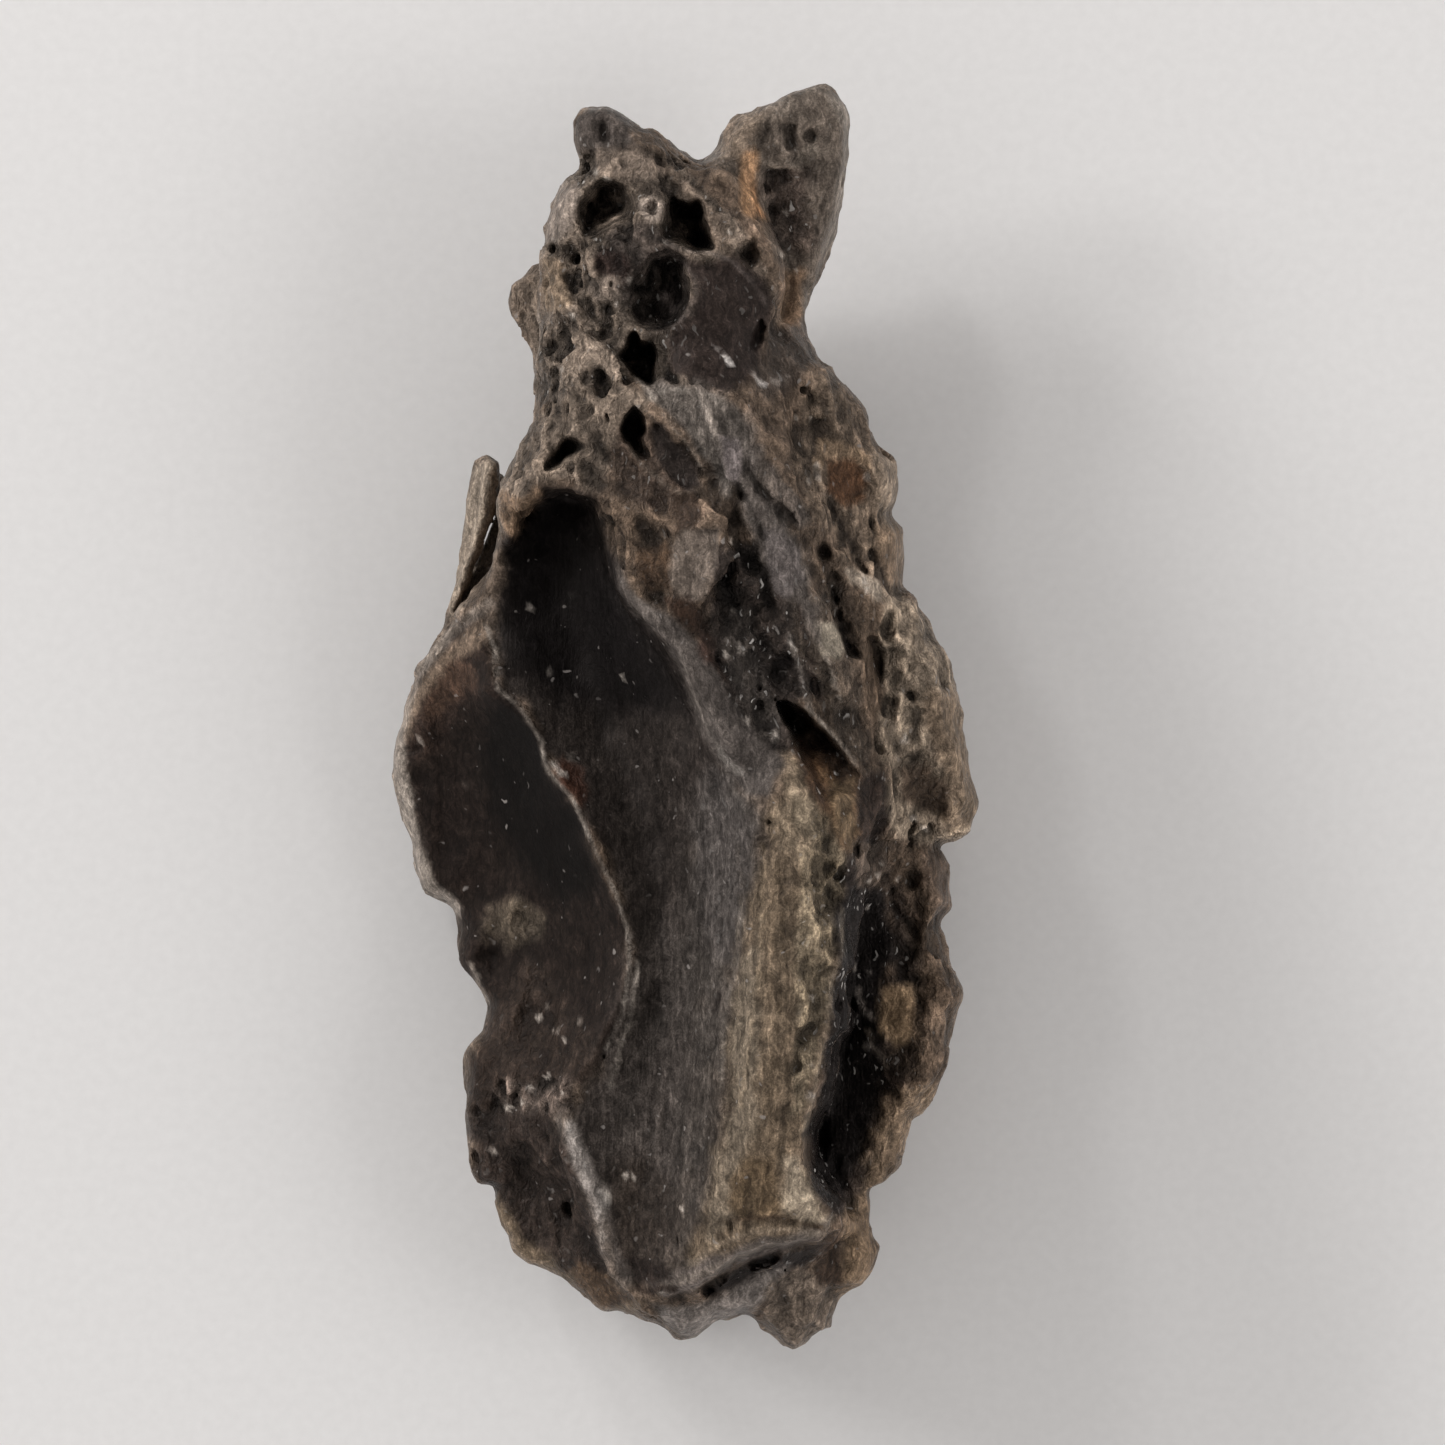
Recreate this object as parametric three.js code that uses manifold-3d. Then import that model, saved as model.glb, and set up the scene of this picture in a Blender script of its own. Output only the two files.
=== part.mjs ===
// A Darwin glass specimen: one natural piece of impact glass, 45 mm long, lying on its underside.
//
// The glass is a twisted, folded lump. Its upper side carries a long scooped trough with a sharp fold
// ridge on its left and a broad striated band on its right, a thin wing to the left of the ridge, a deep
// gap and a rough lobe to the right of the band, and a blistered neck that ends in two horns.
//
// Units are millimetres. +Y runs along the glass towards the horns, +X to the right seen from above, and
// +Z is up. The origin is the middle of the glass's box, at the surface that it rests on.
//
// How it is built: the outline carries the height of the rim at each point. Two relief skins, one for the
// upper side and one for the underside, are stretched over lines of known height, as a membrane is over
// wires. Between the skins the glass is solid. The solid is meshed on a grid with its creases kept, and
// the pits and crevices are then cut out of it.

import * as THREE from "three";
import { mergeVertices } from "three/addons/utils/BufferGeometryUtils.js";
import Module from "manifold-3d";

// ---------------------------------------------------------------- driving dimensions

const LENGTH = 45; // along Y, horn tip to foot
const HALF_SPAN_X = 12; // the relief maps reach this far each way across the glass
const HALF_SPAN_Y = 24; // and this far each way along it
const GRID_BOTTOM = -3.2; // the meshing grid starts below the ground
const GRID_TOP = 16; // and ends above the glass
const MAP_CELL = 0.25; // spacing of the relief maps
const MESH_CELL = 0.9; // spacing of the meshing grid
const UPPER_SHOULDER = 0.8; // how far inside the outline the upper skin reaches its full height
const UNDER_SHOULDER = 2.4; // the same for the underside
const SOFTEN = 0.9; // how far floors and swells are rounded off
const FLAP_SHOULDER = 0.9; // edge rounding of the low flaps
const WAVINESS = 0.18; // how far the glass's surface wanders from its skins
const SHORTEST_EDGE = 0.06; // edges shorter than this are merged
const THINNEST_FACE = 0.012; // triangles thinner than this are turned
const PIT_HEADROOM = 1.6; // how far a pit's cutter stands above the skin
const PIT_FLARE = 1.06; // and its width up there, against its mouth's

// ---------------------------------------------------------------- the outline, seen from above
// Each point is [x, y, height of the rim], starting at the left horn and running clockwise.

const OUTLINE = [
  [-3.8, 20.1, 8.8], [-3.9, 20.5, 8.9], [-3.9, 21, 9], [-3.8, 21.4, 9], [-3.5, 21.6, 9], [-3, 21.6, 9.1],
  [-2.8, 21.7, 9.2], [-2.4, 21.5, 9], [-2, 21.3, 8.8], [-1.7, 21.1, 8.6], [-1.5, 20.9, 8.3], [-1.2, 20.9, 8],
  [-0.9, 20.8, 7.5], [-0.5, 20.6, 7], [-0.2, 20.3, 6.4], [0.1, 20.1, 5.8], [0.4, 19.9, 5.3], [0.7, 19.8, 5],
  [0.9, 19.9, 5.1], [1.1, 20.1, 5.3], [1.3, 20.3, 5.5], [1.4, 20.7, 5.8], [1.5, 20.9, 6], [1.7, 21.2, 6.2],
  [1.9, 21.4, 6.4], [2.4, 21.6, 6.7], [2.8, 21.8, 7], [3.3, 21.9, 7.1], [3.8, 22.2, 7.2], [4.4, 22.4, 7.3],
  [4.9, 22.5, 7.3], [5.1, 22.5, 7.2], [5.4, 22.2, 7], [5.7, 21.9, 6.9], [5.9, 21.5, 6.8], [5.9, 20.9, 6.6],
  [5.9, 20.2, 6.5], [5.8, 19.4, 6.4], [5.7, 18.7, 6.3], [5.5, 18, 6.2], [5.3, 17.2, 6.2], [5, 16.4, 6.2],
  [4.8, 15.7, 6.2], [4.5, 15.2, 6.6], [4.4, 14.6, 7.1], [4.3, 14.1, 7.5], [4.4, 13.6, 7.7], [4.6, 13.2, 7.8],
  [4.7, 12.8, 7.9], [4.9, 12.5, 7.9], [5.1, 12.5, 7.9], [5.4, 12.2, 7.9], [5.8, 11.8, 7.8], [6.1, 11.5, 7.6],
  [6.4, 11.1, 7.4], [6.5, 10.8, 7.3], [6.6, 10.3, 7.2], [6.8, 9.9, 7], [7.1, 9.6, 6.8], [7.4, 9.4, 6.6],
  [7.6, 9.1, 6.4], [7.7, 8.6, 6.2], [7.7, 8.1, 6.2], [7.6, 7.6, 6.2], [7.4, 7.3, 6.2], [7.6, 7, 6],
  [7.8, 6.7, 5.8], [7.8, 6.2, 5.8], [7.7, 5.6, 5.8], [7.7, 5.1, 5.8], [7.7, 4.6, 5.8], [8, 4.6, 5.9],
  [8.3, 4.3, 5.9], [8.4, 3.9, 5.9], [8.7, 3.5, 5.8], [8.9, 3, 5.8], [9.3, 2.5, 5.7], [9.5, 2.1, 5.6],
  [9.6, 1.5, 5.5], [9.8, 0.8, 5.4], [9.9, 0.2, 5.3], [9.9, -0.2, 5.3], [10, -0.6, 5.2], [10.1, -1.1, 5],
  [10.2, -1.6, 5], [10.3, -2.1, 4.9], [10.5, -2.5, 4.8], [10.6, -2.9, 4.8], [10.5, -3.3, 4.8], [10.3, -3.6, 4.8],
  [10.2, -4, 4.8], [9.8, -4.2, 4.8], [9.4, -4.4, 4.9], [9.1, -4.5, 4.9], [9.3, -4.9, 4.7], [9.5, -5.3, 4.6],
  [9.4, -5.9, 4.6], [9.5, -6.3, 4.5], [9.6, -6.7, 4.5], [9.3, -6.9, 4.5], [9.2, -7.3, 4.5], [9.3, -7.7, 4.4],
  [9.4, -8.2, 4.4], [9.5, -8.7, 4.4], [9.7, -9.2, 4.3], [9.9, -9.6, 4.3], [9.9, -10, 4.3], [9.7, -10.4, 4.3],
  [9.6, -10.8, 4.3], [9.5, -11.4, 4.3], [9.5, -11.9, 4.3], [9.4, -12.4, 4.3], [9.2, -12.9, 4.3], [9, -13.4, 4.3],
  [8.7, -13.8, 4.3], [8.5, -14.1, 4.3], [8.2, -14.2, 4.4], [8.1, -14.6, 4.4], [7.9, -15, 4.3], [7.8, -15.5, 4.3],
  [7.7, -16, 4.3], [7.4, -16.3, 4.3], [7.1, -16.6, 4.4], [6.7, -16.9, 4.4], [6.7, -17.4, 4.4], [6.7, -17.9, 4.4],
  [6.8, -18.4, 4.3], [7, -18.9, 4.3], [6.9, -19.4, 4.2], [6.7, -19.9, 4.2], [6.4, -20.2, 4.2], [5.9, -20.4, 4.3],
  [5.5, -20.6, 4.3], [5.4, -21, 4.1], [5.2, -21.4, 4], [5.2, -21.7, 3.9], [4.8, -21.9, 3.8], [4.5, -22.1, 3.8],
  [4.2, -22.4, 3.7], [3.9, -22.5, 3.7], [3.6, -22.4, 3.7], [3.3, -22.1, 3.9], [2.9, -21.8, 4.2], [2.5, -21.4, 4.8],
  [2.1, -21.2, 5.4], [1.9, -21.3, 5.6], [1.5, -21.4, 5.8], [1.3, -21.3, 6], [1, -21.5, 6.1], [0.7, -21.7, 6.2],
  [0.4, -21.9, 6.2], [-0, -22, 6.2], [-0.3, -21.9, 6.3], [-0.6, -21.6, 6.4], [-0.9, -21.4, 6.4], [-1.3, -21.3, 6.4],
  [-1.7, -21.1, 6.4], [-2.2, -21, 6.4], [-2.7, -21, 6.3], [-3, -20.9, 6.2], [-3.4, -20.6, 6], [-3.8, -20.3, 5.9],
  [-4.2, -20, 5.8], [-4.5, -19.7, 5.7], [-4.9, -19.5, 5.6], [-5.4, -19.4, 5.5], [-5.8, -19.2, 5.4], [-6.1, -18.9, 5.3],
  [-6.2, -18.5, 5.3], [-6.5, -18.1, 5.3], [-6.7, -17.7, 5.3], [-6.8, -17.3, 5.2], [-6.8, -16.9, 5.1], [-6.9, -16.7, 5.1],
  [-7.2, -16.6, 5.1], [-7.4, -16.6, 5.1], [-7.6, -16.2, 5.1], [-7.7, -15.8, 5.1], [-7.7, -15.2, 5.1], [-7.7, -14.5, 5.1],
  [-7.8, -13.9, 5], [-7.7, -13.3, 4.9], [-7.8, -12.7, 4.8], [-7.8, -12.2, 4.7], [-7.7, -11.7, 4.6], [-7.5, -11.5, 4.5],
  [-7.2, -11.2, 4.3], [-7.1, -10.8, 4.1], [-7, -10.2, 3.8], [-7.3, -9.8, 3.6], [-7.6, -9.4, 3.4], [-7.9, -9, 3.1],
  [-8.1, -8.7, 2.9], [-8.1, -8.1, 2.8], [-8, -7.5, 2.7], [-8.2, -6.9, 2.6], [-8.5, -6.6, 2.5], [-8.9, -6.4, 2.4],
  [-9.3, -6.2, 2.3], [-9.5, -5.8, 2.2], [-9.7, -5.3, 2.2], [-9.8, -4.6, 2.3], [-10, -4, 2.4], [-10.1, -3.4, 2.5],
  [-10.3, -2.8, 2.6], [-10.4, -2.2, 2.7], [-10.4, -1.6, 2.9], [-10.3, -0.9, 3.1], [-10.1, -0.2, 3.4], [-10, 0.5, 3.8],
  [-9.7, 1.1, 4.2], [-9.5, 1.7, 4.7], [-9.1, 2.2, 5.1], [-8.8, 2.7, 5.5], [-8.4, 3.1, 6], [-8.1, 3.6, 6.5],
  [-7.6, 4.3, 7.1], [-7.2, 4.9, 7.6], [-6.8, 5.6, 8], [-6.6, 6.1, 8.4], [-6.4, 6.7, 8.8], [-6.5, 7.3, 9],
  [-6.5, 7.9, 9.1], [-6.4, 8.5, 9.1], [-6.1, 9.1, 9], [-5.8, 9.7, 9], [-5.4, 10.3, 9], [-5.2, 10.8, 8.8],
  [-5.1, 11.4, 8.4], [-5.1, 12, 8.2], [-5.2, 12.6, 8], [-5, 13.2, 7.9], [-5, 13.8, 7.8], [-5.1, 14.5, 7.8],
  [-5.2, 15.2, 7.8], [-5.1, 16, 7.9], [-4.9, 16.8, 8], [-4.8, 17.5, 8.2], [-4.6, 18.2, 8.4], [-4.4, 18.6, 8.6],
  [-4.2, 18.9, 8.7], [-3.8, 19.1, 8.9], [-3.6, 19.4, 9], [-3.6, 19.7, 8.9],
];

// ---------------------------------------------------------------- relief of the upper side
// Lines of [x, y, height]. Creases stay sharp; swells and floors are rounded off.

const UPPER_CREASES = {
  fold_ridge: [
    [-7.5, 2.9, 7.6], [-7.1, 2.3, 8.2], [-6.8, 1.8, 8.5], [-6.9, 1.1, 8.9], [-6.6, 0.9, 9], [-5.9, 0.3, 9.3],
    [-5.3, -0.3, 9.5], [-4.9, -1.1, 9.7], [-4.5, -1.9, 9.9], [-3.9, -2.8, 10.2], [-3.2, -4, 10.4], [-2.7, -5.1, 10.5],
    [-2.4, -6, 10.6], [-2, -7, 10.7], [-1.9, -8, 10.8], [-2, -9.1, 10.8], [-2.2, -10.1, 10.7], [-2.6, -10.9, 10.6],
    [-3, -11.8, 10.3], [-3.6, -12.5, 10], [-4.4, -13.1, 9.5],
  ],
  trough_lip: [
    [-6.6, 6.2, 9.5], [-6.1, 6.3, 10.3], [-5.7, 7.6, 11.4], [-4.9, 8.3, 12], [-3.9, 8.3, 12.4], [-3.1, 7.8, 12.6],
    [-2.6, 7, 12.9], [-2.4, 5.8, 13.1], [-2, 4.5, 13.3], [-1.3, 3.8, 13.6], [-0.6, 2.9, 13.8], [0.1, 1.9, 14],
    [0.7, 0.9, 14.1], [1.3, -0.3, 14], [1.9, -1.3, 13.8],
  ],
  trough_foot: [
    [-6.5, 5.6, 8.3], [-5.8, 6.2, 8.1], [-5.3, 7.5, 8.1], [-4.4, 7.9, 8.1], [-3.4, 7.5, 8.4], [-3, 6.5, 8.9],
    [-2.7, 5.3, 9.3], [-2.4, 4.1, 9.8], [-1.6, 3.2, 10.4], [-0.9, 2.1, 10.9], [-0.1, 0.8, 11.3], [0.5, -0.6, 11.7],
  ],
  band_edge: [
    [4.5, -2, 14.2], [4.9, -2.9, 14.1], [5.7, -2.9, 13], [6.2, -3.1, 12.7], [6.3, -3.6, 12.7], [6, -4.5, 13],
    [6, -5.7, 13.2], [5.6, -6.6, 13.5], [5.5, -7, 13.6], [5.6, -7.6, 13.8], [5.6, -8.6, 13.9], [5.2, -9.2, 13.9],
    [5.1, -10, 14], [5.4, -10.4, 13.8], [5.4, -10.8, 13.8], [5, -11.1, 14], [4.7, -12.1, 13.9], [4.5, -12.7, 13.8],
    [4.3, -13.9, 13.7], [4.2, -14.8, 13.5], [4.1, -15.2, 13.5], [4.5, -16.3, 13.3], [4.9, -16.9, 13.1], [5.2, -17.3, 12.8],
  ],
  band_foot: [
    [6.8, -2.5, 11], [7, -3.3, 10], [6.9, -4.2, 9.2], [6.7, -5.2, 8.4], [6.6, -6.1, 7.7], [6.3, -7, 7.1],
    [6.2, -7.9, 6.7], [6.1, -8.7, 6.4], [5.9, -9.4, 6.2], [5.9, -10.1, 6.1], [6.1, -10.6, 6.1], [5.7, -11.4, 6],
    [5.5, -12.2, 5.9], [5.4, -13.1, 5.9], [5.3, -13.8, 5.9], [5, -14.5, 5.8], [4.9, -15.2, 5.8], [5.1, -15.9, 5.8],
    [5.5, -16.5, 5.8], [5.8, -17.4, 5.8],
  ],
  end_lip: [
    [5.2, -17.4, 12.8], [4.9, -18.2, 12.5], [3.7, -18.4, 12.6], [2.5, -18.8, 12.3], [1.3, -19.4, 11.8], [0.2, -20, 11],
    [-1, -20.2, 10.2],
  ],
  end_foot: [
    [5.9, -18.3, 5.9], [4.9, -18.8, 8], [3.6, -19.2, 8.7], [2.3, -19.7, 8.9], [1.1, -20.2, 9.1], [0, -20.4, 9.2],
  ],
  left_ledge: [
    [-6.3, 6.2, 9], [-6.6, 5.6, 8.8], [-6.8, 4.9, 8.5], [-7, 4.2, 8.1], [-7.3, 3.9, 7.6], [-7.7, 3.5, 7],
    [-8.2, 3, 6.4],
  ],
  facet_ridge: [
    [-4.4, -13.9, 9.3], [-4, -15.2, 9.6], [-3.3, -16.5, 9.7], [-3, -17.4, 9.6], [-2.9, -18.6, 9.2], [-2.4, -19.7, 8.9],
  ],
  plate_edge: [
    [3.9, 0.6, 13], [5, -0.7, 12.8], [6.3, -1.8, 12.4], [6.5, -2, 11.8],
  ],
  neck_edge: [
    [1, 19.5, 10.2], [2.2, 17.8, 10.9], [3.1, 16.6, 10.6], [3.3, 15.2, 10.6], [2.9, 14, 11],
  ],
  neck_foot: [
    [1.6, 19.8, 8.6], [2.8, 18.4, 8.2], [3.5, 16.8, 7.8], [3.7, 15.2, 7.6], [3.5, 14.2, 8],
  ],
  tan_ledge: [
    [1.4, 7, 14.1], [1.3, 5.6, 14.3], [0.8, 4.3, 14.3],
  ],
  tan_ledge_foot: [
    [1.8, 6.9, 13.2], [1.6, 5.4, 13.1], [1.2, 4, 13.2],
  ],
};

const UPPER_SWELLS = {
  trough_floor: [
    [-4.4, 6.3, 7.7], [-3.9, 4.2, 7.7], [-3, 0.7, 8.2], [-1.6, -2.9, 9.1], [-0.6, -6.4, 9.6], [-0.3, -9.9, 9.8],
    [-0.7, -13.5, 9.6], [-1.3, -16.3, 9.3], [-1.9, -18.4, 9],
  ],
  trough_shelf: [
    [1, -2.5, 11.9], [1, -6.4, 11.8], [0.8, -9.9, 11.7], [0.7, -12.8, 11.5], [0.4, -15.6, 11.2], [-0.3, -18.3, 10.5],
  ],
  crest_slope: [
    [2.2, -2.5, 13.8], [2.2, -5.7, 13.7], [1.9, -8.5, 13.5], [1.5, -11.4, 13.4], [1.3, -14.2, 13.3], [0.8, -17, 12.7],
    [0.2, -19.2, 11.6],
  ],
  band_top: [
    [3, -1.8, 14.3], [3.9, -3.9, 14.9], [3.8, -6.4, 14.9], [3.6, -9.2, 14.9], [3.2, -12.1, 14.8], [3, -14.9, 14.5],
    [2.7, -17, 13.9], [1.8, -18.4, 12.9],
  ],
  wing_floor: [
    [-8.2, 1, 5.7], [-7.3, -1.5, 5.3], [-6.5, -4.6, 5.4], [-5.5, -7.1, 5.9], [-4.4, -9.6, 6.9], [-4.9, -11.7, 7.5],
  ],
  wing_shoulder: [
    [-7.6, 2.8, 7.2], [-9, 1, 5.6], [-9.8, -0.9, 4.3], [-9.5, -3.6, 3.8], [-8.7, -5.4, 4], [-7.6, -6.6, 4.5],
    [-7.2, -8, 4.6], [-6.6, -9.9, 5.7], [-7.1, -11.8, 6.1], [-7.3, -14, 6.3], [-7.2, -16, 6.2],
  ],
  wing_hump: [
    [-6, -7.6, 6.2], [-4.9, -7.3, 6.4],
  ],
  rough_step: [
    [-6.5, -13.8, 7.4], [-5.5, -13.2, 8.3], [-4.5, -13.2, 9.2],
  ],
  low_floor: [
    [-5.1, -14.9, 7], [-4.4, -16.7, 6.9], [-4, -18.4, 6.9],
  ],
  low_shoulder: [
    [-6.5, -16.8, 6.1], [-5.8, -18.3, 6.1], [-4.6, -19.5, 6.4], [-3, -20.3, 7.2], [-1.6, -20.6, 8.2],
  ],
  flake: [
    [-0.8, -21, 8.7], [0.2, -21.3, 8.4], [1.4, -20.8, 8.9], [2.8, -20, 9], [4.1, -19.4, 8.4],
  ],
  foot_lobe: [
    [3, -21.2, 6.2], [4, -21.8, 5.8], [4.7, -21, 6.4], [4.4, -20, 7.4],
  ],
  side_lobe: [
    [6.1, -17.5, 6.2], [6.3, -18.8, 6.9], [6, -20, 6.2],
  ],
  gap_floor: [
    [6.6, -4.6, 8.3], [6.5, -7.1, 6.6], [6.3, -9.6, 6], [5.9, -12.1, 5.6], [5.7, -14.5, 5.6], [5.8, -16.3, 5.6],
  ],
  lobe_crest: [
    [7.8, 4.2, 8.6], [8.2, 2.8, 9.2], [8.6, 0.7, 9.2], [9, -1.8, 8.6], [9.3, -3.3, 7.4], [8.4, -4.6, 7.2],
    [8.2, -6.4, 7.4], [8.3, -8.2, 7.2], [8.5, -9.9, 7.6], [8.3, -11.7, 7.8], [7.8, -13.1, 7.2], [7.1, -14.9, 6.6],
    [6.3, -16.5, 6],
  ],
  lobe_inner: [
    [7.4, 2.1, 8.9], [7.6, -0.7, 8.9], [7.4, -2.9, 8.3], [7.1, -8.5, 7.2], [7.1, -11.4, 7.2], [6.6, -13.8, 6.4],
  ],
  horn_ridge: [
    [2.4, 19.8, 8], [3.2, 20.3, 8.5], [4.5, 21.3, 8.3], [5.1, 21.9, 7.9], [5.4, 20.1, 7.9], [5, 18.4, 8.1],
    [4.5, 16.6, 8.1], [4.1, 14.8, 8.3],
  ],
  horn_hollow: [
    [3.6, 18.7, 7.9], [3.7, 17.1, 7.5],
  ],
  neck_top: [
    [-3.3, 20.9, 10.2], [-2.6, 20.4, 10.6], [-1.6, 19.9, 11], [-0.6, 19.1, 11.2], [-1.2, 16.9, 12.2], [-0.6, 14.8, 12.4],
    [0.2, 12.7, 12.9],
  ],
  neck_left: [
    [-4.3, 17.3, 10.2], [-4.5, 15.2, 10.3], [-4.3, 13.4, 10.6], [-4.3, 11.6, 11], [-5.3, 9.9, 11.4], [-5.9, 8.5, 11.2],
  ],
  neck_right: [
    [1.8, 16.6, 11.8], [2, 14.5, 12], [2.8, 13.1, 11.8], [4.1, 12, 10.9], [5.3, 10.6, 10.3],
  ],
  knob: [
    [-4.4, 10.2, 12.7], [-3, 10.6, 12.9], [-2.6, 9.1, 13],
  ],
  valley: [
    [-0.2, 9.9, 12.9], [0.2, 8.1, 12.9],
  ],
  tan_field: [
    [-1.6, 8.1, 13.2], [-1.4, 6.2, 13.3], [-0.2, 4.9, 13.9], [0.5, 6.7, 14],
  ],
  grey_back: [
    [-1, 11.6, 13.5], [0.7, 11.3, 13.9], [2, 9.9, 14], [2.6, 7.7, 13.9], [3.4, 5.6, 13.7], [4.4, 3.5, 13.3],
    [4.6, 1.7, 13.2],
  ],
  channel: [
    [2, 4.6, 12.7], [2.1, 2.8, 12.4], [2.1, 1, 12.5], [3, -0.4, 13],
  ],
  right_fall: [
    [5.1, 8.8, 10.6], [5.9, 7, 10.2], [6.5, 5.6, 9.4], [6.8, 7.7, 8.6], [6.1, 4.2, 10], [5.8, 2.1, 11.5],
    [6.1, -0, 12],
  ],
};

// ---------------------------------------------------------------- relief of the underside
// Four feet reach below zero and are cut flat there, so the glass rests on them.

const UNDER_CREASES = {
  belly_fold: [[-3.4, 9, 1.9], [-1.6, 5, 1.2], [0.4, 0, 0.9], [1.4, -5, 0.8], [1.2, -9, 1.1], [-0.4, -13, 1.3]],
  wing_root: [[-5.6, 2, 2.2], [-5.2, -3, 1.5], [-4.0, -7, 1.3], [-3.6, -10, 1.4]],
};

const UNDER_SWELLS = {
  neck_foot: [[-0.9, 12.4, -1.5], [0.5, 12, -1.8], [1.8, 11.5, -1.5]],
  lobe_foot: [[7.1, -0.6, -1.5], [7.4, -2.3, -1.8], [7.7, -4, -1.5]],
  end_foot: [[2.6, -16.5, -1.5], [3.9, -16, -1.8], [5.1, -15.4, -1.5]],
  wing_foot: [[-5.2, -13, -1.5], [-4, -13.9, -1.8], [-2.9, -14.7, -1.5]],
  neck: [[-2.2, 19.6, 6.4], [-1.4, 17, 4.6], [-0.6, 14.6, 2.4]],
  horn: [[4.6, 21, 5.4], [4.4, 18, 4.6], [3.4, 14.8, 3.4]],
  right_flank: [[6.2, 8, 2.6], [6.6, 4, 1.8]],
  wing: [[-8.8, -0.5, 1.7], [-8, -5, 1.0], [-6.8, -9, 1.2], [-6.6, -15.5, 2.5]],
  hollow: [[3.6, 4.5, 2.1], [4.2, -1, 2.3], [4.4, -6.4, 2.2], [4.2, -11, 1.5]],
  left_hollow: [[-3.4, 1, 2.2], [-2.6, -4, 2.4]],
  lobe: [[7.4, -8, 1.4], [7, -12, 0.9]],
  end: [[1, -19, 2.6], [-1.4, -18.4, 3], [3.8, -20.4, 1.9]],
};

// ---------------------------------------------------------------- flaps
// Thin low sheets that stand out from under the left flank: outline with the middle height at each point.

const FLAPS = {
  spear: {
    rise: 0.9,
    drop: 1.5,
    outline: [
      [-7.3, 9.2, 5], [-7, 9.3, 5.2], [-6.5, 9.1, 5.4], [-6.5, 8.5, 5.4], [-6.6, 7.7, 5.4],
      [-6.8, 7, 5.3], [-7.2, 6.2, 5.2], [-7.6, 5.4, 5.1], [-7.8, 4.6, 5], [-8, 4.1, 4.9],
      [-8.2, 3.4, 4.9], [-8.6, 2.8, 4.9], [-8.7, 2.9, 4.8], [-8.5, 3.3, 4.8], [-8.4, 3.9, 4.7],
      [-8.3, 4.4, 4.7], [-8.1, 5, 4.7], [-8, 5.6, 4.7], [-7.9, 6.3, 4.7], [-7.9, 6.9, 4.7],
      [-7.8, 7.5, 4.8], [-7.6, 8.4, 4.9],
    ],
  },
  spear_root: {
    rise: 0.5,
    drop: 1.2,
    outline: [
      [-6.8, 8.9, 4], [-6.2, 8.5, 4.2], [-6.1, 7, 4.2], [-6.2, 5.6, 4.2], [-6.8, 4.6, 4.2],
      [-7.6, 3.7, 4.2], [-8.2, 3, 4.3], [-8.2, 3.6, 4.1], [-7.9, 4.5, 4], [-7.3, 5.9, 4],
      [-6.8, 7.3, 4],
    ],
  },
  tab: {
    rise: 0.6,
    drop: 0.9,
    outline: [
      [-4.6, 16.6, 5.2], [-5.1, 16.3, 5], [-5.5, 16.1, 4.9], [-5.8, 15.8, 4.8], [-6.1, 15.5, 4.7],
      [-6.2, 15, 4.7], [-6.2, 14.7, 4.7], [-6.1, 14.4, 4.7], [-5.8, 14.1, 4.8], [-5.6, 13.7, 4.8],
      [-5.4, 13.2, 4.8], [-5.4, 12.6, 4.8], [-5.3, 11.9, 4.8], [-5.3, 11.3, 4.8], [-5.3, 10.8, 4.9],
      [-4.8, 10.5, 5.1], [-4.4, 11.3, 5.3], [-4.1, 13.1, 5.4], [-4.2, 14.8, 5.4],
    ],
  },
};

// ---------------------------------------------------------------- pits and crevices
// Each is cut down into the upper side by `depth`. Its mouth is an outline of [x, y], and its floor has the
// same outline scaled by `floor` about its middle.

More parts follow.
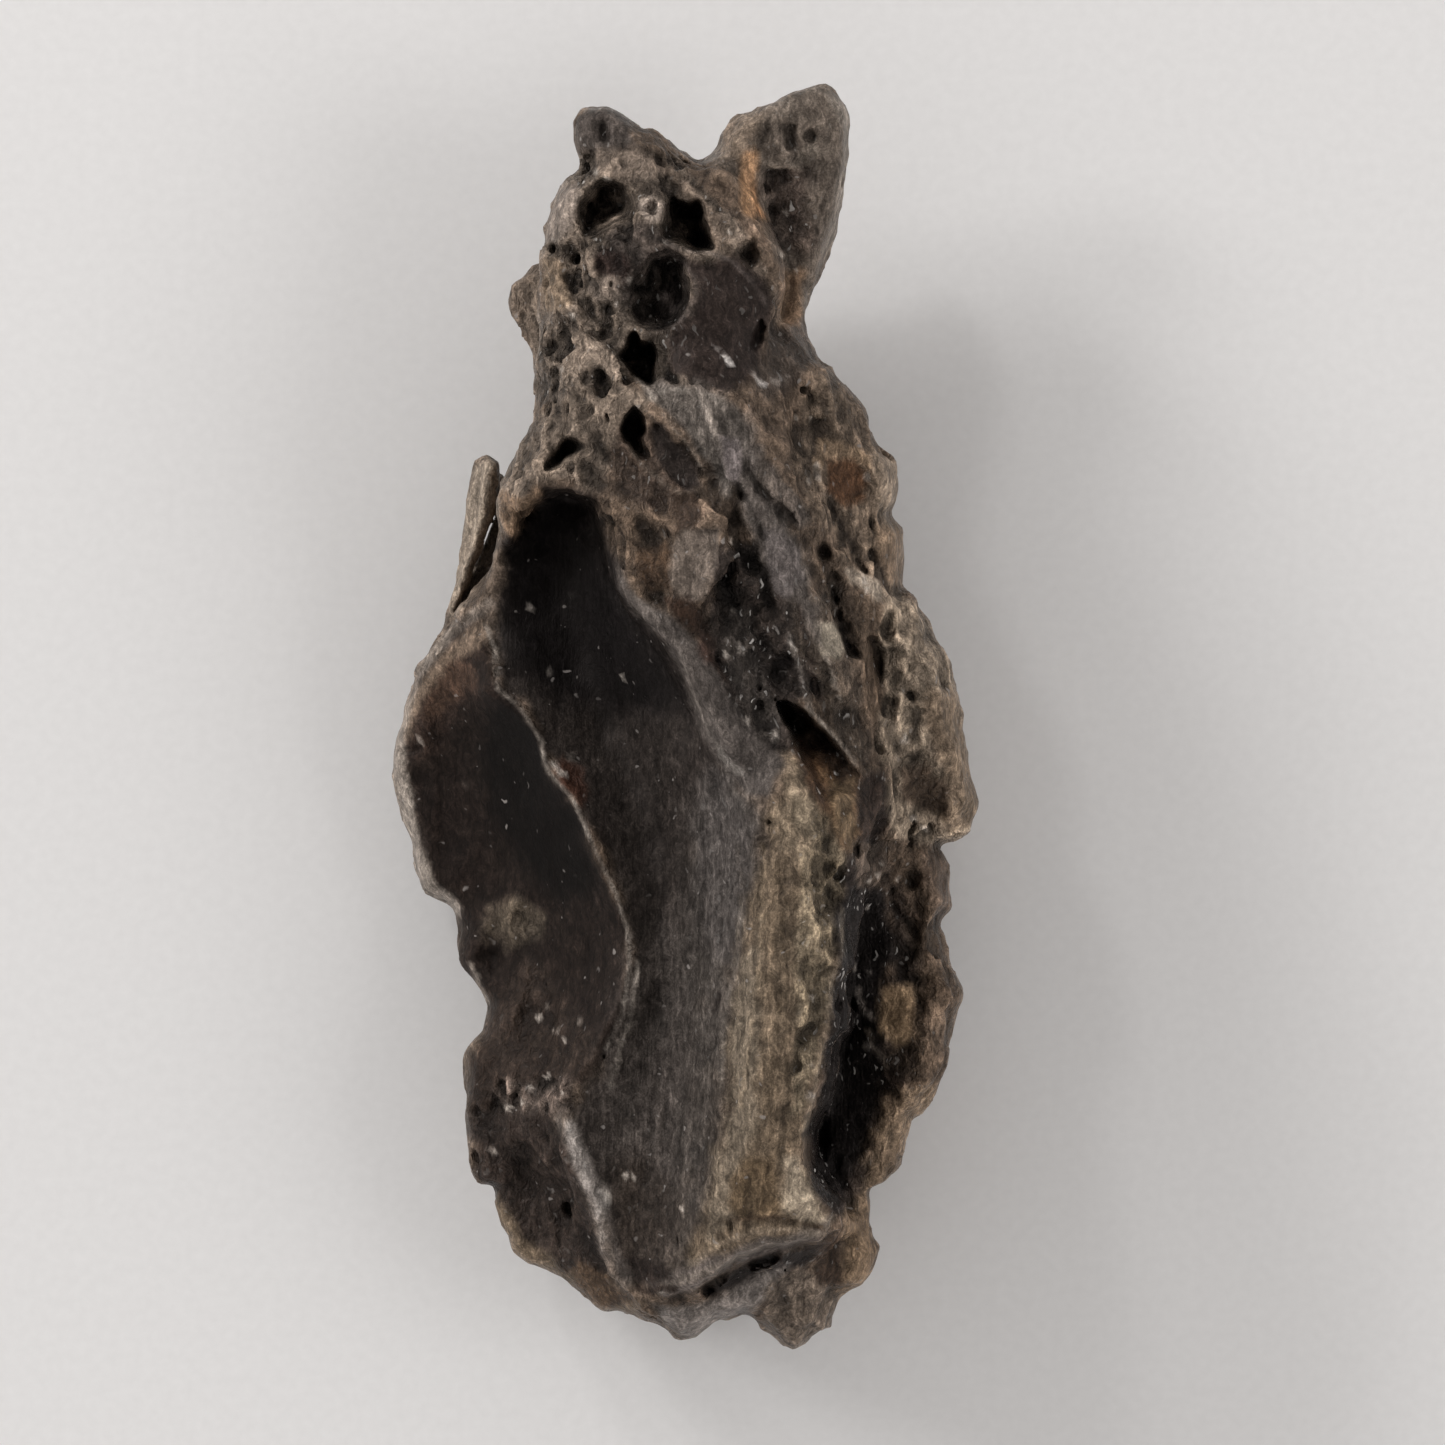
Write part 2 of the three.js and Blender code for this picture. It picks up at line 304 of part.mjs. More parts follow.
const PITS = {
  neck_pit_left: {
    depth: 1.7,
    floor: 0.62,
    mouth: [
      [-2.9, 18.8], [-2.4, 18.9], [-2.1, 18.7], [-1.8, 18.4], [-1.8, 17.9], [-2, 17.6], [-2.5, 17.5], [-2.8, 17.3],
      [-3.1, 17.1], [-3.3, 17.3], [-3.5, 17.6], [-3.4, 18.1], [-3.2, 18.5],
    ],
  },
  neck_pit_right: {
    depth: 2,
    floor: 0.62,
    mouth: [
      [-0.4, 18.6], [-0.1, 18.3], [0.3, 18.1], [0.5, 18.3], [0.7, 17.8], [0.9, 17.2], [1, 16.6], [0.5, 16.5],
      [-0, 16.7], [-0.6, 16.8], [-0.7, 17.3], [-0.5, 17.9],
    ],
  },
  ribbed_hollow: {
    depth: 1.2,
    floor: 0.5,
    mouth: [
      [-1, 15.8], [-0.7, 16.1], [-0.2, 16], [0.1, 15.5], [0.3, 15], [0.3, 14.5], [0.1, 14.1], [-0.3, 13.7],
      [-0.7, 13.6], [-1, 13.9], [-1.5, 14], [-1.8, 14.3], [-1.6, 14.7], [-1.1, 15], [-1, 15.4],
    ],
  },
  black_pit: {
    depth: 2.2,
    floor: 0.65,
    mouth: [
      [-2.3, 12.7], [-2, 13.1], [-1.9, 13.3], [-1.7, 13.5], [-1.4, 13.3], [-1, 13.2], [-0.9, 12.9], [-0.9, 12.4],
      [-1, 11.8], [-1.3, 11.7], [-1.6, 12.1], [-2, 12.5],
    ],
  },
  neck_edge_pit: {
    depth: 1.1,
    floor: 0.5,
    mouth: [
      [1.9, 16.5], [2.1, 16.8], [2.5, 16.8], [2.6, 16.5], [2.6, 16.1], [2.4, 15.8], [2.1, 16], [2, 16.2],
    ],
  },
  knob_pit: {
    depth: 1.4,
    floor: 0.55,
    mouth: [
      [-4.8, 8.8], [-4.6, 9.2], [-4.5, 9.6], [-4.2, 9.9], [-3.7, 9.8], [-3.4, 9.6], [-3.6, 9.3], [-3.9, 9.1],
      [-4.3, 8.8],
    ],
  },
  middle_pit: {
    depth: 1.2,
    floor: 0.5,
    mouth: [
      [-2.1, 10.2], [-2, 10.6], [-1.7, 10.9], [-1.4, 10.6], [-1.3, 10.2], [-1.5, 9.8], [-1.2, 9.4], [-1.1, 9.1],
      [-1.5, 9.1], [-1.8, 9.4], [-2, 9.7],
    ],
  },
  edge_pit: {
    depth: 1.1,
    floor: 0.5,
    mouth: [
      [-5.2, 10.8], [-5.1, 11.2], [-4.8, 11.6], [-4.6, 11.9], [-4.4, 11.6], [-4.5, 11.2], [-4.8, 11],
    ],
  },
  neck_slot: {
    depth: 0.81,
    floor: 0.4,
    mouth: [
      [2.8, 14], [2.9, 13.8], [2.8, 13.4], [2.6, 13], [2.4, 13.1], [2.6, 13.5],
    ],
  },
  start_crevice: {
    depth: 1.4,
    floor: 0.5,
    mouth: [
      [2.1, 9.6], [2.4, 9.4], [2.4, 8.9], [2.7, 8.4], [2.9, 8.1], [3.3, 7.6], [3.7, 7.1], [3.9, 6.7],
      [3.5, 6.9], [3, 7.4], [2.6, 7.9], [2.3, 8.4], [2, 8.6],
    ],
  },
  long_crevice: {
    depth: 1.4,
    floor: 0.5,
    mouth: [
      [5.1, 4.8], [5.4, 4.6], [5.5, 3.9], [5.7, 3.2], [6, 2.7], [6.2, 2.2], [5.9, 2.3], [5.6, 2.8],
      [5.4, 3.5], [5.3, 4.2],
    ],
  },
  far_crevice: {
    depth: 1.2,
    floor: 0.5,
    mouth: [
      [6.6, 2.9], [6.8, 2.8], [7.1, 2.3], [7.2, 1.7], [7.1, 1.1], [6.8, 1.1], [6.8, 1.7], [6.7, 2.3],
    ],
  },
  top_crevice: {
    depth: 0.9,
    floor: 0.4,
    mouth: [
      [5.9, 6.6], [6.1, 6.3], [6.1, 5.8], [6.4, 5.4], [6.6, 5], [6.3, 5.2], [6, 5.6], [5.8, 6.2],
    ],
  },
  wedge: {
    depth: 2.7,
    floor: 0.6,
    mouth: [
      [3.3, 0.7], [3.7, 0.6], [4.1, 0.4], [4.5, 0], [4.9, -0.3], [5.3, -0.7], [5.8, -1.3], [6.2, -1.8],
      [6.4, -2], [6.1, -2.4], [5.6, -2.7], [5.3, -2.9], [4.9, -3], [4.7, -2.5], [4.4, -1.9], [4.1, -1.1],
      [3.6, -0.2],
    ],
  },
  gap_notch: {
    depth: 1.1,
    floor: 0.6,
    mouth: [
      [4.3, -13.9], [4.7, -13.7], [5, -13.9], [5.2, -14.3], [5.2, -15], [5, -15.7], [4.7, -15.9], [4.4, -15.5],
      [4.2, -15.1], [4.2, -14.8],
    ],
  },
  lobe_dark: {
    depth: 0.72,
    floor: 0.5,
    mouth: [
      [6.3, -3.6], [6.5, -3.3], [6.8, -3.1], [7.1, -3.4], [7.1, -3.9], [6.8, -4.2], [6.5, -4.1],
    ],
  },
  lobe_long: {
    depth: 0.72,
    floor: 0.5,
    mouth: [
      [7.3, -5.7], [7.6, -5.9], [7.6, -6.4], [7.8, -6.7], [8.4, -7.3], [8.5, -8], [8.2, -8], [7.9, -7.5],
      [7.5, -6.9], [7.3, -6.4],
    ],
  },
  horn_hollow: {
    depth: 0.63,
    floor: 0.55,
    mouth: [
      [2.7, 19.1], [3, 19.4], [3.6, 19.4], [4.1, 19.6], [4.6, 19.5], [4.7, 19.1], [4.5, 18.5], [4.5, 17.8],
      [4.4, 17], [4.1, 16.7], [3.5, 16.7], [3.1, 16.9], [2.8, 17.4], [2.6, 18.2],
    ],
  },
  left_horn_slot: {
    depth: 0.9,
    floor: 0.6,
    mouth: [
      [-3, 21], [-2.7, 21.1], [-2.6, 20.5], [-2.6, 20.2], [-3, 20.2],
    ],
  },
  end_slot: {
    depth: 2,
    floor: 0.5,
    mouth: [
      [0.5, -20], [1, -19.6], [1.5, -19.2], [2, -18.8], [2.4, -18.6], [3.2, -18.4], [4.1, -18.3], [4.7, -18.3],
      [4.3, -18.6], [3.6, -18.8], [3, -19.1], [2.5, -19.3], [1.9, -19.6], [1.3, -19.9], [0.8, -20.2],
    ],
  },
  root_slot: {
    depth: 0.72,
    floor: 0.5,
    mouth: [
      [-6.9, -8], [-6.5, -7.7], [-6.2, -8], [-6.3, -8.5], [-6.6, -9.2], [-6.9, -9.1], [-7.2, -8.7], [-7.3, -8.3],
    ],
  },
  lobe_hollow: {
    depth: 0.72,
    floor: 0.5,
    mouth: [
      [7.6, -2.3], [8.3, -2], [9, -2.3], [9.4, -3], [9.3, -3.6], [8.6, -3.7], [8, -3.5], [7.7, -2.9],
    ],
  },
  channel_hole_a: {
    depth: 0.81,
    floor: 0.5,
    mouth: [
      [1.7, 2.7], [1.9, 2.8], [2, 2.4], [1.9, 1.9], [1.7, 2.2],
    ],
  },
  channel_hole_b: {
    depth: 0.81,
    floor: 0.5,
    mouth: [
      [1.7, 1.5], [2, 1.6], [2.1, 1.1], [1.8, 0.9], [1.6, 1.1],
    ],
  },
};

// ---------------------------------------------------------------- relief maps

const columns = Math.round((2 * HALF_SPAN_X) / MAP_CELL) + 1;
const rows = Math.round((2 * HALF_SPAN_Y) / MAP_CELL) + 1;
const mapIndex = (column, row) => row * columns + column;

// A map's value at (x, y), between its four nearest nodes.
function read(map, x, y) {
  const u = THREE.MathUtils.clamp((x + HALF_SPAN_X) / MAP_CELL, 0, columns - 1.001);
  const v = THREE.MathUtils.clamp((y + HALF_SPAN_Y) / MAP_CELL, 0, rows - 1.001);
  const i = Math.floor(u);
  const j = Math.floor(v);
  const near = THREE.MathUtils.lerp(map[mapIndex(i, j)], map[mapIndex(i + 1, j)], u - i);
  const far = THREE.MathUtils.lerp(map[mapIndex(i, j + 1)], map[mapIndex(i + 1, j + 1)], u - i);
  return THREE.MathUtils.lerp(near, far, v - j);
}

// Writes a line's heights into the map's nearest nodes, and marks those nodes as held.
function stamp(map, held, line) {
  for (let k = 0; k + 1 < line.length; k++) {
    const from = new THREE.Vector3(...line[k]);
    const to = new THREE.Vector3(...line[k + 1]);
    const steps = Math.ceil(from.distanceTo(to) / (0.4 * MAP_CELL));
    for (let s = 0; s <= steps; s++) {
      const point = from.clone().lerp(to, s / steps);
      const column = Math.round((point.x + HALF_SPAN_X) / MAP_CELL);
      const row = Math.round((point.y + HALF_SPAN_Y) / MAP_CELL);
      map[mapIndex(column, row)] = point.z;
      held[mapIndex(column, row)] = 1;
    }
  }
}

// Moves each free node towards the mean of its neighbours, by `pull` times the difference.
function relax(map, held, passes, pull) {
  for (let pass = 0; pass < passes; pass++) {
    for (let j = 0; j < rows; j++) {
      for (let i = 0; i < columns; i++) {
        const here = mapIndex(i, j);
        if (held[here]) continue;
        const mean =
          (map[mapIndex(Math.max(i - 1, 0), j)] +
            map[mapIndex(Math.min(i + 1, columns - 1), j)] +
            map[mapIndex(i, Math.max(j - 1, 0))] +
            map[mapIndex(i, Math.min(j + 1, rows - 1))]) /
          4;
        map[here] += pull * (mean - map[here]);
      }
    }
  }
}

// A skin stretched over all its lines, then rounded off everywhere but at its creases.
function stretchSkin(creases, swells, start) {
  const map = new Float64Array(columns * rows).fill(start);
  const all = new Uint8Array(columns * rows);
  const sharp = new Uint8Array(columns * rows);
  for (const line of Object.values(swells)) stamp(map, all, line);
  for (const line of Object.values(creases)) {
    stamp(map, all, line);
    stamp(map, sharp, line);
  }
  relax(map, all, 400, 1.85);
  relax(map, sharp, Math.round((SOFTEN / MAP_CELL) ** 2), 0.7);
  return map;
}

// Distance inside a closed outline (negative outside) and the outline's own height nearest to each node.
function outlineMaps(outline) {
  const inside = new Float64Array(columns * rows);
  const height = new Float64Array(columns * rows);
  for (let j = 0; j < rows; j++) {
    for (let i = 0; i < columns; i++) {
      const x = i * MAP_CELL - HALF_SPAN_X;
      const y = j * MAP_CELL - HALF_SPAN_Y;
      let nearest = Infinity;
      let within = false;
      outline.forEach((a, k) => {
        const b = outline[(k + 1) % outline.length];
        const [dx, dy] = [b[0] - a[0], b[1] - a[1]];
        const along = ((x - a[0]) * dx + (y - a[1]) * dy) / (dx * dx + dy * dy);
        const t = THREE.MathUtils.clamp(along, 0, 1);
        const distance = Math.hypot(x - a[0] - t * dx, y - a[1] - t * dy);
        if (distance < nearest) {
          nearest = distance;
          height[mapIndex(i, j)] = THREE.MathUtils.lerp(a[2], b[2], t);
        }
        if (a[1] > y !== b[1] > y && x < a[0] + (dx * (y - a[1])) / dy) within = !within;
      });
      inside[mapIndex(i, j)] = within ? nearest : -nearest;
    }
  }
  return { inside, height };
}

const upperSkin = stretchSkin(UPPER_CREASES, UPPER_SWELLS, 10);
const underSkin = stretchSkin(UNDER_CREASES, UNDER_SWELLS, 2);
const bodyEdge = outlineMaps(OUTLINE);
const flapEdges = Object.values(FLAPS).map((flap) => ({ ...flap, ...outlineMaps(flap.outline) }));

// ---------------------------------------------------------------- the solid as a field
// Negative inside the glass, positive outside, zero on its surface.

// A quarter-round edge: 0 at the outline, 1 from `width` inwards.
function shoulder(distance, width) {
  const t = THREE.MathUtils.clamp(distance / width, 0, 1);
  return Math.sqrt(1 - (1 - t) ** 2);
}

// A sheet between `rise` above and `drop` below the height of its edge.
function sheetField(edge, x, y, z, rise, drop, upperWidth, underWidth) {
  const inside = read(edge.inside, x, y);
  const middle = read(edge.height, x, y);
  if (inside <= 0) return Math.max(Math.abs(z - middle), -inside);
  const top = middle + rise(middle) * shoulder(inside, upperWidth);
  const bottom = middle - drop(middle) * shoulder(inside, underWidth);
  return Math.max(z - top, bottom - z);
}

// Slow waves that keep any face from being quite smooth.
function wander(x, y, z) {
  return [
    Math.sin(1.1 * y + 0.7 * z + 0.4) + 0.6 * Math.sin(2.3 * z - 1.7 * y + 1.9),
    Math.sin(0.9 * x - 0.8 * z + 2.2) + 0.6 * Math.sin(1.9 * x + 2.1 * z + 0.3),
    Math.sin(1.3 * x + 0.9 * y + 5.1) + 0.6 * Math.sin(2.2 * y - 1.6 * x + 3.3),
  ].map((wave) => WAVINESS * 0.6 * wave);
}

function glassField(px, py, pz) {
  const [wx, wy, wz] = wander(px, py, pz);
  const [x, y, z] = [px + wx, py + wy, pz + wz];
  const body = sheetField(
    bodyEdge, x, y, z,
    (rim) => read(upperSkin, x, y) - rim,
    (rim) => rim - read(underSkin, x, y),
    UPPER_SHOULDER, UNDER_SHOULDER,
  );
  const flaps = flapEdges.map((flap) =>
    sheetField(flap, x, y, z, () => flap.rise, () => flap.drop, FLAP_SHOULDER, FLAP_SHOULDER),
  );
  return Math.min(body, ...flaps);
}

function fieldNormal(point) {
  const step = 0.04;
  const { x, y, z } = point;
  return new THREE.Vector3(
    glassField(x + step, y, z) - glassField(x - step, y, z),
    glassField(x, y + step, z) - glassField(x, y - step, z),
    glassField(x, y, z + step) - glassField(x, y, z - step),
  ).normalize();
}

// ---------------------------------------------------------------- meshing
// Dual contouring: one vertex in each grid cell that the surface crosses, set where the tangent planes at
// the cell's edge crossings meet, and one quad round each grid edge that the surface crosses.

const spans = [2 * HALF_SPAN_X, 2 * HALF_SPAN_Y, GRID_TOP - GRID_BOTTOM];
const counts = spans.map((span) => Math.ceil(span / MESH_CELL) + 1);
const corner = [-HALF_SPAN_X, -HALF_SPAN_Y, GRID_BOTTOM];
const [nx, ny, nz] = counts;
const gridIndex = (i, j, k) => (k * ny + j) * nx + i;
const gridPoint = (i, j, k) =>
  new THREE.Vector3(corner[0] + i * MESH_CELL, corner[1] + j * MESH_CELL, corner[2] + k * MESH_CELL);

const UNIT_STEPS = [[1, 0, 0], [0, 1, 0], [0, 0, 1]];
const CUBE_CORNERS = [0, 1, 2, 3, 4, 5, 6, 7].map((n) => [n & 1, (n >> 1) & 1, (n >> 2) & 1]);
const CUBE_EDGES = CUBE_CORNERS.flatMap((a, m) =>
  UNIT_STEPS.map((step, axis) => (a[axis] ? null : [m, m + (1 << axis)])).filter(Boolean),
);

function sampleField() {
  const solid = new Uint8Array(nx * ny * nz);
  for (let k = 1; k < nz - 1; k++)
    for (let j = 1; j < ny - 1; j++)
      for (let i = 1; i < nx - 1; i++) {
        const { x, y, z } = gridPoint(i, j, k);
        solid[gridIndex(i, j, k)] = glassField(x, y, z) < 0 ? 1 : 0;
      }
  return solid;
}

// Fills a grid node wherever two solid nodes touch only across the diagonal of a face or of a cube, so that
// the mesh never pinches.
function closePinches(solid) {
  let filled = true;
  while (filled) {
    filled = false;
    for (let k = 0; k < nz - 1; k++)
      for (let j = 0; j < ny - 1; j++)
        for (let i = 0; i < nx - 1; i++) {
          const cube = CUBE_CORNERS.map(([a, b, c]) => gridIndex(i + a, j + b, k + c));
          for (let m = 0; m < 8; m++) {
            for (const [p, q] of [[1, 2], [1, 4], [2, 4]]) {
              if (m & p || m & q) continue;
              const face = [m, m | p, m | q, m | p | q].map((n) => cube[n]);
              const [a, b, c, d] = face.map((n) => solid[n]);
              if (a === d && b === c && a !== b) {
                solid[a ? face[1] : face[0]] = 1;
                filled = true;
              }
            }
          }
          for (let m = 0; m < 4; m++) {
            const ends = [cube[m], cube[7 - m]];
            const others = cube.filter((n) => !ends.includes(n));
            const same = others.every((n) => solid[n] === solid[others[0]]);
            if (same && ends.every((n) => solid[n] !== solid[others[0]])) {
              solid[solid[ends[0]] ? others[0] : ends[0]] = 1;
              filled = true;
            }
          }
        }
  }
}

// The point on a grid edge where the field changes sign, by halving.
function crossing(a, b, aSolid) {
  let [near, far] = [a.clone(), b.clone()];
  if (glassField(a.x, a.y, a.z) < 0 === glassField(b.x, b.y, b.z) < 0) return near.lerp(far, aSolid ? 0.9 : 0.1);
  for (let n = 0; n < 12; n++) {
    const middle = near.clone().lerp(far, 0.5);
    if (glassField(middle.x, middle.y, middle.z) < 0 === aSolid) near = middle;
    else far = middle;
  }
  return near;
}

// The point nearest to all the tangent planes, pulled gently towards the mean of the crossings.
function cellVertex(crossings, low) {
  const mean = crossings.reduce((sum, p) => sum.add(p), new THREE.Vector3()).divideScalar(crossings.length);
  const PULL = 0.12;
  const matrix = new THREE.Matrix3().multiplyScalar(PULL * crossings.length);
  const side = new THREE.Vector3();
  for (const p of crossings) {
    const n = fieldNormal(p);
    const offset = n.dot(p.clone().sub(mean));
    side.addScaledVector(n, offset);
    const [x, y, z] = n.toArray();
    const outer = [x * x, x * y, x * z, x * y, y * y, y * z, x * z, y * z, z * z];
    outer.forEach((value, m) => (matrix.elements[m] += value));
  }
  const vertex = mean.clone().add(side.applyMatrix3(matrix.invert()));
  const inset = 0.06 * MESH_CELL;
  return vertex.clamp(low.clone().addScalar(inset), low.clone().addScalar(MESH_CELL - inset));
}

function contour() {
  const solid = sampleField();
  closePinches(solid);
  const positions = [];
  const cellVertexIndex = new Map();
  for (let k = 0; k < nz - 1; k++)
    for (let j = 0; j < ny - 1; j++)
      for (let i = 0; i < nx - 1; i++) {
        const cube = CUBE_CORNERS.map(([a, b, c]) => [i + a, j + b, k + c]);
        const crossings = CUBE_EDGES.filter(
          ([m, n]) => solid[gridIndex(...cube[m])] !== solid[gridIndex(...cube[n])],
        ).map(([m, n]) => crossing(gridPoint(...cube[m]), gridPoint(...cube[n]), !!solid[gridIndex(...cube[m])]));
        if (!crossings.length) continue;
        cellVertexIndex.set(gridIndex(i, j, k), positions.length / 3);
        positions.push(...cellVertex(crossings, gridPoint(i, j, k)).toArray());
      }
  const faces = [];
  const at = (n) => new THREE.Vector3().fromArray(positions, 3 * n);
  for (let k = 1; k < nz - 1; k++)
    for (let j = 1; j < ny - 1; j++)
      for (let i = 1; i < nx - 1; i++)
        UNIT_STEPS.forEach(([di, dj, dk], axis) => {
          const here = solid[gridIndex(i, j, k)];
          if (here === solid[gridIndex(i + di, j + dj, k + dk)]) return;
          const u = UNIT_STEPS[(axis + 1) % 3];
          const v = UNIT_STEPS[(axis + 2) % 3];
          const quad = [[0, 0], [1, 0], [1, 1], [0, 1]].map(([s, t]) =>
            cellVertexIndex.get(gridIndex(i - s * u[0] - t * v[0], j - s * u[1] - t * v[1], k - s * u[2] - t * v[2])),
          );
          if (!here) quad.reverse();
          const [a, b, c, d] = quad;
          if (at(a).distanceTo(at(c)) < at(b).distanceTo(at(d))) faces.push(a, b, c, a, c, d);
          else faces.push(b, c, d, b, d, a);
        });
  const geometry = new THREE.BufferGeometry();
  geometry.setAttribute("position", new THREE.Float32BufferAttribute(positions, 3));
  geometry.setIndex(faces);
  return geometry;
}

// ---------------------------------------------------------------- cutting

const wasm = await Module();
wasm.setup();

// A closed geometry as a solid that can be cut.
function toSolid(geometry) {
  const bare = geometry.clone();
  bare.deleteAttribute("normal");
  bare.deleteAttribute("uv");
  const merged = mergeVertices(bare, 1e-4);
  return new wasm.Manifold(
    new wasm.Mesh({
      numProp: 3,
      vertProperties: merged.attributes.position.array,
      triVerts: new Uint32Array(merged.index.array),
    }),
  );
}

function toGeometry(solid) {
  const mesh = solid.getMesh();
  const geometry = new THREE.BufferGeometry();
  geometry.setAttribute("position", new THREE.BufferAttribute(mesh.vertProperties, 3));
  geometry.setIndex(new THREE.BufferAttribute(mesh.triVerts, 1));
  return geometry;
}

// A tapering plug that follows the slope of the upper skin. Where it crosses the skin it has the outline of
// the pit's mouth.
function pitCutter({ depth, floor, mouth }) {
  const shape = new THREE.Shape(mouth.map((point) => new THREE.Vector2(...point)));
  const geometry = new THREE.ExtrudeGeometry(shape, { depth: 1, steps: 2, bevelEnabled: false });
  const middle = mouth.reduce((sum, [x, y]) => sum.add(new THREE.Vector2(x, y)), new THREE.Vector2());
  middle.divideScalar(mouth.length);
  const spreads = [floor, 1, PIT_FLARE];
  const lifts = [-depth, 0, PIT_HEADROOM];
  const place = geometry.getAttribute("position");
  for (let n = 0; n < place.count; n++) {
    const level = Math.round(2 * place.getZ(n));
    const x = THREE.MathUtils.lerp(middle.x, place.getX(n), spreads[level]);
    const y = THREE.MathUtils.lerp(middle.y, place.getY(n), spreads[level]);
    place.setXYZ(n, x, y, read(upperSkin, x, y) + lifts[level]);
  }
  return toSolid(geometry);
}

// Everything below the surface that the glass rests on.
function groundCutter() {
  const depth = 4;
  const geometry = new THREE.BoxGeometry(4 * HALF_SPAN_X, 4 * HALF_SPAN_Y, depth);
  geometry.translate(0, 0, -depth / 2);
  return toSolid(geometry);
}

// ---------------------------------------------------------------- slivers
// A cut leaves some very short edges and very thin triangles. The ends of the first are merged, and the
// longest edge of the second is turned to the other diagonal, where the surface stays closed and unfolded.

function meshParts(geometry) {
  const merged = mergeVertices(geometry, 1e-5);
  const place = merged.getAttribute("position");
  const points = Array.from({ length: place.count }, (_, n) => new THREE.Vector3().fromBufferAttribute(place, n));
  const faces = [];
  for (let n = 0; n < merged.index.count; n += 3) faces.push([0, 1, 2].map((m) => merged.index.getX(n + m)));
  const around = points.map(() => new Set());
  faces.forEach((face, f) => face.forEach((v) => around[v].add(f)));
  return { points, faces, around };
}

const normalOf = ([a, b, c]) => b.clone().sub(a).cross(c.clone().sub(a)).normalize();

function thickness([a, b, c]) {
  const longest = Math.max(a.distanceTo(b), b.distanceTo(c), c.distanceTo(a));
  return b.clone().sub(a).cross(c.clone().sub(a)).length() / longest;
}

function neighbours({ faces, around }, v) {
  return new Set([...around[v]].flatMap((f) => faces[f]).filter((w) => w !== v));
}

function setFace({ faces, around }, f, corners) {
  faces[f].forEach((v) => around[v].delete(f));
  faces[f] = corners;
  corners.forEach((v) => around[v].add(f));
}

// Where the merged vertex goes: halfway, or on the ground if one of the two is there.
function mergePoint(a, b) {
  const grounded = [a, b].filter((p) => p.z < 1e-6);
  return grounded.length === 1 ? grounded[0].clone() : a.clone().lerp(b, 0.5);
}

function mergeEdge(parts, u, v) {
  const { points, faces, around } = parts;
  const beside = neighbours(parts, v);
  if ([...neighbours(parts, u)].filter((w) => beside.has(w)).length !== 2) return false;
  const goal = mergePoint(points[u], points[v]);
  const fan = [...new Set([...around[u], ...around[v]])];
  const kept = fan.filter((f) => !(faces[f].includes(u) && faces[f].includes(v)));
  const folds = kept.some((f) => {
    const before = faces[f].map((w) => points[w]);
    const after = faces[f].map((w) => (w === u || w === v ? goal : points[w]));
    return thickness(before) > 1e-3 && normalOf(before).dot(normalOf(after)) < 0.3;
  });
  if (folds) return false;
  points[u].copy(goal);
  for (const f of [...around[v]])
    setFace(parts, f, faces[f].includes(u) ? [] : faces[f].map((w) => (w === v ? u : w)));
  return true;
}

function turnLongestEdge(parts, f) {
  const { points, faces, around } = parts;
  const lengths = [0, 1, 2].map((m) => points[faces[f][m]].distanceTo(points[faces[f][(m + 1) % 3]]));
  const first = lengths.indexOf(Math.max(...lengths));
  const [a, b, c] = [0, 1, 2].map((m) => faces[f][(first + m) % 3]);
  const g = [...around[a]].find((other) => other !== f && faces[other].includes(b));
  const d = faces[g].find((w) => w !== a && w !== b);
  if (neighbours(parts, c).has(d)) return false;
  const across = normalOf(faces[g].map((w) => points[w]));
  const turned = [[a, d, c], [d, b, c]];
  const fits = turned.every((corners) => {
    const placed = corners.map((w) => points[w]);
    return thickness(placed) > thickness([a, b, c].map((w) => points[w])) && normalOf(placed).dot(across) > 0.3;
  });
  if (!fits) return false;
  setFace(parts, f, turned[0]);
  setFace(parts, g, turned[1]);
  return true;
}

function removeSlivers(geometry) {
  const parts = meshParts(geometry);
  const { points, faces } = parts;
  for (let pass = 0; pass < 6; pass++) {
    for (let f = 0; f < faces.length; f++) {
      for (let m = 0; m < faces[f].length; m++) {
        const [u, v] = [faces[f][m], faces[f][(m + 1) % 3]];
        if (points[u].distanceTo(points[v]) < SHORTEST_EDGE && mergeEdge(parts, u, v)) break;
      }
      if (faces[f].length && thickness(faces[f].map((w) => points[w])) < THINNEST_FACE) turnLongestEdge(parts, f);
    }
  }
  const clean = new THREE.BufferGeometry();
  clean.setAttribute("position", new THREE.Float32BufferAttribute(points.flatMap((p) => p.toArray()), 3));
  clean.setIndex(faces.flat());
  return clean;
}

// ---------------------------------------------------------------- the cut glass

function cutGlass() {
  let solid = toSolid(contour());
  for (const pit of Object.values(PITS)) solid = solid.subtract(pitCutter(pit));
  solid = solid.subtract(groundCutter());
  const bodies = solid.decompose().sort((a, b) => b.volume() - a.volume());
  return removeSlivers(toGeometry(bodies[0]));
}

// ---------------------------------------------------------------- the part

function makeGlass() {
  const geometry = cutGlass();
  geometry.computeBoundingBox();
  const { min, max } = geometry.boundingBox;
  const fit = LENGTH / (max.y - min.y);
  geometry.translate(-(min.x + max.x) / 2, -(min.y + max.y) / 2, 0);
  geometry.scale(fit, fit, fit);
  geometry.computeVertexNormals();
  const material = new THREE.MeshStandardMaterial({ color: 0x39342d, roughness: 0.45, metalness: 0 });
  const glass = new THREE.Mesh(geometry, material);
  glass.name = "darwin_glass";
  return glass;
}

const specimen = new THREE.Group();
specimen.add(makeGlass());

export default specimen;
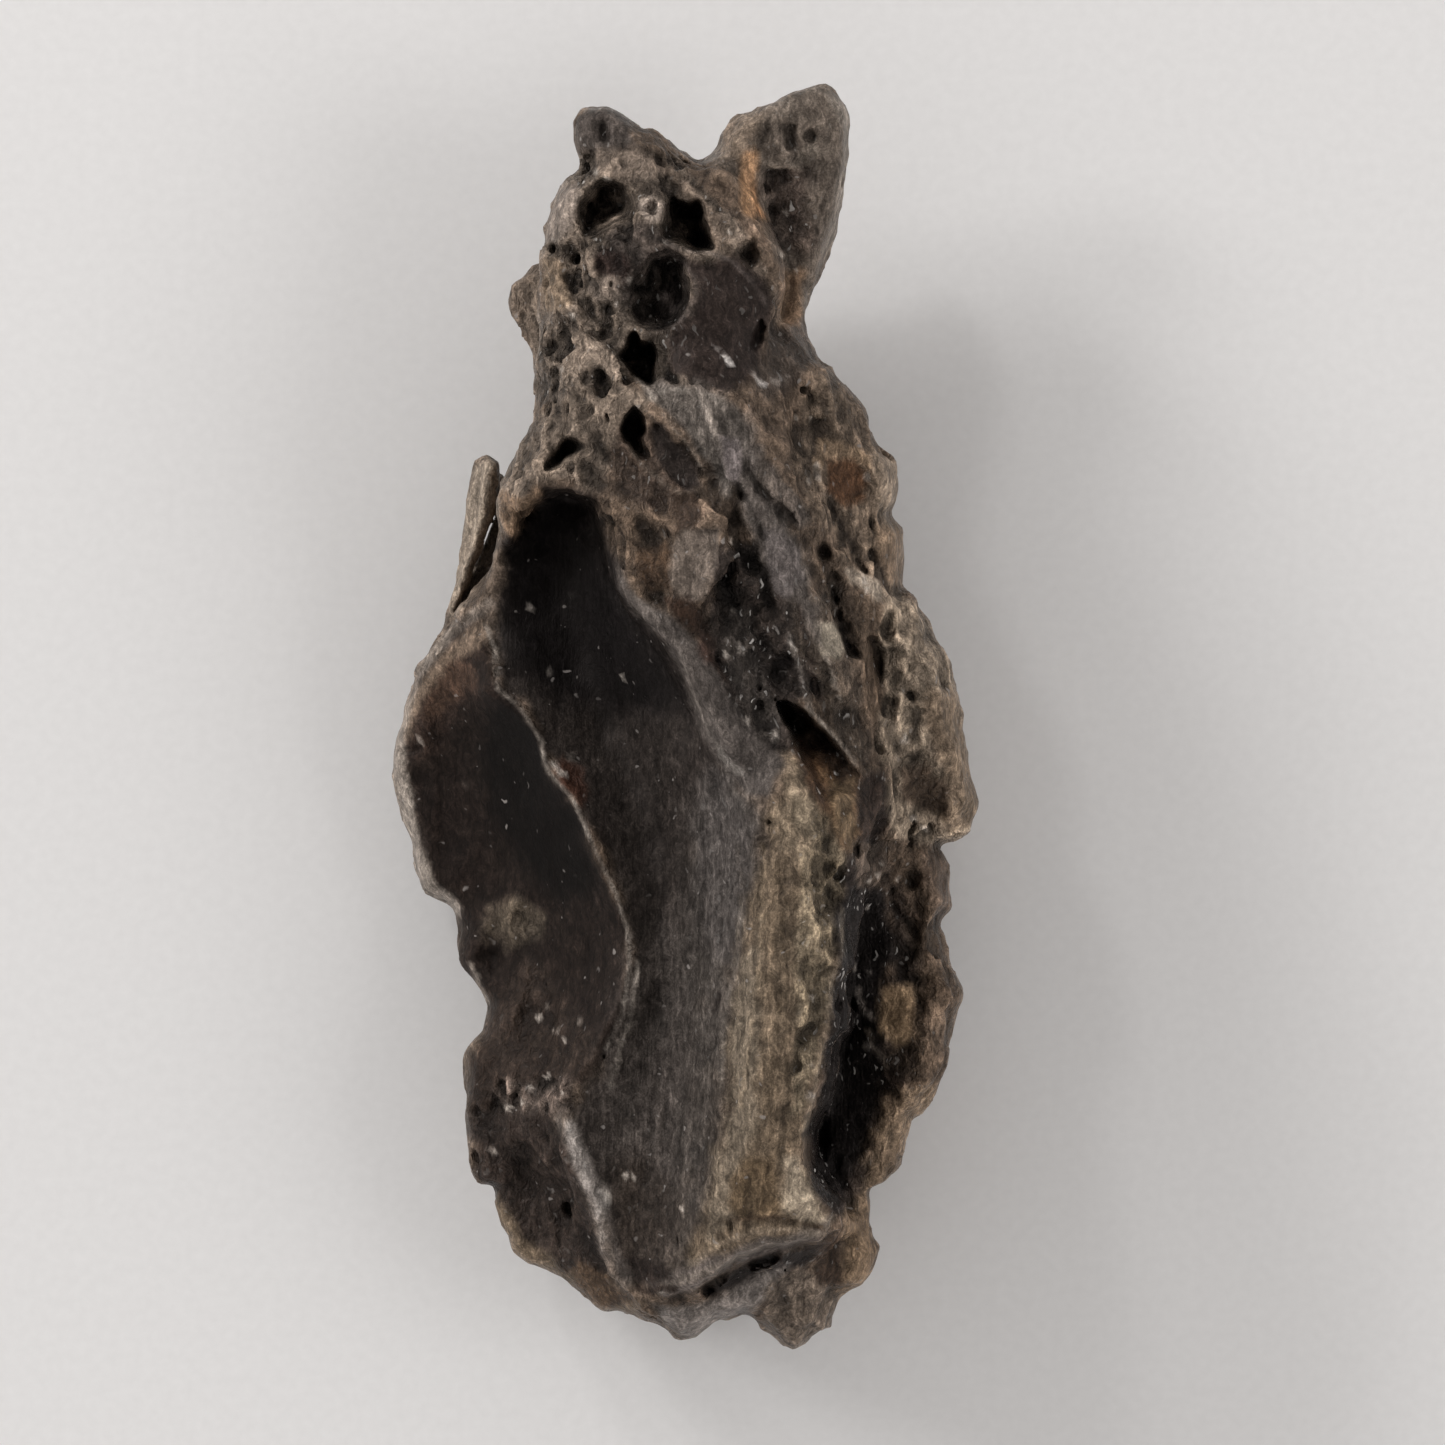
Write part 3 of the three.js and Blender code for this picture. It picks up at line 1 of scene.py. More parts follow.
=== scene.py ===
"""Looks for the Darwin glass specimen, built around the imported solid.

The glass is one natural piece, so it is one mesh. It is made as the solid is: two relief skins are
stretched over lines of known height, the space between them is filled, and the filled space is then worn:
lumps, flow lines, blisters and crevices move or cut its surface on a fine grid of distances.

Shapes are worked out in a working frame, in millimetres, whose +X, +Y and +Z are the solid's. The mesh is
moved into the solid's own frame, in metres, at the end. Colours of three numbers are sRGB, 0 to 255, and
those of four are linear, as shaders take them.
"""

import math

import bpy
import numpy as np
import openvdb
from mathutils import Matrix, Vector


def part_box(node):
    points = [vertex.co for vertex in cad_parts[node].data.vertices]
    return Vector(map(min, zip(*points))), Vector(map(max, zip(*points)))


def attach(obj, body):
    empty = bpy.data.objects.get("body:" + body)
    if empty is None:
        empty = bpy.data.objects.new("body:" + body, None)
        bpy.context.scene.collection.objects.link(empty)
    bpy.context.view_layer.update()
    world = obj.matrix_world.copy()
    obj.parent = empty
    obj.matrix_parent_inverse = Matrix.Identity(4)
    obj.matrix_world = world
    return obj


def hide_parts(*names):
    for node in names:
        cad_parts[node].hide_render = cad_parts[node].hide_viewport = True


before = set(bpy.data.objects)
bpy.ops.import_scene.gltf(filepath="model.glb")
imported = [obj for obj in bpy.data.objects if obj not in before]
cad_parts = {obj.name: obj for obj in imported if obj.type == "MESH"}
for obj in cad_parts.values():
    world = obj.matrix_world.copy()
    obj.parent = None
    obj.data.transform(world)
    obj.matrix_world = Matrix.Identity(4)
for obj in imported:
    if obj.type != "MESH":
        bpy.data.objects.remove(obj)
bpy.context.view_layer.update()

MM = 0.001
NODE = "darwin_glass"

# ---------------------------------------------------------------- the working grid, in millimetres

CELL = 0.12  # spacing of the relief maps and of the grid of distances
ORIGIN = LOW_X, LOW_Y, LOW_Z = -11.52, -23.52, -0.96  # the grid's lowest corner
COUNT_X, COUNT_Y, COUNT_Z = 193, 393, 140
BAND = 7  # cells each side of the surface in which distances are kept

GRID_X = (LOW_X + CELL * np.arange(COUNT_X)).astype(np.float32)
GRID_Y = (LOW_Y + CELL * np.arange(COUNT_Y)).astype(np.float32)
GRID_Z = (LOW_Z + CELL * np.arange(COUNT_Z)).astype(np.float32)

# ---------------------------------------------------------------- how the glass is formed and worn

UPPER_SHOULDER = 0.8  # how far inside the outline the upper skin reaches its full height
UNDER_SHOULDER = 2.4
FLAP_SHOULDER = 0.9
OUTER_FALL = 3  # how steeply the two skins cross outside the outline
UPPER_START, UNDER_START = 10, 2  # heights from which the two skins settle
COARSENINGS = (8, 4, 2, 1)  # a skin is first stretched on a coarse grid, then on finer ones
SETTLING_PASSES, SETTLING_PULL = 90, 1.8  # a pull over 1 overshoots, and so settles sooner
SOFTEN, SOFTEN_PULL = 0.9, 0.7  # how far floors and swells are rounded off, and how gently
HOLLOW_MARGIN = 0.5  # how far past a hollow's outline it is worked out
NOISE_REPEAT, CELL_REPEAT = 32, 16  # how many cells it takes for each kind of noise to repeat
LARGE_FLAKES = ((1.3, 2.4, 1.3), 2)  # flaked facets: spacing across, along and down the flow, and the seed
SMALL_FLAKES = ((0.66, 1.0, 0.66), 7)
WAVINESS = 0.18  # how far the glass's surface wanders from its skins
BEND = 0.28  # how far places are shifted so that cells lose their straight walls
WEAR_REACH = 0.7  # how far from the surface the wear is worked out
BLISTERS = 650
BLISTER_SIZE, LARGEST_BLISTER = 0.1, 0.26
BLISTER_SEED = 11
BLISTER_DRAW = np.array([0.3, -1.0, 0.0])  # the way that blisters are drawn out
TRIANGLES = 190000
FIT = 0.999  # how much of the solid's box the glass may fill

# ---------------------------------------------------------------- the outline: x, y and the rim's height

OUTLINE = [
    (-3.8, 20.1, 8.8), (-3.9, 20.5, 8.9), (-3.9, 21, 9), (-3.8, 21.4, 9), (-3.5, 21.6, 9), (-3, 21.6, 9.1),
    (-2.8, 21.7, 9.2), (-2.4, 21.5, 9), (-2, 21.3, 8.8), (-1.7, 21.1, 8.6), (-1.5, 20.9, 8.3),
    (-1.2, 20.9, 8), (-0.9, 20.8, 7.5), (-0.5, 20.6, 7), (-0.2, 20.3, 6.4), (0.1, 20.1, 5.8),
    (0.4, 19.9, 5.3), (0.7, 19.8, 5), (0.9, 19.9, 5.1), (1.1, 20.1, 5.3), (1.3, 20.3, 5.5),
    (1.4, 20.7, 5.8), (1.5, 20.9, 6), (1.7, 21.2, 6.2), (1.9, 21.4, 6.4), (2.4, 21.6, 6.7), (2.8, 21.8, 7),
    (3.3, 21.9, 7.1), (3.8, 22.2, 7.2), (4.4, 22.4, 7.3), (4.9, 22.5, 7.3), (5.1, 22.5, 7.2),
    (5.4, 22.2, 7), (5.7, 21.9, 6.9), (5.9, 21.5, 6.8), (5.9, 20.9, 6.6), (5.9, 20.2, 6.5),
    (5.8, 19.4, 6.4), (5.7, 18.7, 6.3), (5.5, 18, 6.2), (5.3, 17.2, 6.2), (5, 16.4, 6.2), (4.8, 15.7, 6.2),
    (4.5, 15.2, 6.6), (4.4, 14.6, 7.1), (4.3, 14.1, 7.5), (4.4, 13.6, 7.7), (4.6, 13.2, 7.8),
    (4.7, 12.8, 7.9), (4.9, 12.5, 7.9), (5.1, 12.5, 7.9), (5.4, 12.2, 7.9), (5.8, 11.8, 7.8),
    (6.1, 11.5, 7.6), (6.4, 11.1, 7.4), (6.5, 10.8, 7.3), (6.6, 10.3, 7.2), (6.8, 9.9, 7), (7.1, 9.6, 6.8),
    (7.4, 9.4, 6.6), (7.6, 9.1, 6.4), (7.7, 8.6, 6.2), (7.7, 8.1, 6.2), (7.6, 7.6, 6.2), (7.4, 7.3, 6.2),
    (7.6, 7, 6), (7.8, 6.7, 5.8), (7.8, 6.2, 5.8), (7.7, 5.6, 5.8), (7.7, 5.1, 5.8), (7.7, 4.6, 5.8),
    (8, 4.6, 5.9), (8.3, 4.3, 5.9), (8.4, 3.9, 5.9), (8.7, 3.5, 5.8), (8.9, 3, 5.8), (9.3, 2.5, 5.7),
    (9.5, 2.1, 5.6), (9.6, 1.5, 5.5), (9.8, 0.8, 5.4), (9.9, 0.2, 5.3), (9.9, -0.2, 5.3), (10, -0.6, 5.2),
    (10.1, -1.1, 5), (10.2, -1.6, 5), (10.3, -2.1, 4.9), (10.5, -2.5, 4.8), (10.6, -2.9, 4.8),
    (10.5, -3.3, 4.8), (10.3, -3.6, 4.8), (10.2, -4, 4.8), (9.8, -4.2, 4.8), (9.4, -4.4, 4.9),
    (9.1, -4.5, 4.9), (9.3, -4.9, 4.7), (9.5, -5.3, 4.6), (9.4, -5.9, 4.6), (9.5, -6.3, 4.5),
    (9.6, -6.7, 4.5), (9.3, -6.9, 4.5), (9.2, -7.3, 4.5), (9.3, -7.7, 4.4), (9.4, -8.2, 4.4),
    (9.5, -8.7, 4.4), (9.7, -9.2, 4.3), (9.9, -9.6, 4.3), (9.9, -10, 4.3), (9.7, -10.4, 4.3),
    (9.6, -10.8, 4.3), (9.5, -11.4, 4.3), (9.5, -11.9, 4.3), (9.4, -12.4, 4.3), (9.2, -12.9, 4.3),
    (9, -13.4, 4.3), (8.7, -13.8, 4.3), (8.5, -14.1, 4.3), (8.2, -14.2, 4.4), (8.1, -14.6, 4.4),
    (7.9, -15, 4.3), (7.8, -15.5, 4.3), (7.7, -16, 4.3), (7.4, -16.3, 4.3), (7.1, -16.6, 4.4),
    (6.7, -16.9, 4.4), (6.7, -17.4, 4.4), (6.7, -17.9, 4.4), (6.8, -18.4, 4.3), (7, -18.9, 4.3),
    (6.9, -19.4, 4.2), (6.7, -19.9, 4.2), (6.4, -20.2, 4.2), (5.9, -20.4, 4.3), (5.5, -20.6, 4.3),
    (5.4, -21, 4.1), (5.2, -21.4, 4), (5.2, -21.7, 3.9), (4.8, -21.9, 3.8), (4.5, -22.1, 3.8),
    (4.2, -22.4, 3.7), (3.9, -22.5, 3.7), (3.6, -22.4, 3.7), (3.3, -22.1, 3.9), (2.9, -21.8, 4.2),
    (2.5, -21.4, 4.8), (2.1, -21.2, 5.4), (1.9, -21.3, 5.6), (1.5, -21.4, 5.8), (1.3, -21.3, 6),
    (1, -21.5, 6.1), (0.7, -21.7, 6.2), (0.4, -21.9, 6.2), (0, -22, 6.2), (-0.3, -21.9, 6.3),
    (-0.6, -21.6, 6.4), (-0.9, -21.4, 6.4), (-1.3, -21.3, 6.4), (-1.7, -21.1, 6.4), (-2.2, -21, 6.4),
    (-2.7, -21, 6.3), (-3, -20.9, 6.2), (-3.4, -20.6, 6), (-3.8, -20.3, 5.9), (-4.2, -20, 5.8),
    (-4.5, -19.7, 5.7), (-4.9, -19.5, 5.6), (-5.4, -19.4, 5.5), (-5.8, -19.2, 5.4), (-6.1, -18.9, 5.3),
    (-6.2, -18.5, 5.3), (-6.5, -18.1, 5.3), (-6.7, -17.7, 5.3), (-6.8, -17.3, 5.2), (-6.8, -16.9, 5.1),
    (-6.9, -16.7, 5.1), (-7.2, -16.6, 5.1), (-7.4, -16.6, 5.1), (-7.6, -16.2, 5.1), (-7.7, -15.8, 5.1),
    (-7.7, -15.2, 5.1), (-7.7, -14.5, 5.1), (-7.8, -13.9, 5), (-7.7, -13.3, 4.9), (-7.8, -12.7, 4.8),
    (-7.8, -12.2, 4.7), (-7.7, -11.7, 4.6), (-7.5, -11.5, 4.5), (-7.2, -11.2, 4.3), (-7.1, -10.8, 4.1),
    (-7, -10.2, 3.8), (-7.3, -9.8, 3.6), (-7.6, -9.4, 3.4), (-7.9, -9, 3.1), (-8.1, -8.7, 2.9),
    (-8.1, -8.1, 2.8), (-8, -7.5, 2.7), (-8.2, -6.9, 2.6), (-8.5, -6.6, 2.5), (-8.9, -6.4, 2.4),
    (-9.3, -6.2, 2.3), (-9.5, -5.8, 2.2), (-9.7, -5.3, 2.2), (-9.8, -4.6, 2.3), (-10, -4, 2.4),
    (-10.1, -3.4, 2.5), (-10.3, -2.8, 2.6), (-10.4, -2.2, 2.7), (-10.4, -1.6, 2.9), (-10.3, -0.9, 3.1),
    (-10.1, -0.2, 3.4), (-10, 0.5, 3.8), (-9.7, 1.1, 4.2), (-9.5, 1.7, 4.7), (-9.1, 2.2, 5.1),
    (-8.8, 2.7, 5.5), (-8.4, 3.1, 6), (-8.1, 3.6, 6.5), (-7.6, 4.3, 7.1), (-7.2, 4.9, 7.6), (-6.8, 5.6, 8),
    (-6.6, 6.1, 8.4), (-6.4, 6.7, 8.8), (-6.5, 7.3, 9), (-6.5, 7.9, 9.1), (-6.4, 8.5, 9.1), (-6.1, 9.1, 9),
    (-5.8, 9.7, 9), (-5.4, 10.3, 9), (-5.2, 10.8, 8.8), (-5.1, 11.4, 8.4), (-5.1, 12, 8.2), (-5.2, 12.6, 8),
    (-5, 13.2, 7.9), (-5, 13.8, 7.8), (-5.1, 14.5, 7.8), (-5.2, 15.2, 7.8), (-5.1, 16, 7.9),
    (-4.9, 16.8, 8), (-4.8, 17.5, 8.2), (-4.6, 18.2, 8.4), (-4.4, 18.6, 8.6), (-4.2, 18.9, 8.7),
    (-3.8, 19.1, 8.9), (-3.6, 19.4, 9), (-3.6, 19.7, 8.9),
]

# ---------------------------------------------------------------- relief lines: x, y and height

UPPER_CREASES = {
    "fold_ridge": [(-7.5, 2.9, 7.6), (-7.1, 2.3, 8.2), (-6.8, 1.8, 8.5), (-6.9, 1.1, 8.9), (-6.6, 0.9, 9),
        (-5.9, 0.3, 9.3), (-5.3, -0.3, 9.5), (-4.9, -1.1, 9.7), (-4.5, -1.9, 9.9), (-3.9, -2.8, 10.2),
        (-3.2, -4, 10.4), (-2.7, -5.1, 10.5), (-2.4, -6, 10.6), (-2, -7, 10.7), (-1.9, -8, 10.8),
        (-2, -9.1, 10.8), (-2.2, -10.1, 10.7), (-2.6, -10.9, 10.6), (-3, -11.8, 10.3), (-3.6, -12.5, 10),
        (-4.4, -13.1, 9.5)],
    "trough_lip": [(-6.6, 6.2, 9.5), (-6.1, 6.3, 10.3), (-5.7, 7.6, 11.4), (-4.9, 8.3, 12),
        (-3.9, 8.3, 12.4), (-3.1, 7.8, 12.6), (-2.6, 7, 12.9), (-2.4, 5.8, 13.1), (-2, 4.5, 13.3),
        (-1.3, 3.8, 13.6), (-0.6, 2.9, 13.8), (0.1, 1.9, 14), (0.7, 0.9, 14.1), (1.3, -0.3, 14),
        (1.9, -1.3, 13.8)],
    "trough_foot": [(-6.5, 5.6, 8.3), (-5.8, 6.2, 8.1), (-5.3, 7.5, 8.1), (-4.4, 7.9, 8.1),
        (-3.4, 7.5, 8.4), (-3, 6.5, 8.9), (-2.7, 5.3, 9.3), (-2.4, 4.1, 9.8), (-1.6, 3.2, 10.4),
        (-0.9, 2.1, 10.9), (-0.1, 0.8, 11.3), (0.5, -0.6, 11.7)],
    "band_edge": [(4.5, -2, 14.2), (4.9, -2.9, 14.1), (5.7, -2.9, 13), (6.2, -3.1, 12.7), (6.3, -3.6, 12.7),
        (6, -4.5, 13), (6, -5.7, 13.2), (5.6, -6.6, 13.5), (5.5, -7, 13.6), (5.6, -7.6, 13.8),
        (5.6, -8.6, 13.9), (5.2, -9.2, 13.9), (5.1, -10, 14), (5.4, -10.4, 13.8), (5.4, -10.8, 13.8),
        (5, -11.1, 14), (4.7, -12.1, 13.9), (4.5, -12.7, 13.8), (4.3, -13.9, 13.7), (4.2, -14.8, 13.5),
        (4.1, -15.2, 13.5), (4.5, -16.3, 13.3), (4.9, -16.9, 13.1), (5.2, -17.3, 12.8)],
    "band_foot": [(6.8, -2.5, 11), (7, -3.3, 10), (6.9, -4.2, 9.2), (6.7, -5.2, 8.4), (6.6, -6.1, 7.7),
        (6.3, -7, 7.1), (6.2, -7.9, 6.7), (6.1, -8.7, 6.4), (5.9, -9.4, 6.2), (5.9, -10.1, 6.1),
        (6.1, -10.6, 6.1), (5.7, -11.4, 6), (5.5, -12.2, 5.9), (5.4, -13.1, 5.9), (5.3, -13.8, 5.9),
        (5, -14.5, 5.8), (4.9, -15.2, 5.8), (5.1, -15.9, 5.8), (5.5, -16.5, 5.8), (5.8, -17.4, 5.8)],
    "end_lip": [(5.2, -17.4, 12.8), (4.9, -18.2, 12.5), (3.7, -18.4, 12.6), (2.5, -18.8, 12.3),
        (1.3, -19.4, 11.8), (0.2, -20, 11), (-1, -20.2, 10.2)],
    "end_foot": [(5.9, -18.3, 5.9), (4.9, -18.8, 8), (3.6, -19.2, 8.7), (2.3, -19.7, 8.9),
        (1.1, -20.2, 9.1), (0, -20.4, 9.2)],
    "left_ledge": [(-6.3, 6.2, 9), (-6.6, 5.6, 8.8), (-6.8, 4.9, 8.5), (-7, 4.2, 8.1), (-7.3, 3.9, 7.6),
        (-7.7, 3.5, 7), (-8.2, 3, 6.4)],
    "facet_ridge": [(-4.4, -13.9, 9.3), (-4, -15.2, 9.6), (-3.3, -16.5, 9.7), (-3, -17.4, 9.6),
        (-2.9, -18.6, 9.2), (-2.4, -19.7, 8.9)],
    "plate_edge": [(3.9, 0.6, 13), (5, -0.7, 12.8), (6.3, -1.8, 12.4), (6.5, -2, 11.8)],
    "neck_edge": [(1, 19.5, 10.2), (2.2, 17.8, 10.9), (3.1, 16.6, 10.6), (3.3, 15.2, 10.6), (2.9, 14, 11)],
    "neck_foot": [(1.6, 19.8, 8.6), (2.8, 18.4, 8.2), (3.5, 16.8, 7.8), (3.7, 15.2, 7.6), (3.5, 14.2, 8)],
    "tan_ledge": [(1.4, 7, 14.1), (1.3, 5.6, 14.3), (0.8, 4.3, 14.3)],
    "tan_ledge_foot": [(1.8, 6.9, 13.2), (1.6, 5.4, 13.1), (1.2, 4, 13.2)],
}

UPPER_SWELLS = {
    "trough_floor": [(-4.4, 6.3, 7.7), (-3.9, 4.2, 7.7), (-3, 0.7, 8.2), (-1.6, -2.9, 9.1),
        (-0.6, -6.4, 9.6), (-0.3, -9.9, 9.8), (-0.7, -13.5, 9.6), (-1.3, -16.3, 9.3), (-1.9, -18.4, 9)],
    "trough_shelf": [(1, -2.5, 11.9), (1, -6.4, 11.8), (0.8, -9.9, 11.7), (0.7, -12.8, 11.5),
        (0.4, -15.6, 11.2), (-0.3, -18.3, 10.5)],
    "crest_slope": [(2.2, -2.5, 13.8), (2.2, -5.7, 13.7), (1.9, -8.5, 13.5), (1.5, -11.4, 13.4),
        (1.3, -14.2, 13.3), (0.8, -17, 12.7), (0.2, -19.2, 11.6)],
    "band_top": [(3, -1.8, 14.3), (3.9, -3.9, 14.9), (3.8, -6.4, 14.9), (3.6, -9.2, 14.9),
        (3.2, -12.1, 14.8), (3, -14.9, 14.5), (2.7, -17, 13.9), (1.8, -18.4, 12.9)],
    "wing_floor": [(-8.2, 1, 5.7), (-7.3, -1.5, 5.3), (-6.5, -4.6, 5.4), (-5.5, -7.1, 5.9),
        (-4.4, -9.6, 6.9), (-4.9, -11.7, 7.5)],
    "wing_shoulder": [(-7.6, 2.8, 7.2), (-9, 1, 5.6), (-9.8, -0.9, 4.3), (-9.5, -3.6, 3.8), (-8.7, -5.4, 4),
        (-7.6, -6.6, 4.5), (-7.2, -8, 4.6), (-6.6, -9.9, 5.7), (-7.1, -11.8, 6.1), (-7.3, -14, 6.3),
        (-7.2, -16, 6.2)],
    "wing_hump": [(-6, -7.6, 6.2), (-4.9, -7.3, 6.4)],
    "rough_step": [(-6.5, -13.8, 7.4), (-5.5, -13.2, 8.3), (-4.5, -13.2, 9.2)],
    "low_floor": [(-5.1, -14.9, 7), (-4.4, -16.7, 6.9), (-4, -18.4, 6.9)],
    "low_shoulder": [(-6.5, -16.8, 6.1), (-5.8, -18.3, 6.1), (-4.6, -19.5, 6.4), (-3, -20.3, 7.2),
        (-1.6, -20.6, 8.2)],
    "flake": [(-0.8, -21, 8.7), (0.2, -21.3, 8.4), (1.4, -20.8, 8.9), (2.8, -20, 9), (4.1, -19.4, 8.4)],
    "foot_lobe": [(3, -21.2, 6.2), (4, -21.8, 5.8), (4.7, -21, 6.4), (4.4, -20, 7.4)],
    "side_lobe": [(6.1, -17.5, 6.2), (6.3, -18.8, 6.9), (6, -20, 6.2)],
    "gap_floor": [(6.6, -4.6, 8.3), (6.5, -7.1, 6.6), (6.3, -9.6, 6), (5.9, -12.1, 5.6), (5.7, -14.5, 5.6),
        (5.8, -16.3, 5.6)],
    "lobe_crest": [(7.8, 4.2, 8.6), (8.2, 2.8, 9.2), (8.6, 0.7, 9.2), (9, -1.8, 8.6), (9.3, -3.3, 7.4),
        (8.4, -4.6, 7.2), (8.2, -6.4, 7.4), (8.3, -8.2, 7.2), (8.5, -9.9, 7.6), (8.3, -11.7, 7.8),
        (7.8, -13.1, 7.2), (7.1, -14.9, 6.6), (6.3, -16.5, 6)],
    "lobe_inner": [(7.4, 2.1, 8.9), (7.6, -0.7, 8.9), (7.4, -2.9, 8.3), (7.1, -8.5, 7.2), (7.1, -11.4, 7.2),
        (6.6, -13.8, 6.4)],
    "horn_ridge": [(2.4, 19.8, 8), (3.2, 20.3, 8.5), (4.5, 21.3, 8.3), (5.1, 21.9, 7.9), (5.4, 20.1, 7.9),
        (5, 18.4, 8.1), (4.5, 16.6, 8.1), (4.1, 14.8, 8.3)],
    "horn_hollow": [(3.6, 18.7, 7.9), (3.7, 17.1, 7.5)],
    "neck_top": [(-3.3, 20.9, 10.2), (-2.6, 20.4, 10.6), (-1.6, 19.9, 11), (-0.6, 19.1, 11.2),
        (-1.2, 16.9, 12.2), (-0.6, 14.8, 12.4), (0.2, 12.7, 12.9)],
    "neck_left": [(-4.3, 17.3, 10.2), (-4.5, 15.2, 10.3), (-4.3, 13.4, 10.6), (-4.3, 11.6, 11),
        (-5.3, 9.9, 11.4), (-5.9, 8.5, 11.2)],
    "neck_right": [(1.8, 16.6, 11.8), (2, 14.5, 12), (2.8, 13.1, 11.8), (4.1, 12, 10.9), (5.3, 10.6, 10.3)],
    "knob": [(-4.4, 10.2, 12.7), (-3, 10.6, 12.9), (-2.6, 9.1, 13)],
    "valley": [(-0.2, 9.9, 12.9), (0.2, 8.1, 12.9)],
    "tan_field": [(-1.6, 8.1, 13.2), (-1.4, 6.2, 13.3), (-0.2, 4.9, 13.9), (0.5, 6.7, 14)],
    "grey_back": [(-1, 11.6, 13.5), (0.7, 11.3, 13.9), (2, 9.9, 14), (2.6, 7.7, 13.9), (3.4, 5.6, 13.7),
        (4.4, 3.5, 13.3), (4.6, 1.7, 13.2)],
    "channel": [(2, 4.6, 12.7), (2.1, 2.8, 12.4), (2.1, 1, 12.5), (3, -0.4, 13)],
    "right_fall": [(5.1, 8.8, 10.6), (5.9, 7, 10.2), (6.5, 5.6, 9.4), (6.8, 7.7, 8.6), (6.1, 4.2, 10),
        (5.8, 2.1, 11.5), (6.1, 0, 12)],
}

UNDER_CREASES = {
    "belly_fold": [(-3.4, 9, 1.9), (-1.6, 5, 1.2), (0.4, 0, 0.9), (1.4, -5, 0.8), (1.2, -9, 1.1),
        (-0.4, -13, 1.3)],
    "wing_root": [(-5.6, 2, 2.2), (-5.2, -3, 1.5), (-4.0, -7, 1.3), (-3.6, -10, 1.4)],
}

UNDER_SWELLS = {
    "neck_foot": [(-0.9, 12.4, -1.5), (0.5, 12, -1.8), (1.8, 11.5, -1.5)],
    "lobe_foot": [(7.1, -0.6, -1.5), (7.4, -2.3, -1.8), (7.7, -4, -1.5)],
    "end_foot": [(2.6, -16.5, -1.5), (3.9, -16, -1.8), (5.1, -15.4, -1.5)],
    "wing_foot": [(-5.2, -13, -1.5), (-4, -13.9, -1.8), (-2.9, -14.7, -1.5)],
    "neck": [(-2.2, 19.6, 6.4), (-1.4, 17, 4.6), (-0.6, 14.6, 2.4)],
    "horn": [(4.6, 21, 5.4), (4.4, 18, 4.6), (3.4, 14.8, 3.4)],
    "right_flank": [(6.2, 8, 2.6), (6.6, 4, 1.8)],
    "wing": [(-8.8, -0.5, 1.7), (-8, -5, 1.0), (-6.8, -9, 1.2), (-6.6, -15.5, 2.5)],
    "hollow": [(3.6, 4.5, 2.1), (4.2, -1, 2.3), (4.4, -6.4, 2.2), (4.2, -11, 1.5)],
    "left_hollow": [(-3.4, 1, 2.2), (-2.6, -4, 2.4)],
    "lobe": [(7.4, -8, 1.4), (7, -12, 0.9)],
    "end": [(1, -19, 2.6), (-1.4, -18.4, 3), (3.8, -20.4, 1.9)],
}

# Three thin sheets that stand out low on the left: rise, drop, and the outline with its middle height.
FLAPS = {
    "spear": (0.9, 1.5, [(-7.3, 9.2, 5), (-7, 9.3, 5.2), (-6.5, 9.1, 5.4), (-6.5, 8.5, 5.4),
        (-6.6, 7.7, 5.4), (-6.8, 7, 5.3), (-7.2, 6.2, 5.2), (-7.6, 5.4, 5.1), (-7.8, 4.6, 5),
        (-8, 4.1, 4.9), (-8.2, 3.4, 4.9), (-8.6, 2.8, 4.9), (-8.7, 2.9, 4.8), (-8.5, 3.3, 4.8),
        (-8.4, 3.9, 4.7), (-8.3, 4.4, 4.7), (-8.1, 5, 4.7), (-8, 5.6, 4.7), (-7.9, 6.3, 4.7),
        (-7.9, 6.9, 4.7), (-7.8, 7.5, 4.8), (-7.6, 8.4, 4.9)]),
    "spear_root": (0.5, 1.2, [(-6.8, 8.9, 4), (-6.2, 8.5, 4.2), (-6.1, 7, 4.2), (-6.2, 5.6, 4.2),
        (-6.8, 4.6, 4.2), (-7.6, 3.7, 4.2), (-8.2, 3, 4.3), (-8.2, 3.6, 4.1), (-7.9, 4.5, 4),
        (-7.3, 5.9, 4), (-6.8, 7.3, 4)]),
    "tab": (0.6, 0.9, [(-4.6, 16.6, 5.2), (-5.1, 16.3, 5), (-5.5, 16.1, 4.9), (-5.8, 15.8, 4.8),
        (-6.1, 15.5, 4.7), (-6.2, 15, 4.7), (-6.2, 14.7, 4.7), (-6.1, 14.4, 4.7), (-5.8, 14.1, 4.8),
        (-5.6, 13.7, 4.8), (-5.4, 13.2, 4.8), (-5.4, 12.6, 4.8), (-5.3, 11.9, 4.8), (-5.3, 11.3, 4.8),
        (-5.3, 10.8, 4.9), (-4.8, 10.5, 5.1), (-4.4, 11.3, 5.3), (-4.1, 13.1, 5.4), (-4.2, 14.8, 5.4)]),
}

# The way the glass flowed, as the x of one flow line at each y.
FLOW_Y = (-17, -13.5, -9.9, -6.4, -2.9, 0.7, 6, 10.2, 13.8, 18.4)
FLOW_X = (2.7, 3, 3.6, 3.8, 4.1, 4.1, 3, 1.3, 0.2, -1.6)

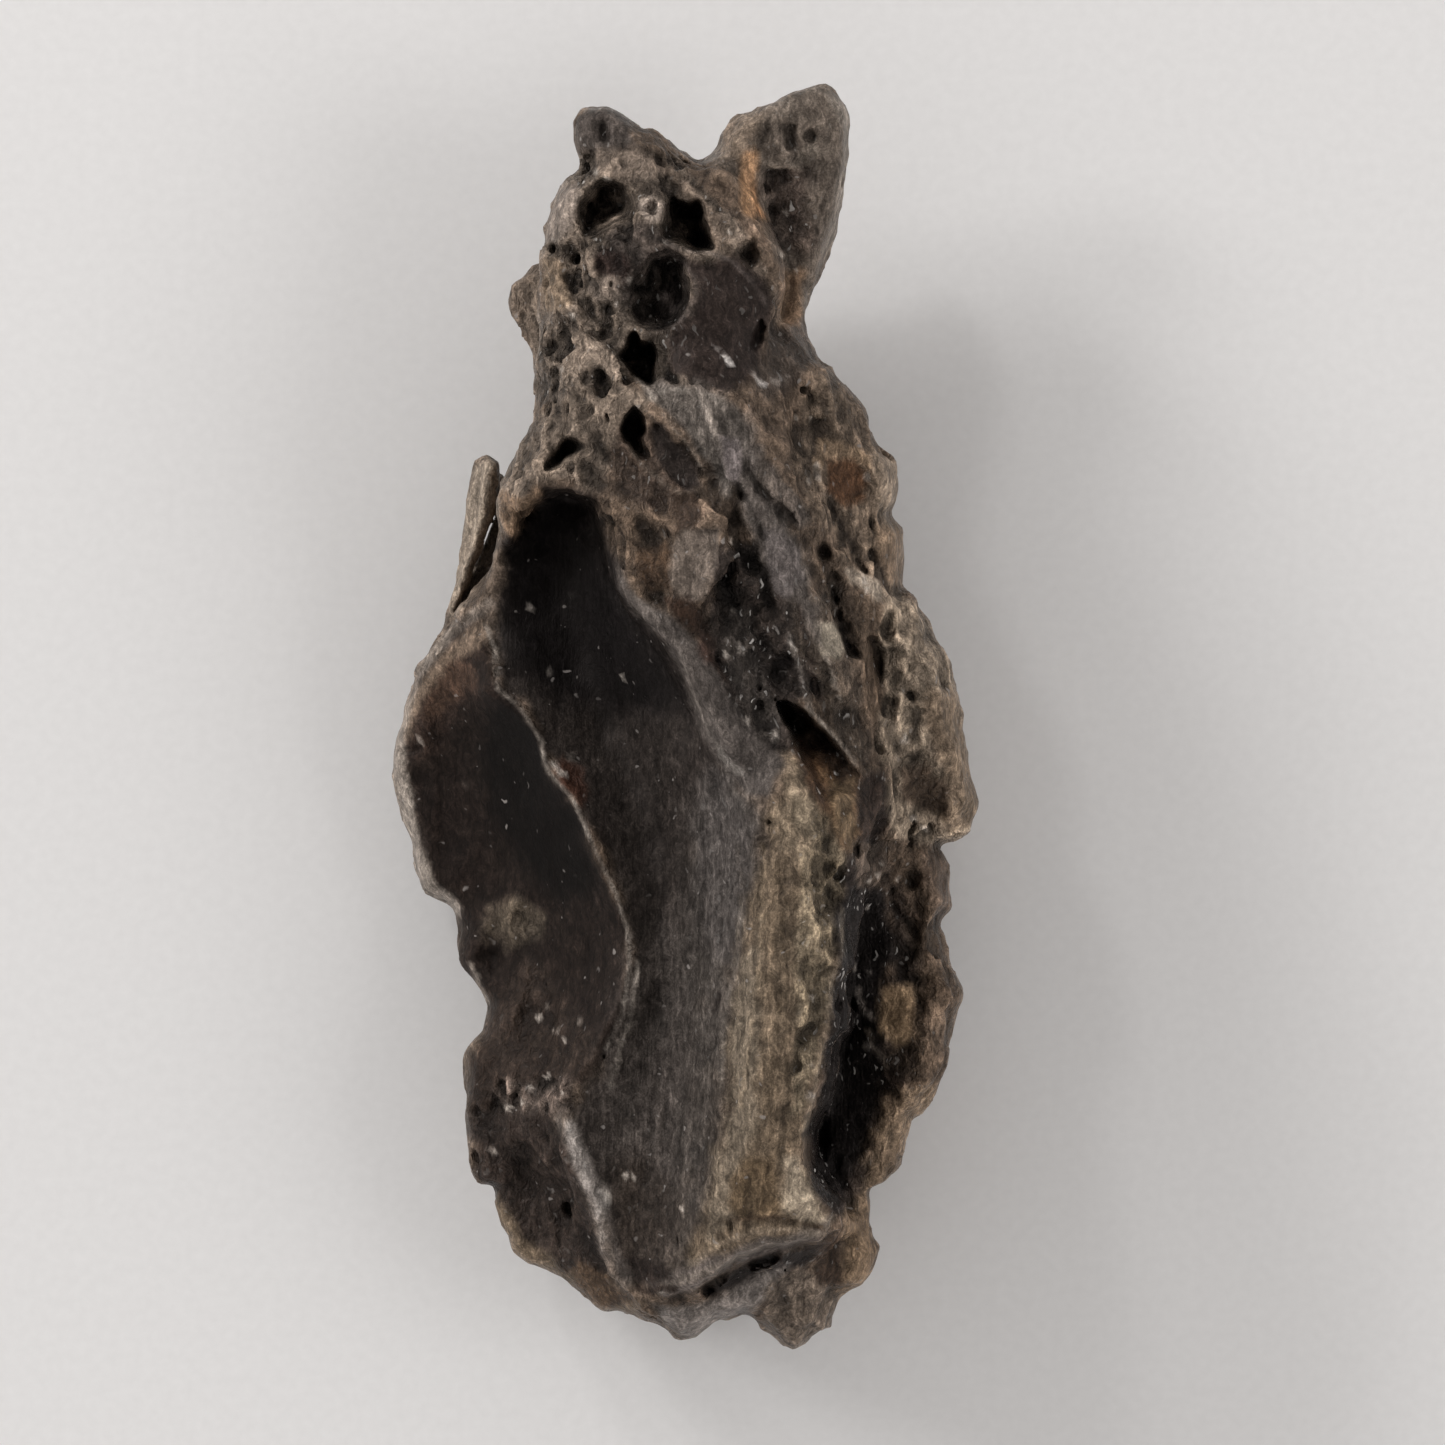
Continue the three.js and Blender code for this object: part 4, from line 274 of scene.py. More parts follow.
# ---------------------------------------------------------------- hollows
# Depth, width of the sloping wall, how much deeper towards +X and +Y, and the outline of the opening.
HOLLOWS = {
    "neck_pit_left": (1.5, 0.55, -0.1, 0.2, [(-2.88, 18.96), (-2.42, 19), (-2, 18.79), (-1.72, 18.43),
        (-1.65, 17.9), (-1.93, 17.51), (-2.42, 17.37), (-2.85, 17.19), (-3.1, 16.98), (-3.48, 17.12),
        (-3.66, 17.58), (-3.59, 18.11), (-3.34, 18.57)]),
    "neck_pit_right": (2.2, 0.4, 0.2, 0, [(-0.41, 18.57), (-0.12, 18.29), (0.27, 18.15), (0.51, 18.25),
        (0.69, 17.83), (0.87, 17.19), (1.04, 16.63), (0.51, 16.49), (-0.02, 16.66), (-0.62, 16.84),
        (-0.73, 17.3), (-0.55, 17.94)]),
    "ribbed_hollow": (1.4, 0.5, 0.2, -0.2, [(-1.04, 16.31), (-0.44, 16.52), (0.02, 16.17), (0.23, 15.46),
        (0.19, 14.68), (-0.09, 14.12), (-0.58, 13.73), (-1.15, 13.66), (-1.65, 13.94), (-1.93, 14.5),
        (-1.72, 15.18), (-1.36, 15.74)]),
    "black_pit": (2.4, 0.25, 0.1, 0.1, [(-2.32, 12.67), (-2.03, 13.05), (-1.89, 13.34), (-1.68, 13.51),
        (-1.43, 13.3), (-1.04, 13.23), (-0.87, 12.88), (-0.9, 12.38), (-1.04, 11.82), (-1.26, 11.71),
        (-1.65, 12.1), (-2, 12.45)]),
    "neck_edge_pit": (0.72, 0.48, 0, 0, [(1.89, 16.45), (2.1, 16.77), (2.46, 16.8), (2.64, 16.45),
        (2.6, 16.06), (2.39, 15.85), (2.14, 16.03), (1.96, 16.17)]),
    "knob_pit": (1.5, 0.4, 0, 0.3, [(-4.76, 8.84), (-4.62, 9.23), (-4.48, 9.62), (-4.16, 9.91), (-3.7, 9.8),
        (-3.38, 9.55), (-3.63, 9.27), (-3.94, 9.06), (-4.3, 8.81)]),
    "middle_pit": (1.3, 0.35, -0.1, 0.2, [(-2.14, 10.15), (-1.96, 10.61), (-1.68, 10.86), (-1.43, 10.61),
        (-1.33, 10.15), (-1.47, 9.83), (-1.22, 9.45), (-1.15, 9.13), (-1.5, 9.13), (-1.79, 9.45),
        (-1.96, 9.73)]),
    "edge_slot": (0.54, 0.4, 0, 0, [(-4.94, 13.02), (-4.58, 13.16), (-4.19, 13.23), (-3.87, 13.05),
        (-4.16, 12.81), (-4.62, 12.74)]),
    "lip_pit": (0.54, 0.4, 0, 0, [(-6.14, 7.15), (-5.85, 7.32), (-5.57, 7.08), (-5.64, 6.79), (-6, 6.86)]),
    "small_black": (0.54, 0.24, 0, 0, [(1.79, 8.24), (1.93, 8.31), (2.07, 8.07), (2.18, 7.71), (2, 7.61),
        (1.86, 7.89)]),
    "slope_pit": (0.6, 0.32, 0, 0, [(4.76, 6.05), (4.97, 6.19), (5.15, 5.87), (5.08, 5.55), (4.86, 5.52),
        (4.72, 5.77)]),
    "lobe_pit": (0.42, 0.32, -0.4, 0, [(7.06, 3.61), (7.27, 3.89), (7.52, 3.82), (7.48, 3.43), (7.34, 3.01),
        (7.13, 2.87), (6.99, 3.22)]),
    "long_crevice": (1.1, 0.3, -0.2, 0, [(5.11, 4.85), (5.36, 4.63), (5.54, 3.93), (5.75, 3.22),
        (5.96, 2.69), (6.17, 2.23), (5.85, 2.26), (5.57, 2.76), (5.4, 3.5), (5.29, 4.21)]),
    "far_crevice": (0.9, 0.3, 0, 0, [(6.56, 2.87), (6.81, 2.79), (7.06, 2.26), (7.2, 1.66), (7.09, 1.06),
        (6.85, 1.13), (6.77, 1.73), (6.67, 2.26)]),
    "top_crevice": (0.6, 0.48, 0.2, 0, [(5.89, 6.58), (6.1, 6.33), (6.14, 5.8), (6.35, 5.45), (6.63, 5.02),
        (6.28, 5.24), (5.96, 5.59), (5.82, 6.16)]),
    "start_crevice": (0.5, 0.4, -0.2, 0.1, [(2.1, 9.59), (2.39, 9.45), (2.39, 8.88), (2.67, 8.42),
        (2.92, 8.1), (3.27, 7.61), (3.73, 7.11), (3.94, 6.72), (3.48, 6.93), (2.99, 7.39), (2.56, 7.89),
        (2.28, 8.38), (2.03, 8.6)]),
    "slope_slot_low": (0.42, 0.24, 0, 0, [(2.56, 6.83), (2.74, 6.69), (2.95, 6.33), (2.81, 6.23),
        (2.6, 6.47)]),
    "neck_slot": (0.54, 0.32, 0, 0, [(2.78, 14.04), (2.88, 13.76), (2.78, 13.37), (2.56, 12.98),
        (2.42, 13.05), (2.56, 13.55)]),
    "wedge": (1.6, 0.35, -0.4, 0.5, [(3.27, 0.67), (3.73, 0.6), (4.09, 0.35), (4.51, 0.04), (4.86, -0.32),
        (5.32, -0.74), (5.78, -1.34), (6.21, -1.77), (6.35, -2.02), (6.07, -2.44), (5.64, -2.65),
        (5.29, -2.87), (4.94, -3.01), (4.72, -2.51), (4.44, -1.88), (4.05, -1.1), (3.59, -0.18)]),
    "gap_notch": (0.8, 0.45, -0.2, 0, [(4.33, -13.9), (4.65, -13.69), (4.97, -13.9), (5.18, -14.33),
        (5.22, -14.96), (5.04, -15.67), (4.72, -15.92), (4.37, -15.53), (4.19, -15.14), (4.23, -14.75)]),
    "facet_slot_top": (0.42, 0.48, 0, 0, [(7.38, -8.63), (7.8, -8.38), (8.19, -8.88), (8.4, -9.41),
        (8.58, -9.94), (8.54, -10.4), (8.23, -10.26), (7.94, -9.59), (7.52, -9.16)]),
    "lobe_square": (0.48, 0.4, 0, 0, [(7.77, -5.34), (8.15, -5.2), (8.4, -5.55), (8.44, -6.05),
        (8.05, -6.16), (7.8, -5.91)]),
    "lobe_long": (0.48, 0.4, 0, 0, [(7.34, -5.7), (7.55, -5.91), (7.55, -6.4), (7.84, -6.72), (8.4, -7.25),
        (8.54, -8.03), (8.19, -8.03), (7.87, -7.46), (7.48, -6.93), (7.27, -6.4)]),
    "lobe_hollow": (0.3, 0.9, 0.2, -0.2, [(7.62, -2.26), (8.26, -1.98), (9.04, -2.3), (9.39, -3.04),
        (9.25, -3.57), (8.61, -3.68), (8.05, -3.5), (7.66, -2.9)]),
    "horn_hollow": (0.35, 1, -0.3, 0, [(2.67, 19.07), (3.02, 19.35), (3.56, 19.42), (4.09, 19.56),
        (4.58, 19.49), (4.65, 19.14), (4.51, 18.5), (4.55, 17.83), (4.44, 17.02), (4.09, 16.73),
        (3.52, 16.7), (3.1, 16.88), (2.81, 17.44), (2.64, 18.18)]),
    "horn_slot": (0.42, 0.32, 0, 0, [(3.52, 20.98), (3.91, 21.05), (4.02, 20.27), (3.66, 20.13)]),
    "horn_pit": (0.36, 0.4, 0, 0, [(4.23, 20.8), (4.58, 20.91), (4.79, 20.62), (4.62, 20.34),
        (4.3, 20.55)]),
    "horn_crescent": (0.3, 0.19, 0, 0, [(3.06, 21.16), (3.13, 20.98), (2.88, 20.48), (2.67, 20.06),
        (2.56, 20.09), (2.74, 20.55)]),
    "left_horn_slot": (0.6, 0.4, 0, 0, [(-3.02, 21.05), (-2.67, 21.12), (-2.6, 20.48), (-2.6, 20.2),
        (-2.99, 20.24)]),
    "end_slot": (1.55, 0.3, 0, 0.1, [(0.55, -20.02), (0.97, -19.6), (1.5, -19.17), (1.96, -18.79),
        (2.39, -18.64), (3.2, -18.43), (4.09, -18.29), (4.65, -18.33), (4.3, -18.61), (3.56, -18.82),
        (3.02, -19.14), (2.49, -19.32), (1.89, -19.56), (1.33, -19.92), (0.76, -20.17)]),
    "root_slot": (0.4, 0.8, 0, 0, [(-6.88, -8), (-6.53, -7.75), (-6.21, -8), (-6.31, -8.53), (-6.56, -9.16),
        (-6.88, -9.13), (-7.16, -8.7), (-7.34, -8.35)]),
    "fold_crack": (0.3, 0.24, 0, 0, [(-1.82, -8.6), (-1.68, -8.74), (-1.82, -9.59), (-2.07, -10.37),
        (-2.39, -11.14), (-2.71, -11.92), (-2.99, -12.35), (-3.13, -12.13), (-2.74, -11.29), (-2.39, -10.4),
        (-2.1, -9.52)]),
    "wing_line": (0.1, 0.19, 0, 0, [(-9.99, -1.13), (-9.53, -1.03), (-9.32, -0.99), (-9.71, -1.2)]),
    "foot_rib_a": (0.48, 0.32, 0, 0, [(3.13, -19.56), (3.34, -19.56), (3.59, -20.2), (3.87, -20.77),
        (3.66, -20.77), (3.31, -20.27)]),
    "foot_rib_b": (0.48, 0.32, 0, 0, [(3.59, -19.42), (3.84, -19.63), (4.09, -20.2), (4.3, -20.7),
        (4.09, -20.62), (3.77, -20.06)]),
    "foot_rib_c": (0.36, 0.32, 0, 0, [(2.67, -20.55), (2.88, -20.84), (3.06, -21.4), (3.24, -21.83),
        (2.95, -21.62), (2.67, -21.05)]),
    "rust_hollow": (0.3, 1.12, 0, 0, [(5.01, 9.23), (5.43, 9.38), (6.07, 9.3), (6.49, 8.88), (6.63, 8.24),
        (6.49, 7.64), (5.78, 7.46), (5.15, 7.75), (4.94, 8.46)]),
}

# Small pale spots, partly painted glints and partly pale specks of dust on the glass: x, y, half width,
# half length, and the turn about Z in degrees.
SPECKS_AND_GLINTS = [
    (-5.36, 4.03, 0.1, 0.11, 0), (-4.79, 1.73, 0.12, 0.11, 0), (-2.14, 1.52, 0.1, 0.19, 30),
    (-4.02, 4.42, 0.1, 0.22, 20), (-4.51, -1.59, 0.22, 0.1, -30), (-4.33, -1.91, 0.1, 0.16, 20),
    (-3.91, -1.27, 0.1, 0.13, -20), (-2.71, 2.79, 0.07, 0.22, 5), (-3.06, 19.25, 0.14, 0.1, 0),
    (-2.71, 19.03, 0.13, 0.11, 0), (-0.62, 16.73, 0.08, 0.16, 30), (-1.86, 15.42, 0.16, 0.16, 0),
    (-3.87, 14.19, 0.13, 0.16, 20), (-2.32, 14.54, 0.07, 0.19, 15), (-4.23, 12.28, 0.1, 0.16, -10),
    (1.61, 17.16, 0.1, 0.13, 0), (3.02, 15.81, 0.13, 0.1, 0), (3.48, 16.42, 0.13, 0.16, 0),
    (4.02, 15.81, 0.07, 0.19, 0), (3.66, 17.94, 0.1, 0.16, 0), (3.98, 10.58, 0.08, 0.19, 15),
    (4.51, 10.58, 0.1, 0.13, 0), (4.72, 8.92, 0.1, 0.22, -25), (4.79, 8.6, 0.13, 0.13, 0),
    (4.44, 8.38, 0.07, 0.22, 0), (6.53, 8.56, 0.1, 0.13, 0), (1.72, 6.23, 0.16, 0.1, 0),
    (1.79, 3.79, 0.08, 0.25, 10), (2, 2.44, 0.1, 0.13, 0), (1.54, 2.26, 0.1, 0.16, 0),
    (2.18, 1.27, 0.1, 0.13, 0), (2.28, -0.04, 0.1, 0.22, 0), (3.24, -0.5, 0.1, 0.19, 0),
    (6.39, 4.92, 0.13, 0.16, 0), (6.49, 4.56, 0.13, 0.16, 0), (7.73, 1.03, 0.19, 0.1, 50),
    (7.84, -0.67, 0.13, 0.19, 0), (8.12, -3.5, 0.19, 0.13, 0), (8.58, -3.86, 0.16, 0.13, 0),
    (7.06, -5.06, 0.13, 0.13, 0), (6.92, -5.52, 0.16, 0.1, 0), (6.56, -5.7, 0.13, 0.1, 0),
    (6.53, -6.69, 0.13, 0.1, 0), (7.59, -5.7, 0.1, 0.13, 0), (6.63, -8.7, 0.07, 0.29, 3),
    (6.24, -9.94, 0.07, 0.25, 8), (6.49, -10.4, 0.07, 0.22, 45), (4.51, -9.69, 0.13, 0.1, 0),
    (4.62, -11, 0.13, 0.1, 0), (4.48, -11.99, 0.16, 0.1, 0), (-9.36, -0.78, 0.22, 0.13, -40),
    (-7.87, -2.3, 0.1, 0.13, 30), (-5.08, -10.54, 0.13, 0.16, -10), (-3.66, -10.65, 0.1, 0.16, 0),
    (-5.4, -13.02, 0.13, 0.16, 25), (-6.24, -13.76, 0.16, 0.16, 0), (-4.23, -13.12, 0.1, 0.19, -15),
    (-2.74, -16.66, 0.13, 0.35, 10), (-1.75, -16.13, 0.13, 0.1, 0), (-0.05, -17.19, 0.1, 0.19, 10),
    (-0.73, -20.2, 0.16, 0.08, 15), (-5.18, -10.54, 0.11, 0.19, 10), (-4.86, -10.22, 0.08, 0.11, 0),
    (-4.51, -11, 0.1, 0.11, 20), (-4.23, -11.39, 0.09, 0.14, -20), (-6.14, -13.8, 0.22, 0.1, 20),
    (-5.68, -13.58, 0.13, 0.08, 10), (-5.36, -13.12, 0.1, 0.16, 30), (-4.79, -12.63, 0.1, 0.19, -30),
    (-6.7, -15.42, 0.16, 0.16, 0), (-2, -16.03, 0.08, 0.16, -30), (6.53, -11.57, 0.15, 0.25, -20),
    (4.51, -13.12, 0.17, 0.19, 30), (6.1, -8.81, 0.1, 0.25, -10),
]

# ---------------------------------------------------------------- the look of each region, from above

SURFACE = ("relief", "gloss", "flow", "holes")  # a region's surface values; gloss is the roughness, and where it is low the shader also paints glints

# Name, colour, surface values, soft edge in millimetres, and outline. Later regions lie over earlier ones.
REGIONS = [
    ("wing", (28, 22, 19), 0.1, 0.6, 0.35, 0.03, 0.5, [(-9.7, 1.4), (-8.1, 3.1), (-6.9, 4), (-7.1, 3.1),
        (-6.6, 2.3), (-6.5, 1), (-5.7, 0.4), (-5, -0.8), (-4.7, -1.9), (-3.8, -2.9), (-3.1, -4.5),
        (-2.4, -6.1), (-1.9, -7.5), (-1.9, -8.8), (-2.1, -10.4), (-2.7, -11.6), (-3.5, -12.5),
        (-4.5, -13.1), (-5.8, -13.3), (-6.6, -13.7), (-7.6, -13.8), (-7.8, -12.1), (-7.1, -11.2),
        (-6.9, -10.1), (-8, -8.7), (-8.1, -6.8), (-9.4, -5.7), (-9.7, -3.8), (-10.3, -1.6), (-10.1, -0.1)]),
    ("wing_brown", (44, 34, 29), 0.3, 0.42, 0.3, 0.05, 0.8, [(-9.9, 0.7), (-8.3, 2.8), (-7.2, 3.4),
        (-7, 2.1), (-7.5, 0.7), (-8.6, -0.7), (-9.5, -1.6), (-10.1, -0.9)]),
    ("wing_black", (9, 7, 6), 0.06, 0.62, 0.3, 0.02, 1, [(-7.2, -0.7), (-6.4, 0.5), (-5.6, 0.1), (-5, -0.9),
        (-4.7, -2), (-3.9, -3), (-3.1, -4.6), (-2.8, -6), (-4.4, -6.4), (-5.8, -5), (-6.9, -3.6),
        (-7.3, -2.2)]),
    ("wing_olive", (76, 67, 57), 0.3, 0.45, 0.2, 0.1, 0.5, [(-7, -6.6), (-5.8, -6.3), (-4.8, -6.9),
        (-4.9, -8), (-6.2, -8.2), (-7, -7.6)]),
    ("wing_low", (42, 34, 29), 0.3, 0.45, 0.4, 0.1, 0.9, [(-7, -10.3), (-5.5, -8.5), (-4.1, -9.9),
        (-3, -11.4), (-3.5, -12.5), (-4.8, -13.1), (-6.5, -13.5), (-7.6, -13.7), (-7.7, -12.1)]),
    ("lumps", (88, 77, 70), 1, 0.4, 0.2, 0.3, 0.4, [(-6.7, -12.7), (-5.1, -12.5), (-3.9, -12.8),
        (-3.9, -13.9), (-5.8, -14.3), (-6.7, -14.1)]),
    ("low_left", (44, 37, 33), 0.45, 0.4, 0.3, 0.2, 0.5, [(-7.7, -14), (-4.4, -13.8), (-3.8, -15.2),
        (-3, -17.5), (-2.6, -19.8), (-1.6, -21), (-3, -20.8), (-4.2, -20), (-5.7, -19.2), (-6.4, -18.4),
        (-6.9, -17), (-7.6, -16.5)]),
    ("low_left_edge", (96, 83, 69), 0.25, 0.42, 0.2, 0.2, 0.35, [(-6.9, -16.8), (-5.8, -18.3),
        (-4.4, -19.4), (-2.6, -20.3), (-1.4, -20.6), (-1.6, -21.1), (-3, -20.9), (-4.2, -20.1),
        (-5.7, -19.4), (-6.5, -18.4)]),
    # painted sheen on the smooth facet by the lower ridge
    ("facet_face", (140, 132, 126), 0.15, 0.34, 0.4, 0.1, 0.3, [(-4.3, -14), (-3.5, -14.2), (-3.1, -15.2),
        (-2.8, -16.7), (-2.6, -18.4), (-2.9, -18.8), (-3.3, -17), (-3.9, -15.6)]),
    ("trough", (43, 38, 35), 0.06, 0.46, 0.6, 0.01, 0.35, [(-6.5, 6.2), (-6.1, 6.5), (-5.6, 7.6),
        (-4.9, 8.2), (-3.9, 8.2), (-3.1, 7.7), (-2.6, 6.7), (-2.3, 5.4), (-1.9, 4.2), (-1.2, 3.5),
        (-0.4, 2.6), (0.3, 1.6), (0.8, 0.5), (1.3, -0.7), (1, -2.9), (0.8, -6.4), (0.5, -9.9), (0.4, -13.5),
        (0, -16.3), (-0.6, -18.4), (-1, -20), (-2.3, -19.7), (-2.7, -18.1), (-3, -16.7), (-3.3, -15.2),
        (-3.9, -14), (-3, -12.6), (-2.3, -11), (-1.8, -9.4), (-1.7, -7.8), (-2.2, -6), (-3, -4.3),
        (-3.8, -2.7), (-4.5, -1.6), (-4.9, -0.6), (-5.6, 0.7), (-6.4, 1.2), (-6.5, 2.6), (-7, 3.3),
        (-6.7, 4.2), (-6.5, 5.3)]),
    # painted shadow of the lip over the trough's top, with a painted dark reflection
    ("trough_top", (12, 10, 10), 0.06, 0.5, 0.4, 0.01, 1.8, [(-6.4, 5.6), (-5.5, 7.4), (-4.4, 8),
        (-3.2, 7.6), (-2.6, 5.6), (-1.6, 3.3), (0.2, 0.7), (-1.6, 0), (-4.4, 0.7), (-6.4, 2.1)]),
    ("fold_stain", (66, 46, 38), 0.3, 0.34, 0.3, 0.05, 0.25, [(-4.7, -1.7), (-4.2, -1.4), (-3.7, -1.7),
        (-3.3, -2.6), (-3.6, -3.1), (-4.1, -2.5)]),
    # painted reflection: the trough lighter towards its lower end
    ("trough_low", (66, 60, 56), 0.12, 0.42, 0.8, 0.01, 2.2, [(-1.9, -8.5), (0.2, -6.4), (1.3, -7.5),
        (1.3, -11.4), (1.1, -14.2), (0.7, -16.7), (-0.4, -19.2), (-1.6, -19.6), (-2.7, -17), (-3.1, -13.8),
        (-2.4, -11.7)]),
    ("trough_foot", (54, 47, 42), 0.2, 0.4, 0.6, 0.02, 1, [(-2.8, -16), (-1.6, -15.2), (-0.3, -16.3),
        (0, -17.7), (-0.6, -19.2), (-1.6, -19.7), (-2.4, -18.8)]),
    # grey dust on the slope, with painted sheen from the lights
    ("haze", (62, 57, 53), 0.12, 0.4, 1, 0.04, 1.8, [(0.8, -2.5), (2, -2.7), (2.7, -3.4), (2.7, -5),
        (2.2, -7.1), (1.9, -9.2), (1.6, -11.7), (1.4, -13.5), (1.1, -15.6), (0.7, -17.5), (0.2, -19.2),
        (-0.4, -19.4), (0, -16.3), (0.2, -12.8), (0.3, -9.2), (0.4, -5.7), (0.5, -3.6)]),
    # grey dust on the ridge face, with painted sheen from the lights
    ("ridge_grey", (68, 63, 60), 0.1, 0.4, 1, 0.02, 0.8, [(0.6, -2.2), (1.5, -1.7), (2.2, -2.9),
        (2.5, -4.6), (2.2, -7.1), (1.9, -8.5), (1.1, -8.5), (0.7, -6.4), (0.5, -3.9)]),
    ("band", (95, 82, 68), 0.3, 0.5, 1, 0.1, 0.45, [(3.6, -1.2), (4.3, -1.5), (4.9, -2.6), (5.7, -3),
        (6.1, -3.5), (5.9, -4.6), (5.7, -6.4), (5.4, -8.5), (5.1, -10.3), (4.9, -12.1), (4.4, -13.8),
        (4.2, -15.2), (4.6, -16.3), (5.1, -17.5), (4.6, -18), (0.5, -19.3), (-0.1, -18.9), (0.6, -17.5),
        (1.1, -15.8), (1.4, -13.7), (1.6, -11.7), (1.9, -9.9), (2.1, -7.8), (2.5, -6), (2.9, -4.6),
        (3.2, -3.2), (3.4, -2.1)]),
    ("band_pale", (103, 92, 79), 0.15, 0.42, 0.9, 0.03, 0.35, [(1.9, -8.5), (2.7, -7.5), (2.8, -10.3),
        (2.7, -13.1), (2.2, -15.6), (1.6, -17.8), (0.7, -18.4), (1, -16.7), (1.5, -13.8), (1.8, -11.4)]),
    ("band_crust", (108, 96, 80), 0.75, 0.33, 0.7, 0.35, 0.25, [(4.1, -2.9), (5.6, -3.3), (5.7, -5),
        (5.5, -7.5), (5, -10.3), (4.3, -13.8), (3.7, -13.9), (3.9, -10.3), (4.1, -6.4)]),
    ("band_up", (114, 100, 84), 0.4, 0.42, 0.8, 0.1, 0.4, [(3.5, -1.2), (4.1, -1.6), (4.8, -2.9),
        (4.6, -4.3), (3.7, -4.6), (3.4, -3.2)]),
    # cream glass with painted light on it
    ("band_bright", (152, 138, 120), 0.35, 0.45, 0.6, 0.1, 0.4, [(3.5, -15.1), (4.1, -15.2), (4.5, -16.3),
        (5.2, -17.4), (5, -18.1), (4.1, -17.9), (3.6, -17)]),
    ("end_rim", (88, 80, 75), 0.2, 0.4, 0.3, 0.05, 0.25, [(0.2, -19.2), (2, -18.4), (4.1, -17.8),
        (5.2, -17.4), (4.9, -18.3), (3.6, -18.7), (2, -19.2), (0.5, -20), (-0.7, -20.4), (-1, -19.8)]),
    # painted shade in the end slot
    ("end_slot", (28, 24, 22), 0.3, 0.35, 0.2, 0.05, 0.25, [(0.5, -20.2), (2.1, -19.3), (4.1, -18.7),
        (5.3, -18.3), (5.9, -18.6), (4.1, -19.3), (2.3, -20), (1, -20.5)]),
    ("flake", (102, 95, 90), 0.2, 0.4, 0.5, 0.05, 0.25, [(-1.2, -20.6), (0.2, -20.6), (2, -20),
        (3.7, -19.3), (2.8, -20.6), (2.1, -21.2), (1.3, -21.5), (0.3, -22), (-0.7, -21.5)]),
    ("foot", (88, 78, 69), 0.5, 0.42, 1, 0.1, 0.3, [(3, -20.2), (4.1, -19.5), (5.3, -20.2), (5.4, -21.4),
        (4, -22.6), (3, -22)]),
    ("side_lobe", (113, 95, 77), 0.4, 0.42, 0.2, 0.08, 0.3, [(5.7, -16.8), (6.7, -16.7), (6.7, -17.9),
        (7, -18.9), (6.8, -20), (5.9, -20.6), (5.4, -20.2), (5.6, -18.4)]),
    ("side_dark", (48, 38, 31), 0.3, 0.38, 0.6, 0.1, 0.3, [(4.6, -18.4), (5.7, -17.9), (5.6, -20.1),
        (4.9, -20)]),
    # dark glass deepened by painted shade in the gap
    ("gap", (38, 33, 31), 0.4, 0.2, 0.5, 0.12, 0.35, [(5.9, -3.4), (6.6, -2.9), (6.9, -4.6), (6.7, -7.1),
        (6.5, -9.6), (6.3, -12.1), (6.1, -14.5), (6.1, -16.5), (5.7, -17.5), (5.2, -17.4), (4.6, -16),
        (4.5, -14.9), (4.9, -12.8), (5.2, -10.3), (5.6, -8.2), (5.7, -5.7)]),
    ("spear", (124, 111, 97), 0.2, 0.4, 0.5, 0.05, 0.25, [(-7.4, 9.2), (-6.8, 9.3), (-6.5, 8.8), (-6.6, 7),
        (-7.1, 5.6), (-7.7, 4.2), (-8.3, 3.6), (-8.4, 4.2), (-7.9, 6.3), (-7.8, 8.1)]),
    ("lobe_up", (130, 116, 101), 0.8, 0.42, 0.5, 0.05, 0.4, [(6.5, 4.2), (7.8, 4.7), (8.5, 4), (9.5, 2.3),
        (10, 0.5), (10.3, -1.5), (10.7, -2.9), (10.3, -4.1), (9.2, -4.6), (7.6, -4.3), (7.1, -2.5),
        (6.9, 0), (6.6, 2.4)]),
    ("lobe_mid", (82, 69, 58), 0.8, 0.38, 0.6, 0.06, 0.4, [(7.1, -4.5), (9.2, -4.5), (9.6, -6.6),
        (9.6, -8.3), (10, -9.7), (9.6, -11.2), (9.5, -12.4), (7.6, -13.5), (6.6, -14.2), (6.5, -12.1),
        (6.6, -9.6), (6.8, -7.1)]),
    ("gap_fringe", (54, 46, 41), 0.6, 0.3, 0.6, 0.1, 0.9, [(7.1, -5.7), (8, -6.4), (8.3, -8.5), (8, -10.6),
        (7.8, -12.8), (7.4, -14.5), (6.7, -16.3), (6, -17.4), (5.7, -16.7), (6.3, -15.2), (6.8, -13.8),
        (7.1, -12.1), (7.1, -9.9), (7.3, -7.8)]),
    # painted shade over the gap and the near side of the lobe
    ("gap_dark", (30, 27, 26), 0.3, 0.2, 0.9, 0.02, 0.4, [(5.4, -6.4), (6.3, -5.7), (7.2, -6), (7.5, -8.2),
        (7.2, -10.3), (7.1, -12.4), (6.7, -14.2), (6.2, -15.6), (5.6, -16.9), (5, -17.2), (4.5, -16.3),
        (4.4, -14.5), (4.9, -12.8), (5.1, -11.4), (5.4, -8.9)]),
    ("lobe_patch", (150, 126, 100), 0.3, 0.42, 0.3, 0.1, 0.3, [(6.8, -9.3), (8.2, -9.4), (8.3, -11.3),
        (7.6, -11.8), (7, -11)]),
    ("lobe_low", (122, 104, 86), 0.55, 0.4, 0.6, 0.05, 0.4, [(7.3, -13.3), (9.3, -12.8), (8.8, -14.2),
        (7.8, -15.6), (6.8, -16.9), (6.3, -17.3), (6.5, -15.7), (6.8, -14.5)]),
    # painted shade in the wedge crevice, darkest at the top; the next two regions are its lighter lower
    # part
    ("wedge", (50, 39, 31), 0.25, 0.3, 0.6, 0.05, 0.3, [(3.3, 0.6), (4.1, 0.5), (5.1, -0.7), (6.1, -1.8),
